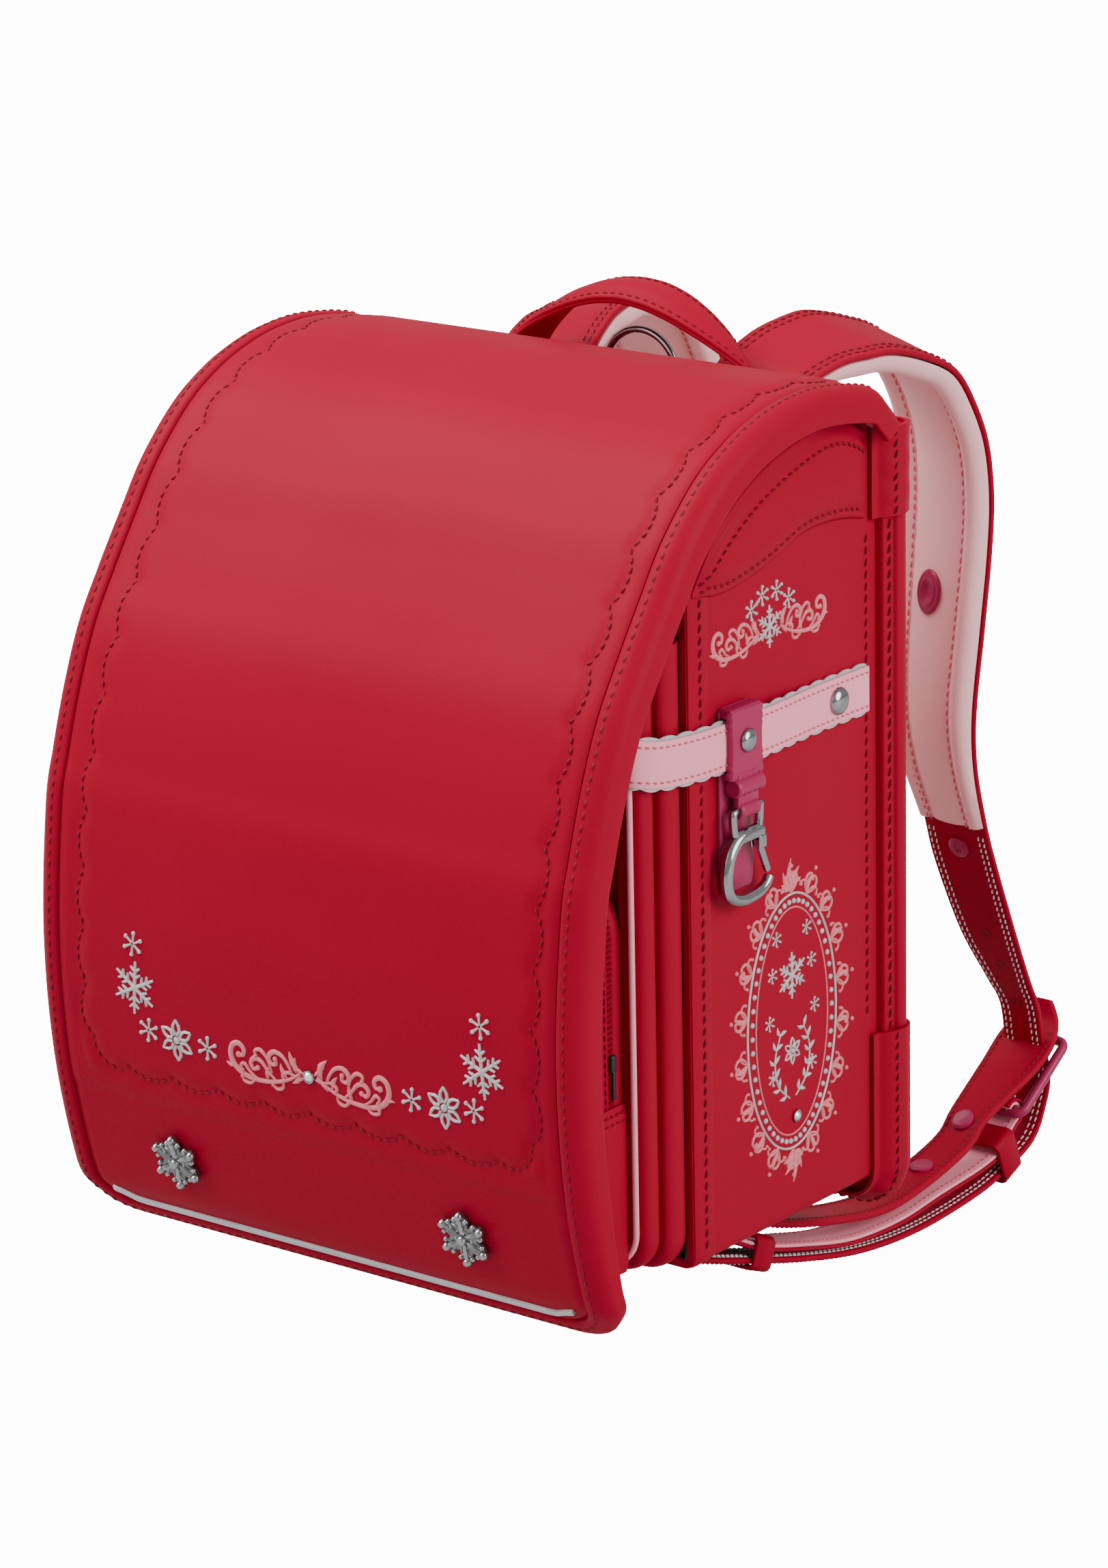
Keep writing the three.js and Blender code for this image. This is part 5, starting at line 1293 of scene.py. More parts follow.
@dataclass
class Back:
    """The back: board, pad, rolled hem and corner covers."""

    hem_thick: float = 14.0
    hem_half: float = 116.0
    hem_bottom: float = 1.5
    hem_corner: float = 3.0

    def hem_line(self, swell: float = 0.0) -> list[Flat]:
        """The hem's section: a stitched flange, then a roll, from the inner edge outwards."""
        out, front, rear = self.hem_thick + swell, HEM_FRONT, HEM_REAR + swell
        outer = curved([(out - 5, -front), (out - 2.2, -front - 0.6), (out - 1.6, -front - 2.2),
                        (out - 1.7, -front - 6.4), (out - 1.9, -front - 7.4), (out - 0.6, -front - 8.4),
                        (out, -front - 10.5), (out - 0.3, -rear + 4.0), (out - 2.2, -rear + 1.2),
                        (out - 5.5, -rear)], 3)
        return [(0, -front), *outer, (0, -rear)]

    def stations(self, top: float, step: float = 6.0) -> list[Station]:
        """Stations down one side of the hem, under the bag and up the other side."""
        return u_stations(self.hem_half, self.hem_bottom, top, self.hem_corner, step)

    def hem(self) -> None:
        """The hem round the back, and its seam."""
        stations = self.stations(BOARD_TOP)
        make("back_edge_roll", sweep(stations, lambda s, i: self.hem_line()), RED_LEATHER,
             replaces=["back_hem"], crease=50)
        out = self.hem_thick - 1.3
        row = [s.spot(out, -HEM_FRONT - 4.2) for s in stations]
        make("back_hem_stitches", Seam(5.0, 3.9, 1.25, slant=0.4).sewn(Form(), row,
                                                                       [s.across for s in stations]),
             RED_THREAD)

    def board(self) -> None:
        """The board behind the compartment and its back face."""
        upper, lower = [], []
        for i in range(48):
            z = 2.0 + (0.912 * BODY_HEIGHT - 2.0) * i / 47
            upper.append([Vector((BOARD_HALF * (2 * j / 40 - 1), BOARD_REAR - 0.1, z)) for j in range(41)])
            lower.append([Vector((BOARD_HALF * (2 * j / 40 - 1), HEM_FRONT, z)) for j in range(41)])
        make("back_board_leather", Form().board(upper, lower), RED_LEATHER, replaces=["back_board"])

    def pad(self) -> None:
        """The back pad: a stuffed panel with sewn channels and a bound rim."""
        half, low, high, corner = 103.7, 18.0, 250.9, 20.0
        middle, tall = (low + high) / 2, (high - low) / 2
        channels = (-66, -33, 0, 33, 66)
        columns, rows = 84, 92
        upper, lower = [], []
        for i in range(rows + 1):
            row_up, row_low = [], []
            for j in range(columns + 1):
                s, t = 2 * j / columns - 1, 2 * i / rows - 1
                x, z = half * s, middle + tall * t
                span = max(abs(x) - (half - corner), 0.0), max(abs(z - middle) - (tall - corner), 0.0)
                past = hypot(*span)
                if past > corner:
                    pull = corner / past
                    x = copysign(half - corner + span[0] * pull, x) if span[0] else x
                    z = middle + copysign(tall - corner + span[1] * pull, z - middle) if span[1] else z
                edge = min(half - abs(x), tall - abs(z - middle),
                           max(corner - past, 0.0) if min(span) > 0 else 99.0)
                swell = sqrt(min(max(edge, 0) / 9, 1))
                channel = sum(exp(-((x - place) / 3.0) ** 2) for place in channels)
                rim = exp(-((edge - 10) / 2.4) ** 2)
                lift = 1.5 + 9.8 * swell - 3.2 * channel * ramp(14, 34, edge) - 2.4 * rim
                row_up.append(Vector((x, BOARD_REAR + 0.3 + lift, z)))
                row_low.append(Vector((x, BOARD_REAR + 0.3, z)))
            upper.append(row_up)
            lower.append(row_low)
        piece = make("back_padding", Form().board(upper, lower), LINING_PALE,
                     replaces=["back_pad"], crease=60)
        seams = Form()
        down = Vector((0, 1, 0))
        for place in channels:
            row = [Vector((place, BOARD_REAR + 8.7, 50 + 168 * i / 30)) for i in range(31)]
            Seam(4.4, 3.2, 0.8).sewn(seams, row, [down] * 31)
        rim = [(x, z) for x, z, _ in u_path(half - 10, low + 10, high - 22, corner - 8)]
        row = [Vector((x, BOARD_REAR + 9.2, z)) for x, z in rim]
        Seam(4.4, 3.2, 0.8).sewn(seams, row, [down] * len(row))
        make("back_pad_stitches", seams, PINK_THREAD, slot="lining_leather")

    def cover_line(self, pleat: float = 0.0) -> list[Flat]:
        """The section of a leather cover folded round the hem."""
        out = self.hem_thick
        outer = curved([(10.9, -57.2), (11.3, -60.0), (11.4, -HEM_FRONT + 1.6),
                        (out - 0.5 + pleat, -HEM_FRONT - 1.0), (out + 1.3 + pleat, -HEM_FRONT - 4.5),
                        (out + 2.0 + pleat, -HEM_FRONT - 10), (out + 1.4 + pleat, -HEM_REAR + 5.0),
                        (out - 0.6 + 0.5 * pleat, -HEM_REAR + 0.6), (out - 4.6, -HEM_REAR - 1.7),
                        (1.0, -HEM_REAR - 1.9)], 3)
        inner = [(0.0, -HEM_REAR - 0.3), (out - 4.8, -HEM_REAR - 0.3), (out - 1.2, -HEM_REAR + 2.1),
                 (out + 0.3, -HEM_REAR + 6.8), (out + 0.3, -HEM_FRONT - 5.7),
                 (out - 0.7, -HEM_FRONT - 1.2), (9.6, -HEM_FRONT + 0.6), (9.6, -57.2)]
        return [*outer, *inner]

    def covers(self) -> None:
        """The covers over the hem's upper ends and round its lower corners."""
        top = Form()
        high = 307.3
        rings = []
        for i in range(15):
            z = high - 35.5 * i / 14
            wave = 0.25 * sin(i * 1.3) * ramp(0, 4, i)
            rings.append([Vector((self.hem_half + u, -v, z)) for u, v in self.cover_line(wave)])
        top.loft(rings)
        make_pair("hem_top_cover", top, RED_LEATHER, replaces=["corner_cover_top"], crease=60)
        path = u_path(self.hem_half, self.hem_bottom, 61.5, self.hem_corner, 3.5, 14)
        count = 0
        rings = []
        for x, z, angle in path:
            if x < self.hem_half - 30:
                break
            turn = max(0.0, sin(-2 * angle)) if angle > -pi / 2 - 0.01 else 0.0
            pleat = 0.55 * turn * cos(9 * angle)
            station = Station(Vector((x, 0, z)), Vector((cos(angle), 0, sin(angle))),
                              Vector((0, -1, 0)), 1.0)
            rings.append([station.spot(u, v) for u, v in self.cover_line(pleat)])
            count += 1
        bottom = Form().loft(rings)
        make_pair("hem_foot_cover", bottom, RED_LEATHER, replaces=["corner_cover_bottom"], crease=60)
        seams = Form()
        rows = [(Vector((self.hem_half + 15.45, HEM_FRONT + 5.0, 272 + 34 * i / 12)),
                 Vector((1, -0.15, 0)).normalized()) for i in range(13)]
        Seam(4.4, 3.5, 1.25, slant=0.5).sewn(seams, [p for p, _ in rows], [n for _, n in rows])
        rows = []
        for x, z, angle in path[:count]:
            across = Vector((cos(angle), 0, sin(angle)))
            rows.append((Vector((x, HEM_FRONT + 5.0, z)) + across * (self.hem_thick + 1.45),
                         (across - Vector((0, 0.15, 0))).normalized()))
        Seam(4.4, 3.5, 1.25, slant=0.4).sewn(seams, [p for p, _ in rows], [n for _, n in rows])
        make_pair("cover_stitches", seams, RED_THREAD)

    def build(self) -> None:
        """Makes every piece of the back."""
        self.hem()
        self.board()
        self.pad()
        self.covers()


@dataclass
class Pockets:
    """The front of the bag: two rolled gussets, panels, the pink edging and the zip pocket."""

    roll_thick: float = 12.0
    front_back: float = -62.3
    front_front: float = -75.5
    pocket_back: float = -75.8
    pocket_front: float = -86.8
    zip_back: float = -89.8
    zip_front: float = -116.8
    zip_half: float = 113.0
    zip_height: float = 166.0
    zip_corner: float = 26.0

    def roll_line(self, back: float, front: float) -> list[Flat]:
        """The bulging section of a rolled gusset."""
        thick = self.roll_thick
        middle = (back + front) / 2
        half = (back - front) / 2
        arc = []
        for i in range(13):
            angle = pi * i / 12
            arc.append((thick - 4.2 + 4.2 * abs(sin(angle)) ** 0.75, -(middle + half * cos(angle) * 0.999)))
        return [(0, -back), *arc, (0, -front)]

    def rolls(self) -> None:
        """The two rolls, one behind the other."""
        for name, back, front, half, bottom, node in (
                ("front_gusset_roll", self.front_back, self.front_front, 124.0, 1.0, "front_roll"),
                ("pocket_gusset_roll", self.pocket_back, self.pocket_front, 121.5, 3.5, "pocket_roll")):
            thick = self.roll_thick
            stations = u_stations(half - thick, bottom + thick, FRONT_HEIGHT, 2.0, 5.0)
            line = self.roll_line(back, front)
            make(name, sweep(stations, lambda s, i, line=line: line), RED_LEATHER,
                 replaces=[node], crease=60)

    def panels(self) -> None:
        """The flat panels between the rolls."""
        for name, back, front, half, low, high, node in (
                ("front_panel_leather", -62.3, -65.3, 111.7, 13.3, 258.0, "front_panel"),
                ("pocket_face_leather", -83.8, -86.8, 109.2, 15.8, 250.0, "pocket_face")):
            form = Form().block((-half, front, low), (half, back, high), 1.2)
            make(name, form, RED_LEATHER, replaces=[node])
        rim = Form().block((-121.4, -61.9, 3.8), (121.4, -61.0, 18.0), 0.3)
        for side in (-121.4, 106.0):
            rim.block((side, -61.9, 3.8), (side + 15.4, -61.0, FRONT_HEIGHT), 0.3)
        make("front_rim_leather", rim, RED_LEATHER)

    def edging(self) -> None:
        """The pink piping round the pocket's front edge, with its sewn flange."""
        stations = u_stations(112.5, 12.5, FRONT_HEIGHT, 9.0, 5.0)
        line = [(5.2 + 1.25 * sin(pi * i / 6), 88.35 - 1.25 * cos(pi * i / 6)) for i in range(12)]
        make("pocket_pink_piping", sweep(stations, lambda s, i: line), PINK_LEATHER,
             replaces=["pocket_edging"], crease=60)
        flange = [(0, 87.3), (4.4, 87.5), (4.4, 88.9), (0, 89.1)]
        make("piping_flange", sweep(stations, lambda s, i: flange), RED_LEATHER, crease=60)

    def zip_outline(self, grow: float) -> list[Flat]:
        """The zip pocket's outline, from its lower right corner round, grown by a margin."""
        half, top, low = self.zip_half + grow, self.zip_height + grow, 4.0 - grow
        corner = max(self.zip_corner + grow, 1.0)
        foot = max(4.0 + grow, 0.6)
        points = rounded([(half - foot, low + foot, foot, -90), (half - corner, top - corner, corner, 0),
                          (corner - half, top - corner, corner, 90), (foot - half, low + foot, foot, 180)],
                         10)
        dense: list[Flat] = []
        for here, after in zip(points, points[1:] + points[:1]):
            steps = max(int(hypot(after[0] - here[0], after[1] - here[1]) / 6), 1)
            dense += [(here[0] + (after[0] - here[0]) * k / steps, here[1] + (after[1] - here[1]) * k / steps)
                      for k in range(steps)]
        return dense

    def ring_at(self, grow: float, y: float) -> Ring:
        """The zip pocket's outline scaled onto a plane."""
        base = self.zip_outline(0.0)
        if grow == 0:
            return [Vector((x, y, z)) for x, z in base]
        middle = Vector((0, 0, (self.zip_height + 4) / 2))
        result = []
        wide, tall = self.zip_half, (self.zip_height - 4) / 2
        for x, z in base:
            result.append(Vector((x * (wide + grow) / wide, y,
                                  middle.z + (z - middle.z) * (tall + grow) / tall)))
        return result

    def zip_pocket(self) -> None:
        """The zip pocket: soft front, rounded rim and walls."""
        front = self.zip_front
        rows = [(0.0, self.zip_back), (0.0, -94.0), (-0.7, -94.6), (-0.7, -97.4), (0.0, -98.0),
                (0.1, -106), (-0.3, -111), (-1.4, -114.2), (-3.4, -116), (-6.5, front), (-12, front + 0.2),
                (-30, front - 0.1), (-60, front - 0.1), (-78, front)]
        inner = [(-78, front + 3), (-6, front + 3), (-3, front + 6), (-3, self.zip_back)]
        rings = [self.ring_at(max(grow, -78), y) for grow, y in rows + inner]
        form = Form().loft(rings, endless=True)
        caps = [self.ring_at(-78, front), self.ring_at(-78, front + 3)]
        form.loft(caps)
        make("zip_pocket_leather", form, RED_LEATHER, replaces=["zip_pocket"], crease=60)
        seams, teeth = Form(), Form()
        rim = self.zip_outline(0.0)
        rim = [p for p in rim if p[1] > 30]
        rim.sort(key=lambda p: atan2(p[1] - 30, -p[0]))
        normals = []
        for x, z in rim:
            cx = max(min(x, self.zip_half - self.zip_corner), self.zip_corner - self.zip_half)
            cz = min(z, self.zip_height - self.zip_corner)
            way = Vector((x - cx, 0, z - cz))
            normals.append(way.normalized() if way.length > 0.01 else Vector((copysign(1, x), 0, 0)))
        for y, lift in ((-99.8, 0.15), (-103.4, 0.15)):
            row = [Vector((x, y, z)) + n * lift for (x, z), n in zip(rim, normals)]
            Seam(3.6, 2.8, 0.8).sewn(seams, row, normals)
        row = [Vector((x * 0.955, front - 0.1, 85 + (z - 85) * 0.945)) for x, z in rim]
        Seam(3.8, 2.9, 0.8).sewn(seams, row, [Vector((0, -1, 0))] * len(row))
        make("zip_pocket_stitches", seams, RED_THREAD)
        for shift in (-95.4, -96.5):
            row = [Vector((x, shift, z)) - n * 0.35 for (x, z), n in zip(rim, normals)]
            Seam(2.3, 1.2, 1.5, 0.0, 0.0).sewn(teeth, row, normals)
        make("zip_teeth", teeth, DEEP_LEATHER)
        tape = []
        for (x, z), n in zip(rim, normals):
            base = Vector((x, 0, z)) - n * 0.75
            tape.append([base + Vector((0, y, 0)) + n * lift for y, lift in (
                (-94.4, 0.0), (-94.4, 0.35), (-97.6, 0.35), (-97.6, 0.0))])
        make("zip_tape", Form().loft(tape), DEEP_LEATHER)
        puller = Form().block((self.zip_half - 0.6, -97.3, 88), (self.zip_half + 1.6, -94.1, 95), 0.9)
        puller.block((self.zip_half + 0.4, -96.6, 77), (self.zip_half + 1.5, -94.8, 90), 0.5)
        make("zip_slider", puller, ZIP_METAL)

    def wrap(self) -> None:
        """The reinforcing wrap round the foot of the zip pocket, with a double seam."""
        half, low, high = self.zip_half + 0.3, 6.0, 74.0
        path = [(half, -89.8), (half, -111.5)]
        for i in range(1, 8):
            angle = pi / 2 * i / 8
            path.append((half - 5 + 5 * cos(angle), -112.0 - 5 * sin(angle)))
        path += [(half - 5 - 2 * (half - 5) * i / 30, -117.1) for i in range(31)]
        path += [(-x, y) for x, y in reversed(path[:9])]
        normals = []
        for x, y in path:
            way = Vector((x - max(min(x, half - 5), 5 - half), min(y + 112, 0), 0))
            normals.append(way.normalized() if way.length > 0.01 else Vector((copysign(1, x), 0, 0)))
        upper, lower = [], []
        for (x, y), n in zip(path, normals):
            base = Vector((x, y, 0))
            levels = [low + (high - low) * i / 16 for i in range(17)]
            upper.append([base + n * (1.7 - 0.9 * (i in (0, 16))) + Vector((0, 0, z))
                          for i, z in enumerate(levels)])
            lower.append([base + Vector((0, 0, z)) for z in levels])
        make("zip_pocket_wrap_leather", Form().board(upper, lower), RED_LEATHER,
             replaces=["zip_pocket_wrap"], crease=50)
        seams = Form()
        for level in (high - 2.6, high - 6.0):
            row = [Vector((x, y, level)) + n * 1.8 for (x, y), n in zip(path, normals)]
            Seam(3.4, 2.6, 0.8).sewn(seams, row, normals)
        make("wrap_stitches", seams, RED_THREAD)

    def build(self) -> None:
        """Makes every piece of the front."""
        self.rolls()
        self.panels()
        self.edging()
        self.zip_pocket()
        self.wrap()


HANDLE_ROWS = ((0, 1, 1, -13, 0), (0.2, 0.97, 0.99, -13, 0), (0.42, 0.87, 0.93, -10, 0.05),
               (0.64, 0.7, 0.84, 0, 0.15), (0.82, 0.5, 0.74, 20, 0.35), (0.95, 0.28, 0.64, 56, 0.7),
               (1, 0.12, 0.6, 84, 0.95), (1, 0, 0.6, 90, 1))


@dataclass
class Carrying:
    """What the bag hangs from: the yoke, the top handle and the hang ring."""

    yoke_half: float = 84.0
    yoke_top: float = 300.9
    yoke_low: float = 296.9
    yoke_front: float = 72.3
    yoke_rear: float = 94.3
    span: float = 118.0
    rise: float = 42.3
    width: float = 20.0
    thick: float = 4.5
    ring_place: float = 79.3
    ring_level: float = 304.416

    def yoke(self) -> None:
        """The yoke: a padded leather block with rounded edges and a sewn rim."""
        front, rear, top, low = self.yoke_front, self.yoke_rear, self.yoke_top, self.yoke_low
        line = curved([(front, top - 43), (front + 4, top - 43.0), (rear - 7, top - 41),
                       (rear - 2, top - 37), (rear, top - 30), (rear + 0.3, low - 18), (rear, low - 6),
                       (rear - 2.6, low - 0.6), (rear - 6, low), (front + 9.4, low + 0.1),
                       (front + 9, low + 1.0), (front + 9, top - 0.3), (front + 8, top),
                       (front + 0.3, top)], 3)
        rings = []
        for i in range(41):
            share = 2 * i / 40 - 1
            x = self.yoke_half * copysign(abs(share) ** 0.8, share)
            pinch = 1 - 0.12 * ramp(0.93, 1.0, abs(share))
            rings.append([Vector((x, front + (y - front) * pinch, (top - 20) + (z - (top - 20)) * pinch
                                  if z < top - 3.9 else z)) for y, z in line])
        make("yoke_leather", Form().loft(rings), RED_LEATHER, replaces=["yoke"], crease=50)
        seams = Form()
        for level in (top - 12, top - 36):
            row = [Vector((x, rear + 0.35 - (1.2 if level < top - 30 else 0), level))
                   for x in range(-78, 79, 4)]
            Seam().sewn(seams, row, [Vector((0, 1, 0))] * len(row))
        make("yoke_stitches", seams, RED_THREAD)

    def handle_stations(self) -> list[Station]:
        """Stations along the handle's band, from its right foot to its left one."""
        half = smooth_rows(HANDLE_ROWS, 8)
        rows = [(*row, 1) for row in reversed(half)] + [(*row, -1) for row in half[1:]]
        base = self.yoke_top + 0.3
        points = [Vector((sign * out * self.span / 2, HANDLE_PLACE + 0.7 * back, base + up * self.rise))
                  for out, up, _, _, back, sign in rows]
        stations = []
        rear = Vector((0, 1, 0))
        for i, (at, way) in enumerate(zip(points, tangents(points))):
            angle = radians(rows[i][3])
            end = i in (0, len(points) - 1)
            away = Vector((rows[i][5], 0, 0)) if end else Vector((way.z, 0, -way.x)).normalized()
            stations.append(Station(at, rear * cos(angle) - away * sin(angle),
                                    away * cos(angle) + rear * sin(angle),
                                    self.width * rows[i][2]))
        return stations

    def handle(self) -> None:
        """The handle: a padded band over a thinner strip, sewn together along both edges."""
        stations = self.handle_stations()
        last = len(stations) - 1

        def band(station: Station, i: int) -> list[Flat]:
            """The padded upper layer."""
            half, swell = station.width / 2, 1.5 * sin(pi * i / last) ** 0.6
            return [(-half, 1.5), (half, 1.5), (half + 0.2, 2.4), (half - 0.5, 3.3), (0.72 * half, 3.35),
                    (0.5 * half, 3.7 + 0.6 * swell), (0, 3.9 + swell), (-0.5 * half, 3.7 + 0.6 * swell),
                    (-0.72 * half, 3.35), (0.5 - half, 3.3), (-half - 0.2, 2.4)]

        def strip(station: Station, i: int) -> list[Flat]:
            """The lower layer."""
            half = station.width / 2 + 0.3
            return [(-half, 0.0), (half, 0.0), (half + 0.3, 0.6), (half, 1.35), (-half, 1.35),
                    (-half - 0.3, 0.6)]

        make("handle_band", sweep(stations, band), RED_LEATHER, replaces=["handle"], crease=60)
        make("handle_lining", sweep(stations, strip), RED_LEATHER, crease=60)
        seams = Form()
        for sign in (-1, 1):
            row = [s.spot(sign * 0.8 * s.width / 2, 3.35) for s in stations]
            Seam(4.0, 2.8, 0.8).sewn(seams, row, [s.normal for s in stations])
        make("handle_stitches", seams, RED_THREAD)

    def ring(self) -> None:
        """The holder on the yoke and the D ring that turns in it."""
        place, level = self.ring_place, self.ring_level
        arc = [Vector((0, place + 4.1 * cos(a), level + 3.6 * sin(a)))
               for a in (pi * i / 10 for i in range(11))]
        rings = []
        for x in (-8, -7.6, 7.6, 8):
            grow = 0.92 if abs(x) == 8 else 1.0
            outer = [Vector((x, place + (p.y - place) * grow, level + (p.z - level) * grow)) for p in arc]
            foot = [Vector((x, place - 4.1, self.yoke_top + 0.3)), Vector((x, place - 2.2,
                                                                           self.yoke_top + 0.3))]
            inner = [Vector((x, place + 2.0 * cos(a), level + 2.0 * sin(a)))
                     for a in (pi - pi * i / 10 for i in range(11))]
            end = [Vector((x, place + 2.2, self.yoke_top + 0.3)), Vector((x, place + 4.1,
                                                                          self.yoke_top + 0.3))]
            rings.append([*outer, *foot, *inner, *end])
        make("ring_leather_loop", Form().loft(rings), DEEP_LEATHER, replaces=["ring_holder"], crease=50)
        radius, height = 17.6, 8.0
        points = [Vector((x, place, level)) for x in (-12, -6, 0, 6, 12)]
        points += [Vector((radius - 1.2, place, level + 0.4)), Vector((radius - 0.2, place, level + 1.6))]
        points += [Vector((radius, place, level + 3.6))]
        points += [Vector((radius * cos(a), place, level + height - 2 + radius * sin(a)))
                   for a in (pi * i / 28 for i in range(29))]
        points += [Vector((-radius, place, level + 3.6)), Vector((-radius + 0.2, place, level + 1.6)),
                   Vector((-radius + 1.2, place, level + 0.4))]
        form = Form().tube(points, 1.6, 16, True, Vector((0, 1, 0)))
        make("hang_ring_wire", form, CHROME, body="ring", replaces=["hang_ring"])

    def build(self) -> None:
        """Makes every piece that the bag hangs from."""
        self.yoke()
        self.handle()
        self.ring()


STRAP_ROWS = (
    (0.714, 0.118, 0.9355, 0.9, 0, 0), (0.74, 0.152, 0.983, 0.9, -0.02, 0.03),
    (0.784, 0.262, 1.007, 0.91, -0.03, 0.12), (0.822, 0.385, 1.015, 0.93, 0, 0.19),
    (0.865, 0.49, 1.015, 0.95, 0.02, 0.22), (0.91, 0.625, 0.999, 0.97, 0.1, 0.22),
    (0.935, 0.757, 0.973, 1, 0.2, 0.2), (0.958, 0.853, 0.92, 1, 0.3, 0.08),
    (0.97, 0.917, 0.855, 1, 0.3, 0), (0.98, 0.932, 0.785, 1, 0.28, 0), (0.99, 0.912, 0.707, 1, 0.28, 0),
    (1, 0.873, 0.61, 0.97, 0.28, 0), (1, 0.84, 0.503, 0.88, 0.23, 0), (1, 0.858, 0.424, 0.76, 0.14, 0),
    (1, 0.93, 0.336, 0.66, 0.09, 0))
TAIL_ROWS = (
    (0.947, 0.995, 1.377, 1.58), (0.96, 1.108, 0.82, 1.45), (0.985, 1.2, 0.43, 1.15), (1, 1.255, 0.2, 1),
    (1, 1.286, -0.08, 1), (1, 1.32, -0.33, 1), (1, 1.298, -0.53, 1), (1, 1.232, -0.738, 1),
    (1, 1.085, -0.852, 1), (1, 0.921, -0.925, 1), (1, 0.598, -0.957, 1), (1, 0.289, -0.892, 1),
    (1, -0.02, -0.73, 1), (1, -0.358, -0.5, 1), (1, -0.535, -0.369, 1))


@dataclass
class Straps:
    """The shoulder straps: leather shells, their padding and lower ends."""

    width: float = 51.0
    side: float = 72.0
    shell_thick: float = 2.6
    pad_thick: float = 9.0
    between: int = 8

    def stations(self) -> list[Station]:
        """Stations of the right strap, from the yoke over the shoulder to the tail's end."""
        rows = [(side * self.side, BOARD_REAR + back * STRAP_REACH, up * BODY_HEIGHT, wide * self.width,
                 toe, fall) for side, back, up, wide, toe, fall in STRAP_ROWS]
        rows += [(side * BELT_SIDE, BOARD_REAR + back * STRAP_REACH, up * LOOP_DROP, wide * TAIL_WIDTH,
                  0.0, 0.0) for side, back, up, wide in TAIL_ROWS]
        fine = smooth_rows(rows, self.between)
        points = [Vector(row[:3]) for row in fine]
        stations = []
        for i, (at, way) in enumerate(zip(points, tangents(points))):
            toe, fall = fine[i][4], fine[i][5]
            across = Vector((sqrt(max(1 - toe * toe - fall * fall, 0)), -toe, -fall))
            way = Vector((0, 0, 1)) if i == 0 else way
            normal = across.cross(way).normalized()
            stations.append(Station(at, way.cross(normal), normal, fine[i][3]))
        return stations

    def build(self) -> None:
        """Makes every piece of both straps."""
        stations = self.stations()
        last = self.between * (len(STRAP_ROWS) - 1)
        shell = sweep(stations, lambda s, i: strip_section(s.width, 0.0, self.shell_thick, 1.1))
        make_pair("strap_leather", shell, RED_LEATHER, replaces=["strap_shell"], crease=50)
        pad = stations[2:last + 1]
        count = len(pad) - 1

        def depth(i: int) -> float:
            """How thick the padding is at a place."""
            ends = min(i, count - i) / (3 * self.between)
            return self.pad_thick * (0.42 + 0.58 * sin(pi / 2 * min(ends, 1.0)))

        def border(station: Station, i: int) -> list[Flat]:
            """The rolled border and the base under the middle."""
            half, deep = station.width / 2 - 0.5, depth(i)
            edge = 9.0 * min(station.width / 45, 1)
            return [(half, -0.6), (-half, -0.6), (-half - 0.6, -0.3 * deep), (0.8 - half, -0.72 * deep),
                    (0.38 * edge - half, -0.95 * deep), (0.7 * edge - half, -0.88 * deep),
                    (edge - half, -0.62 * deep), (edge + 2 - half, -0.5 * deep),
                    (half - edge - 2, -0.5 * deep), (half - edge, -0.62 * deep),
                    (half - 0.7 * edge, -0.88 * deep), (half - 0.38 * edge, -0.95 * deep),
                    (half - 0.8, -0.72 * deep), (half + 0.6, -0.3 * deep)]

        def middle(station: Station, i: int) -> list[Flat]:
            """The padded middle, puckered near the shoulder."""
            half, deep = station.width / 2 - 0.5 - 8.6 * min(station.width / 45, 1), depth(i)
            fold = exp(-((i - 0.36 * count) / (0.13 * count)) ** 2)
            crease = 0.55 * fold * abs(sin(i * 1.15)) ** 0.5
            pucker = 0.12 * sin(i * 2.1)
            low = [(s * half,
                    -(0.5 + 0.42 * (1 - abs(s) ** 2.4)) * deep + crease * (1 - abs(s)) - pucker * abs(s))
                   for s in (1, 0.93, 0.75, 0.5, 0.25, 0, -0.25, -0.5, -0.75, -0.93, -1)]
            return [(-half, -0.3 * deep), (half, -0.3 * deep), *low]

        for piece in make_pair("strap_pad_border", sweep(pad, border), LINING_PALE,
                               replaces=["strap_pad"], crease=60):
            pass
        for piece in make_pair("strap_pad_middle", sweep(pad, middle), LINING_PINK, crease=60):
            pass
        self.seams(stations, pad, last, depth)
        self.fittings(stations, pad, depth)

    def seams(self, stations: list[Station], pad: list[Station], last: int,
              depth: Callable[[int], float]) -> None:
        """Rows of stitches along the shell, the padding and the lower strap.

        Args:
            stations: all the strap's stations.
            pad: those that carry padding.
            last: the last of them.
            depth: how thick the padding is at each.
        """
        red, pink, white = Form(), Form(), Form()
        for sign in (-1, 1):
            for inset in (3.2, 6.2):
                row = [s.spot(sign * (s.width / 2 - inset), self.shell_thick) for s in stations[:last + 1]]
                Seam(4.2, 3.2, 0.85).sewn(red, row, [s.normal for s in stations[:last + 1]])
            for inset in (7.9, 10.0):
                row = [s.spot(sign * (s.width / 2 - inset * min(s.width / 45, 1)), -0.62 * depth(i) - 0.35)
                       for i, s in enumerate(pad)]
                Seam(4.0, 2.9, 0.8).sewn(pink, row, [-s.normal for s in pad])
            lower = stations[last + 2:]
            for inset in (2.4, 4.8):
                for lift, turn in ((0.0, -1), (self.shell_thick, 1)):
                    row = [s.spot(sign * (s.width / 2 - inset), lift) for s in lower]
                    Seam(3.2, 2.4, 0.75).sewn(white, row, [s.normal * turn for s in lower])
        make_pair("strap_shell_stitches", red, RED_THREAD)
        make_pair("strap_pad_stitches", pink, PINK_THREAD, slot="lining_leather")
        make_pair("strap_tail_stitches", white, WHITE_THREAD)

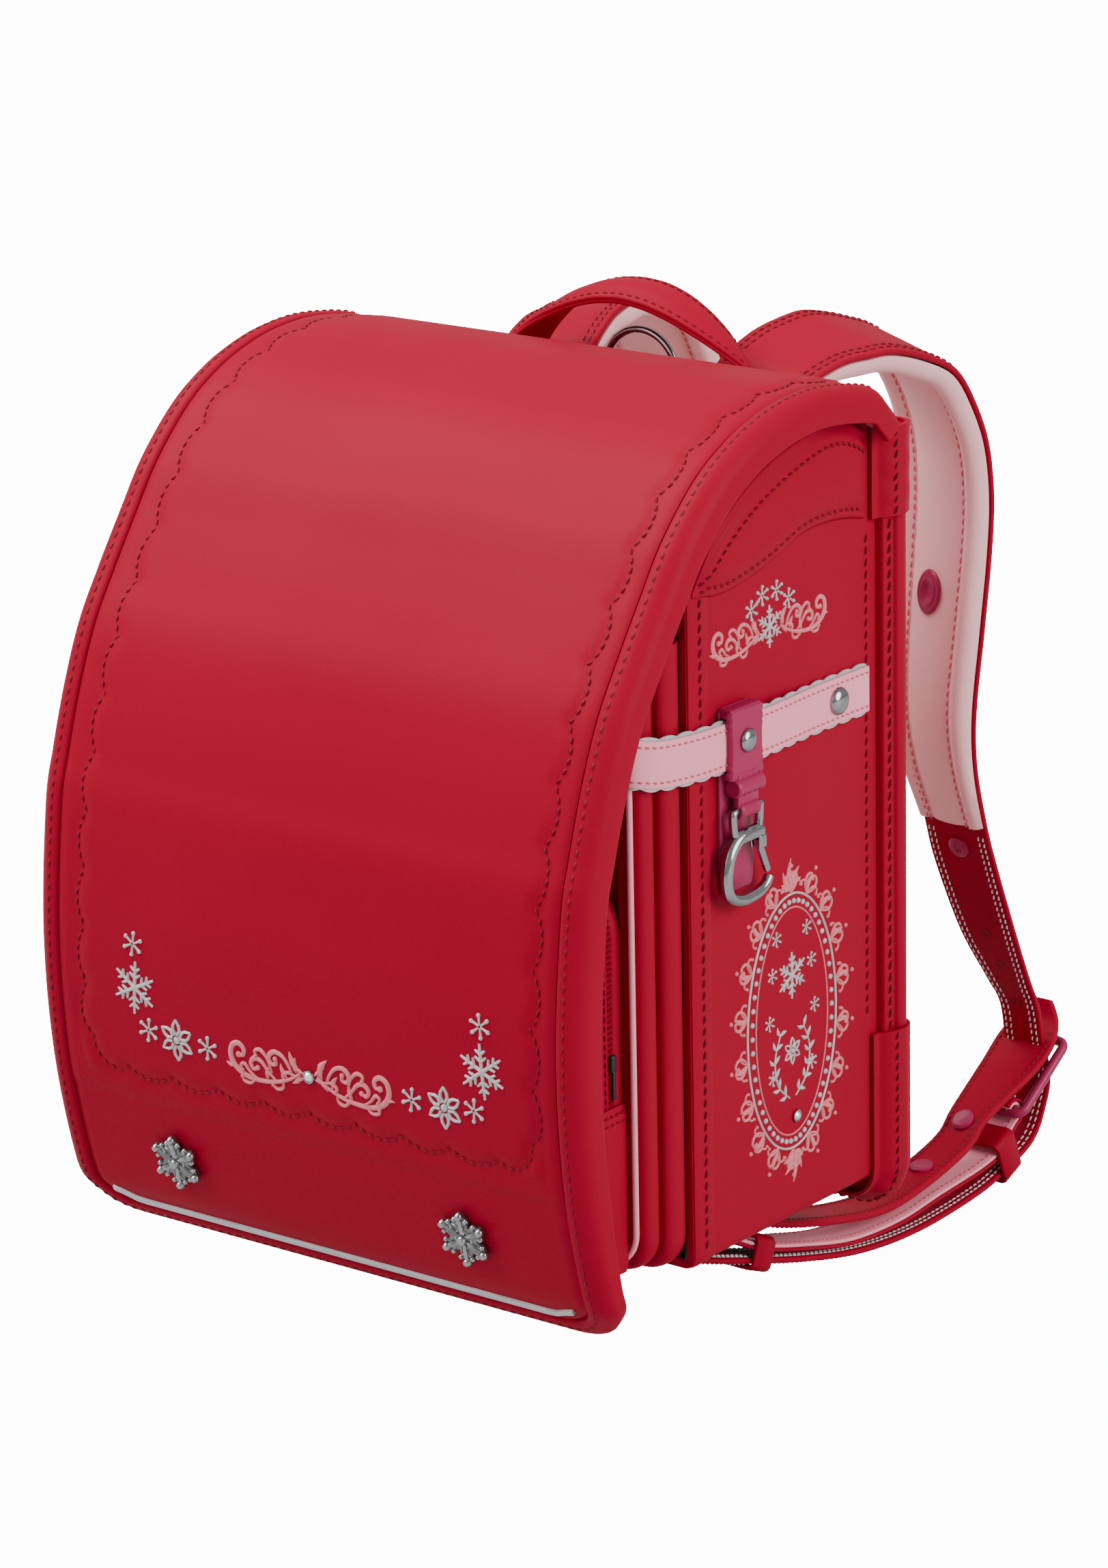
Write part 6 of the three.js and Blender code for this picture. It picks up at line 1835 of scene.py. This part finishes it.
    def fittings(self, stations: list[Station], pad: list[Station], depth: Callable[[int], float]) -> None:
        """The eyelet in the padding, the rivet below it and the belt holes as discs of painted shade.

        Args:
            stations: all the strap's stations.
            pad: those that carry padding.
            depth: how thick the padding is at each.
        """
        form = Form()
        place = min(range(len(pad)), key=lambda i: abs(pad[i].at.z - 204.9) + 0.1 * abs(pad[i].at.y - 190))
        station = pad[place]
        rings = []
        way = station.across.cross(station.normal)
        for radius, lift in ((7.6, 0.0), (7.9, 0.8), (7.0, 1.5), (5.6, 1.3), (4.6, 1.9), (3.4, 1.5),
                             (2.4, 0.7), (0.6, 0.5)):
            rings.append([station.spot(radius * 0.9 * cos(a), -0.9 * depth(place) - lift)
                          + way * (radius * 1.2 * sin(a)) for a in (2 * pi * k / 36 for k in range(36))])
        form.loft(rings)
        place = min(range(len(stations)), key=lambda i: abs(stations[i].at.z - 94.8)
                    + (abs(stations[i].at.y - 203.7) if i > len(pad) else 99))
        station = stations[place]
        for turn, lift in ((-1, 0.0), (1, self.shell_thick)):
            form.turned([(4.9, -0.1), (4.9, 0.9), (3.8, 1.6), (2.2, 1.5), (1.8, 0.9), (0.5, 0.8)],
                        station.spot(0, lift), station.normal * turn, 28)
        make_pair("strap_eyelet", form, MAGENTA_PLASTIC)
        # Each belt hole is a darker leather disc on both faces: painted shade in place of the open hole.
        hole_shade = Form()
        for level in (51.7, 33.0, 14.3):
            place = min(range(len(stations)), key=lambda i: abs(stations[i].at.z - level)
                        + (0 if 200 < stations[i].at.y < 250 and i > len(pad) else 99))
            station = stations[place]
            for turn, lift in ((-1, 0.0), (1, self.shell_thick)):
                hole_shade.turned([(2.3, -0.1), (2.3, 0.12), (1.6, 0.16), (1.3, 0.05), (0.3, 0.04)],
                             station.spot(0, lift), station.normal * turn, 20)
        make_pair("strap_belt_hole_shade", hole_shade, DEEP_LEATHER)


TONGUE_ROWS = ((-0.375, -0.13, 1, 0), (-0.226, -0.311, 1, 0.04), (-0.013, -0.475, 1, 0.1),
               (0.289, -0.639, 1, 0.2), (0.473, -0.689, 1, 0.25), (0.649, -0.656, 1, 0.25),
               (0.811, -0.59, 1, 0.25), (0.9, -0.525, 1, 0.22), (0.965, -0.42, 1, 0.14),
               (1.076, -0.311, 1.16, 0.08), (1.2, -0.195, 1.36, 0.03), (1.293, -0.07, 1.4, 0),
               (1.355, 0.05, 1.1, 0), (1.385, 0.18, 0.5, 0))
BELT_ROWS = ((-0.37, -0.33), (-0.226, -0.492), (-0.016, -0.639), (0.238, -0.779), (0.495, -0.82),
             (0.708, -0.785), (0.921, -0.754), (1.025, -0.721))


@dataclass
class LowerBelts:
    """The lower belts with buckles, keepers, base rings and tabs."""

    thick: float = 3.2
    bar: float = 4.4
    buckle: float = 46.0
    tilt: float = 33.0
    near: Vector = field(default_factory=lambda: Vector((76.0, BOARD_REAR + 1.126 * STRAP_REACH,
                                                         -0.484 * LOOP_DROP)))

    def on_buckle(self, along: float, up: float) -> Vector:
        """A place from the middle of the bar that the buckle hangs on."""
        angle = radians(self.tilt)
        run, rise = Vector((0, cos(angle), sin(angle))), Vector((0, -sin(angle), cos(angle)))
        return self.near + run * along + rise * up

    def stations(self, rows: Sequence[Sequence[float]], between: int = 8) -> list[Station]:
        """Stations of a belt from its rows of back, up, width and toe."""
        fine = smooth_rows(rows, between)
        points = [Vector((BELT_SIDE, BOARD_REAR + row[0] * STRAP_REACH, row[1] * LOOP_DROP)) for row in fine]
        result = []
        for row, at, way in zip(fine, points, tangents(points)):
            wide, toe = (row[2], row[3]) if len(row) > 2 else (1.0, 0.0)
            across = Vector((sqrt(1 - toe * toe), -toe, 0))
            normal = across.cross(way).normalized()
            result.append(Station(at, way.cross(normal), normal, wide * TAIL_WIDTH))
        return result

    def belts(self) -> None:
        """The upper belt with its tongue, and the lower belt that carries the buckle."""
        tongue = self.stations(TONGUE_ROWS)
        form = sweep(tongue, lambda s, i: strip_section(min(s.width, 29.0), -self.thick, 0.0, 1.2))
        make_pair("tongue_belt_leather", form, RED_LEATHER, replaces=["tongue_belt"], crease=50)
        belt = self.stations(BELT_ROWS)
        radius = 0.75 * self.bar + 0.3 + self.thick / 2
        for i in range(15):
            angle = -1.9 + 3.7 * i / 14
            at = self.on_buckle(radius * cos(angle), radius * sin(angle))
            outward = (at - self.near).normalized()
            belt.append(Station(at - outward * (self.thick / 2), Vector((1, 0, 0)), -outward, TAIL_WIDTH))
        make_pair("belt_pink_face", sweep(belt, lambda s, i: strip_section(s.width, -1.55, 0.0, 0.7)),
                  PINK_LEATHER, replaces=["lower_belt"], crease=50)
        make_pair("belt_red_back", sweep(belt, lambda s, i: strip_section(s.width + 0.8, -self.thick, -1.6,
                                                                          0.7)), RED_LEATHER, crease=50)
        red, pink = Form(), Form()
        for sign in (-1, 1):
            for lift, turn in ((0.0, 1), (-self.thick, -1)):
                row = [s.spot(sign * (min(s.width, 29) / 2 - 2.6), lift) for s in tongue[:-12]]
                Seam(3.4, 2.6, 0.75).sewn(red, row, [s.normal * turn for s in tongue[:-12]])
            row = [s.spot(sign * (s.width / 2 - 2.4), 0.0) for s in belt]
            Seam(3.4, 2.6, 0.75).sewn(pink, row, [s.normal for s in belt])
        make_pair("tongue_stitches", red, RED_THREAD)
        make_pair("belt_stitches", pink, PINK_THREAD)
        knobs = Form()
        for y in (197.0, 165.0):
            station = min(tongue, key=lambda s: abs(s.at.y - y))
            knobs.turned([(5.0, -0.1), (5.0, 1.0), (3.9, 1.8), (2.4, 1.6), (0.5, 1.3)], station.spot(0, 0),
                         station.normal, 28)
        make_pair("tongue_rivets", knobs, MAGENTA_PLASTIC)

    def buckles(self) -> None:
        """The buckle's rounded frame and its prong."""
        half = TAIL_WIDTH / 2 + 1.2 + self.bar / 2
        low, high, corner = 0.0, self.buckle - self.bar, 4.0
        points = [self.on_buckle(along, 0) + Vector((side, 0, 0))
                  for side, along in rounded(box_corners(half, low, high, corner), 6)]
        form = Form().tube(points, self.bar / 2, 14, True, (self.on_buckle(0, 1) - self.near).normalized())
        make_pair("buckle_moulding", form, MAGENTA_PLASTIC, replaces=["buckle_frame"])
        rows = smooth_rows([(1.2 * self.bar, 1.8), (0.32 * self.buckle, 3.6), (0.6 * self.buckle, 4.4),
                            (self.buckle - 1.6 * self.bar, 4.0), (self.buckle - 0.5 * self.bar, 3.3)], 5)
        prong = Form().tube([self.on_buckle(a, b) for a, b in rows], 1.3, 12)
        make_pair("buckle_prong", prong, CHROME, replaces=["buckle_pin"])

    def keeper(self, name: str, node: str, back: float, up: float, tilt: float, height: float,
               length: float) -> None:
        """A leather keeper: a flat band closed round the belts."""
        angle = radians(tilt)
        middle = Vector((BELT_SIDE, BOARD_REAR + back * STRAP_REACH, up * LOOP_DROP))
        run, rise = Vector((0, cos(angle), sin(angle))), Vector((0, -sin(angle), cos(angle)))
        half, tall, wall, corner = TAIL_WIDTH / 2 + 0.3 + 1.8, height / 2, 1.8, 3.4
        rings = []
        for grow in (0.0, -wall):
            for place in (-length / 2, -length / 2 + 0.6, length / 2 - 0.6, length / 2):
                pinch = -0.35 if abs(place) == length / 2 else 0.0
                if grow < 0:
                    place, pinch = -place, -pinch
                ring = []
                for u, v, start in ((half - corner, tall - corner, 0), (corner - half, tall - corner, 90),
                                    (corner - half, corner - tall, 180), (half - corner, corner - tall, 270)):
                    for i in range(6):
                        a = radians(start + 18 * i)
                        r = corner + grow + pinch
                        ring.append(middle + Vector((1, 0, 0)) * (u + r * cos(a)) + rise * (v + r * sin(a))
                                    + run * place)
                rings.append(ring)
        make_pair(name, Form().loft(rings, True), RED_LEATHER, replaces=[node], crease=60)

    def rings(self) -> None:
        """The rings under the base and their leather tabs."""
        place = Vector((BELT_SIDE, BOARD_REAR - 0.4 * STRAP_REACH, -0.2 * LOOP_DROP + 3))
        half, tall, corner = TAIL_WIDTH / 2 + 2.5, 5.0, 2.4
        points = [place + Vector((u, 0, v)) for u, v in rounded(box_corners(half, -tall, tall, corner), 5)]
        make_pair("base_ring_wire", Form().tube(points, 1.5, 12, True, Vector((0, 1, 0))), CHROME,
                  replaces=["base_ring"])
        bar = place.z + 5.0
        low, high = (BELT_SIDE - 10, place.y - 14, bar - 3.2), (BELT_SIDE + 10, place.y - 2.0, -0.3)
        form = Form().block(low, high, 1.2)
        loop = []
        for x in (BELT_SIDE - 10, BELT_SIDE + 10):
            ring = [Vector((x, place.y + 3.6 * cos(a), bar + 3.1 * sin(a)))
                    for a in (radians(-100 + 20 * i) for i in range(11))]
            ring += [Vector((x, place.y + 1.9 * cos(a), bar + 1.9 * sin(a)))
                     for a in (radians(100 - 20 * i) for i in range(11))]
            loop.append(ring)
        form.loft(loop)
        make_pair("base_tab_leather", form, RED_LEATHER, replaces=["base_tab"], crease=50)

    def build(self) -> None:
        """Makes every piece of the lower belts."""
        self.belts()
        self.buckles()
        self.keeper("belt_rear_keeper", "rear_keeper", 1.08, -0.77, 22, 21.4, 13)
        self.keeper("belt_front_keeper", "front_keeper", -0.24, -0.551, -22, 15, 13)
        self.rings()


SIDE_BELT_ROWS = ((54.0, 1.4, 0), (18, 1.6, 0), (-12, 3.3, 0), (-50, 3.3, 0), (-68, 1.6, 0.5),
                  (-80, 0.2, 1.6), (-87.0, -2.2, 3), (-90.7, -5.6, 4), (-91.0, -12, 5), (-91.0, -34, 7))


@dataclass
class SideBelt:
    """The side belt, its plastic keeper and the snap hook."""

    height: float = 20.0
    level: float = 205.0
    hook_level: float = 179.0
    hook_place: float = -33.0
    keeper_out: float = 129.7
    hook_out: float = 131.1

    def stations(self) -> list[Station]:
        """Stations along the belt, with its height across and the way out as normal."""
        rows = smooth_rows(SIDE_BELT_ROWS, 10)
        points = [Vector((HALF_WIDTH + out, place, self.level + rise)) for place, out, rise in rows]
        up = Vector((0, 0, 1))
        return [Station(at, up, up.cross(way).normalized(), self.height)
                for at, way in zip(points, tangents(points))]

    def belt(self) -> None:
        """The pink belt over a silver backing with scalloped edges, and its rivet."""
        stations = self.stations()
        make_pair("side_belt_leather", sweep(stations, lambda s, i: strip_section(18.4, -0.1, 1.15, 0.5)),
                  PINK_LEATHER, replaces=["side_belt"], crease=50)
        passed = [0.0]
        for here, before in zip(stations[1:], stations):
            passed.append(passed[-1] + (here.at - before.at).length)
        fine: list[Station] = []
        ways: list[float] = []
        for k in range(int(passed[-1] / 0.9)):
            way = 0.9 * k
            i = max(j for j in range(len(passed) - 1) if passed[j] <= way)
            share = (way - passed[i]) / (passed[i + 1] - passed[i])
            fine.append(Station(stations[i].at.lerp(stations[i + 1].at, share), stations[i].across,
                                stations[i].normal.lerp(stations[i + 1].normal, share).normalized(), 0))
            ways.append(way)

        def scalloped(station: Station, i: int) -> list[Flat]:
            """The backing with its waves."""
            half = 9.5 + 1.1 * abs(sin(pi * ways[i] / 9.5)) ** 0.7
            return [(-half, -0.95), (half, -0.95), (half, -0.25), (-half, -0.25)]

        make_pair("side_belt_scallops", sweep(fine, scalloped), SILVER_FILM)
        seams = Form()
        for edge in (-6.8, 6.8):
            row = [s.spot(edge, 1.15) for s in stations]
            Seam(3.3, 2.4, 0.75).sewn(seams, row, [s.normal for s in stations])
        make_pair("side_belt_stitches", seams, PINK_THREAD)
        out = Vector((1, 0, 0))
        dome = [(5.5, -0.4), (5.6, 0.3), (5.1, 1.2), (3.9, 2.0), (2.2, 2.5), (0.5, 2.65)]
        make_pair("side_belt_rivet", Form().turned(dome, Vector((127.9, 33.0, self.level)), out, 36),
                  CHROME, replaces=["belt_rivet"], crease=60)
        dome = [(4.6, -0.2), (4.6, 0.3), (4.1, 1.0), (2.9, 1.6), (1.6, 1.9), (0.4, 2.0)]
        make_pair("keeper_dome_rivet", Form().turned(dome, Vector((132.6, self.hook_place, self.level + 1)),
                                                     out, 32), CHROME, replaces=["keeper_rivet"], crease=60)

    def keeper(self) -> None:
        """The moulded keeper: a loop round the belt, a ribbed front and a plate behind the hook."""
        y, z, out = self.hook_place, self.level, self.keeper_out
        form = Form()
        half = 10.0
        outline_points = []
        for u, v, radius, start in ((half - 1.5, -25.0 - 26, 8.0, -90), (half - 2.5, 11.5, 3.0, 0),
                                    (2.5 - half, 11.5, 3.0, 90), (1.5 - half, -25.0 - 26, 8.0, 180)):
            for i in range(9):
                angle = radians(start + 11.25 * i)
                outline_points.append((u + radius * cos(angle) * (0.28 if v < 0 else 1),
                                       v + radius * sin(angle)))
        rings = []
        for x, grow in ((125.3, -0.5), (125.6, 0.0), (126.4, 0.0), (126.9, -0.6)):
            rings.append([Vector((x, y + u * (1 + grow / 11), z + v + (grow if v > 0 else -grow)))
                          for u, v in outline_points])
        form.loft(rings)
        rows = []
        for i in range(41):
            v = -13.2 + 26.8 * i / 40
            rib = 0.7 * abs(sin(i * 0.62)) * ramp(-6, 0, abs(v) - 8)
            wide = half + rib
            rows.append([Vector((x, y + s, z + v)) for x, s in (
                (out, -wide), (out + 1.6, -wide), (out + 2.5, -wide + 0.8), (out + 2.5, wide - 0.8),
                (out + 1.6, wide), (out, wide))])
        form.loft(rows)
        form.block((125.3, y - half, z + 10.3), (out + 2.2, y + half, z + 14.4), 1.2)
        form.block((125.3, y - half, z - 13.4), (out + 2.2, y + half, z - 10.3), 1.0)
        hook = self.hook_level
        form.block((self.hook_out - 1.4, y - 6.5, hook + 1), (self.hook_out + 1.4, y + 6.5, z - 11), 0.6)
        across = Vector((0, 1, 0))
        for radius, length, level in ((3.9, 17.0, hook + 9.5), (3.3, 12.0, hook)):
            rows2 = [(radius - 0.7, -length / 2), (radius, -length / 2 + 0.8)]
            rows2 += [(radius - (0.45 if k % 2 else 0), -length / 2 + 1.6 + k * (length - 3.2) / 8)
                      for k in range(9)]
            rows2 += [(radius, length / 2 - 0.8), (radius - 0.7, length / 2)]
            form.turned(rows2, Vector((self.hook_out, y, level)), across, 20)
        make_pair("side_belt_keeper", form, MAGENTA_PLASTIC, replaces=["hook_keeper"], crease=45)

    def wire(self, rows: Sequence[Flat], radius: float, between: int = 5, endless: bool = False) -> Form:
        """A wire of the hook through points in the plane of the bag's side."""
        closed = [*rows, rows[0]] if endless else rows
        fine = smooth_rows(closed, between)
        points = [Vector((self.hook_out, self.hook_place + y, self.hook_level + z)) for y, z in fine]
        if endless:
            points = points[:-1]
        return Form().tube(points, radius, 14, endless)

    def hook(self) -> None:
        """The snap hook: an eye, a pear-shaped body that tapers, and its gate."""
        form = self.wire([(-7.6, 0), (-8.6, -1.4), (-7.9, -8.0), (-6.0, -9.0), (6.0, -9.0), (7.9, -8.0),
                          (8.6, -1.4), (7.6, 0)], 1.7, 5, True)
        frame = smooth_rows([(2.5, -10.6, 2.6), (-3.0, -10.4, 2.8), (-8.2, -12.8, 2.8), (-12.0, -18, 2.8),
                             (-13.4, -26, 2.7), (-10.8, -32.6, 2.6), (-3, -35.6, 2.5), (6.5, -35.3, 2.3),
                             (12.0, -33.2, 2.1), (14.4, -30.4, 1.9)], 5)
        points = [Vector((self.hook_out, self.hook_place + y, self.hook_level + z)) for y, z, _ in frame]
        rings = []
        for at, way, (_, _, radius) in zip(points, tangents(points), frame):
            side = Vector((1, 0, 0))
            other = way.cross(side)
            rings.append([at + (side * cos(a) + other * sin(a)) * radius
                          for a in (2 * pi * k / 16 for k in range(16))])
        form.loft(rings)
        base = Vector((self.hook_out, self.hook_place, self.hook_level))
        form.block(base + Vector((-2.6, -5.5, -12.8)), base + Vector((2.6, 9.6, -8.4)), 1.2)
        for side in (-1, 1):
            form.block(base + Vector((side * 1.95 - 0.65, 5.2, -17.2)),
                       base + Vector((side * 1.95 + 0.65, 9.8, -12.0)), 0.5)
        make_pair("snap_hook_casting", form, CHROME, body="hook", replaces=["hook_body"], crease=50)
        gate = Form()
        rings = []
        start, end = Vector((7.5, -15)), Vector((13.4, -28))
        way = (end - start).normalized()
        normal = Vector((-way.y, way.x))
        for share, half in ((-0.12, 1.2), (0.0, 1.9), (0.15, 1.6), (0.6, 1.45), (0.94, 1.45), (1.0, 1.0)):
            at = start.lerp(end, share)
            rings.append([Vector((self.hook_out + x * 0.95, self.hook_place + at.x + normal.x * s * half,
                                  self.hook_level + at.y + normal.y * s * half)) for x,
                          s in ((-1, -0.7), (-0.7, -1), (0.7, -1), (1, -0.7), (1, 0.7), (0.7, 1), (-0.7, 1),
                                (-1, 0.7))])
        gate.loft(rings)
        make_pair("snap_hook_gate", gate, CHROME, body="gate", replaces=["hook_gate"])

    def build(self) -> None:
        """Makes every piece of the side belts."""
        self.belt()
        self.keeper()
        self.hook()


@dataclass
class Closure:
    """The closure under the bag: a tongue from the flap's foot and the plate that it locks to."""

    width: float = 34.0

    def build(self, flap: Flap) -> None:
        """Makes the tongue and the plate, set against the flap's foot."""
        foot = flap.at(flap.panel_length - 20)
        start = foot[0] - foot[2] * 4.8
        rows = [(start.y, start.z), (-123.8, 8), (-119.2, 2.4), (-111.8, 0.4), (-86.8, -2), (-62, -3.2),
                (-48, -3.4)]
        points = [Vector((0, y, z)) for y, z in smooth_rows(rows, 6)]
        across = Vector((1, 0, 0))
        stations = [Station(at, across, way.cross(across), self.width) for at,
                    way in zip(points, tangents(points))]
        make("lock_tongue_leather", sweep(stations, lambda s, i: strip_section(self.width, -1.3, 1.3, 0.8)),
             DEEP_LEATHER, replaces=["lock_tongue"])
        middle = Vector((0, -30, -0.3))
        down = Vector((0, 0, -1))
        form = Form().turned([(14.2, 0), (15, 0.8), (14.8, 2.2), (13.6, 3.0), (10.4, 3.0), (9.8, 2.3),
                              (5.2, 2.3), (4.6, 3.0), (0.4, 3.0)], middle, down, 48)
        make("lock_plate_turned", form, CHROME, replaces=["lock_plate"])


@dataclass
class Studio:
    """Camera, floor and light."""

    azimuth: float = 38.09
    elevation: float = 16.65
    roll: float = -1.19
    lens: float = 127.97
    distance: float = 2211.4
    floor_level: float = -0.4068
    glow: float = 13.0

    def camera(self) -> None:
        """The camera at the photograph's viewing angle."""
        a, e, r = (radians(v) for v in (self.azimuth, self.elevation, self.roll))
        back = Vector((sin(a) * cos(e), -cos(a) * cos(e), sin(e)))
        right = Vector((0, 0, 1)).cross(back).normalized()
        up = back.cross(right)
        turned_right = right * cos(r) + up * sin(r)
        turned_up = up * cos(r) - right * sin(r)
        place = Vector((11.7 * cos(a), 11.7 * sin(a), 158.6)) + back * self.distance
        place = Vector((place.x, place.y - 76.0, place.z - HANDLE_UNDER)) / 1000
        basis = Matrix((turned_right, turned_up, back)).transposed().to_4x4()
        data = bpy.data.cameras.new("camera")
        data.lens = self.lens
        data.sensor_fit = "VERTICAL"
        data.sensor_height = 36.0
        data.clip_end = 100.0
        camera = bpy.data.objects.new("camera", data)
        camera.matrix_world = Matrix.Translation(place) @ basis
        bpy.context.scene.collection.objects.link(camera)
        bpy.context.scene.camera = camera

    def floor(self) -> None:
        """A wide pale floor under the lowest strap."""
        mesh = bpy.data.meshes.new("floor")
        maker = bmesh.new()
        bmesh.ops.create_grid(maker, x_segments=40, y_segments=40, size=20.0)
        maker.to_mesh(mesh)
        maker.free()
        floor = bpy.data.objects.new("floor", mesh)
        floor.location = (0, 0, self.floor_level)
        floor.data.materials.append(self.paper())
        bpy.context.scene.collection.objects.link(floor)

    def paper(self) -> bpy.types.Material:
        """The floor's white paper, lit through from below where the camera sees it."""
        material = PAPER_FLOOR.material()
        shader = material.node_tree.nodes["Principled BSDF"]
        shader.inputs["Emission Color"].default_value = (1.0, 1.0, 1.0, 1.0)
        wiring = Wiring(material.node_tree)
        path = wiring.node("LightPath")
        glow = wiring.sum("MULTIPLY", path.outputs["Is Camera Ray"], self.glow)
        wiring.link(glow, shader.inputs["Emission Strength"])
        return material

    def light(self, name: str, toward: Sequence[float], far: float, size: float, power: float) -> None:
        """A soft area light aimed at the bag."""
        data = bpy.data.lights.new(name, "AREA")
        data.shape = "DISK"
        data.size = size
        data.energy = power
        lamp = bpy.data.objects.new(name, data)
        way = Vector(toward).normalized()
        target = Vector((0, -0.05, -0.18))
        lamp.location = target + way * far
        lamp.rotation_euler = way.to_track_quat("Z", "Y").to_euler()
        bpy.context.scene.collection.objects.link(lamp)

    def build(self) -> None:
        """Sets up the studio."""
        self.floor()
        world = bpy.data.worlds.new("studio")
        bpy.context.scene.world = world
        world.use_nodes = True
        sky = world.node_tree.nodes["Background"]
        sky.inputs["Color"].default_value = (1.0, 1.0, 1.0, 1.0)
        sky.inputs["Strength"].default_value = 0.46
        self.light("key", (-0.45, -0.3, 0.85), 2.4, 2.4, 100.0)
        self.light("front", (-0.1, -1.0, 0.6), 3.0, 2.6, 14.0)
        self.light("side", (1.0, 0.15, 0.42), 3.0, 2.4, 88.0)


def main() -> None:
    """Builds the studio and every sub-assembly in order."""
    logging.basicConfig(level=logging.INFO, format="%(name)s %(message)s")
    studio = Studio()
    studio.camera()
    flap = Flap()
    for part in (Compartment(), Back(), Pockets(), Carrying(), Straps(), LowerBelts(), SideBelt()):
        LOG.info("building %s", type(part).__name__)
        part.build()
    flap.build()
    Closure().build(flap)
    studio.build()


if __name__ == "__main__":
    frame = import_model()
    main()
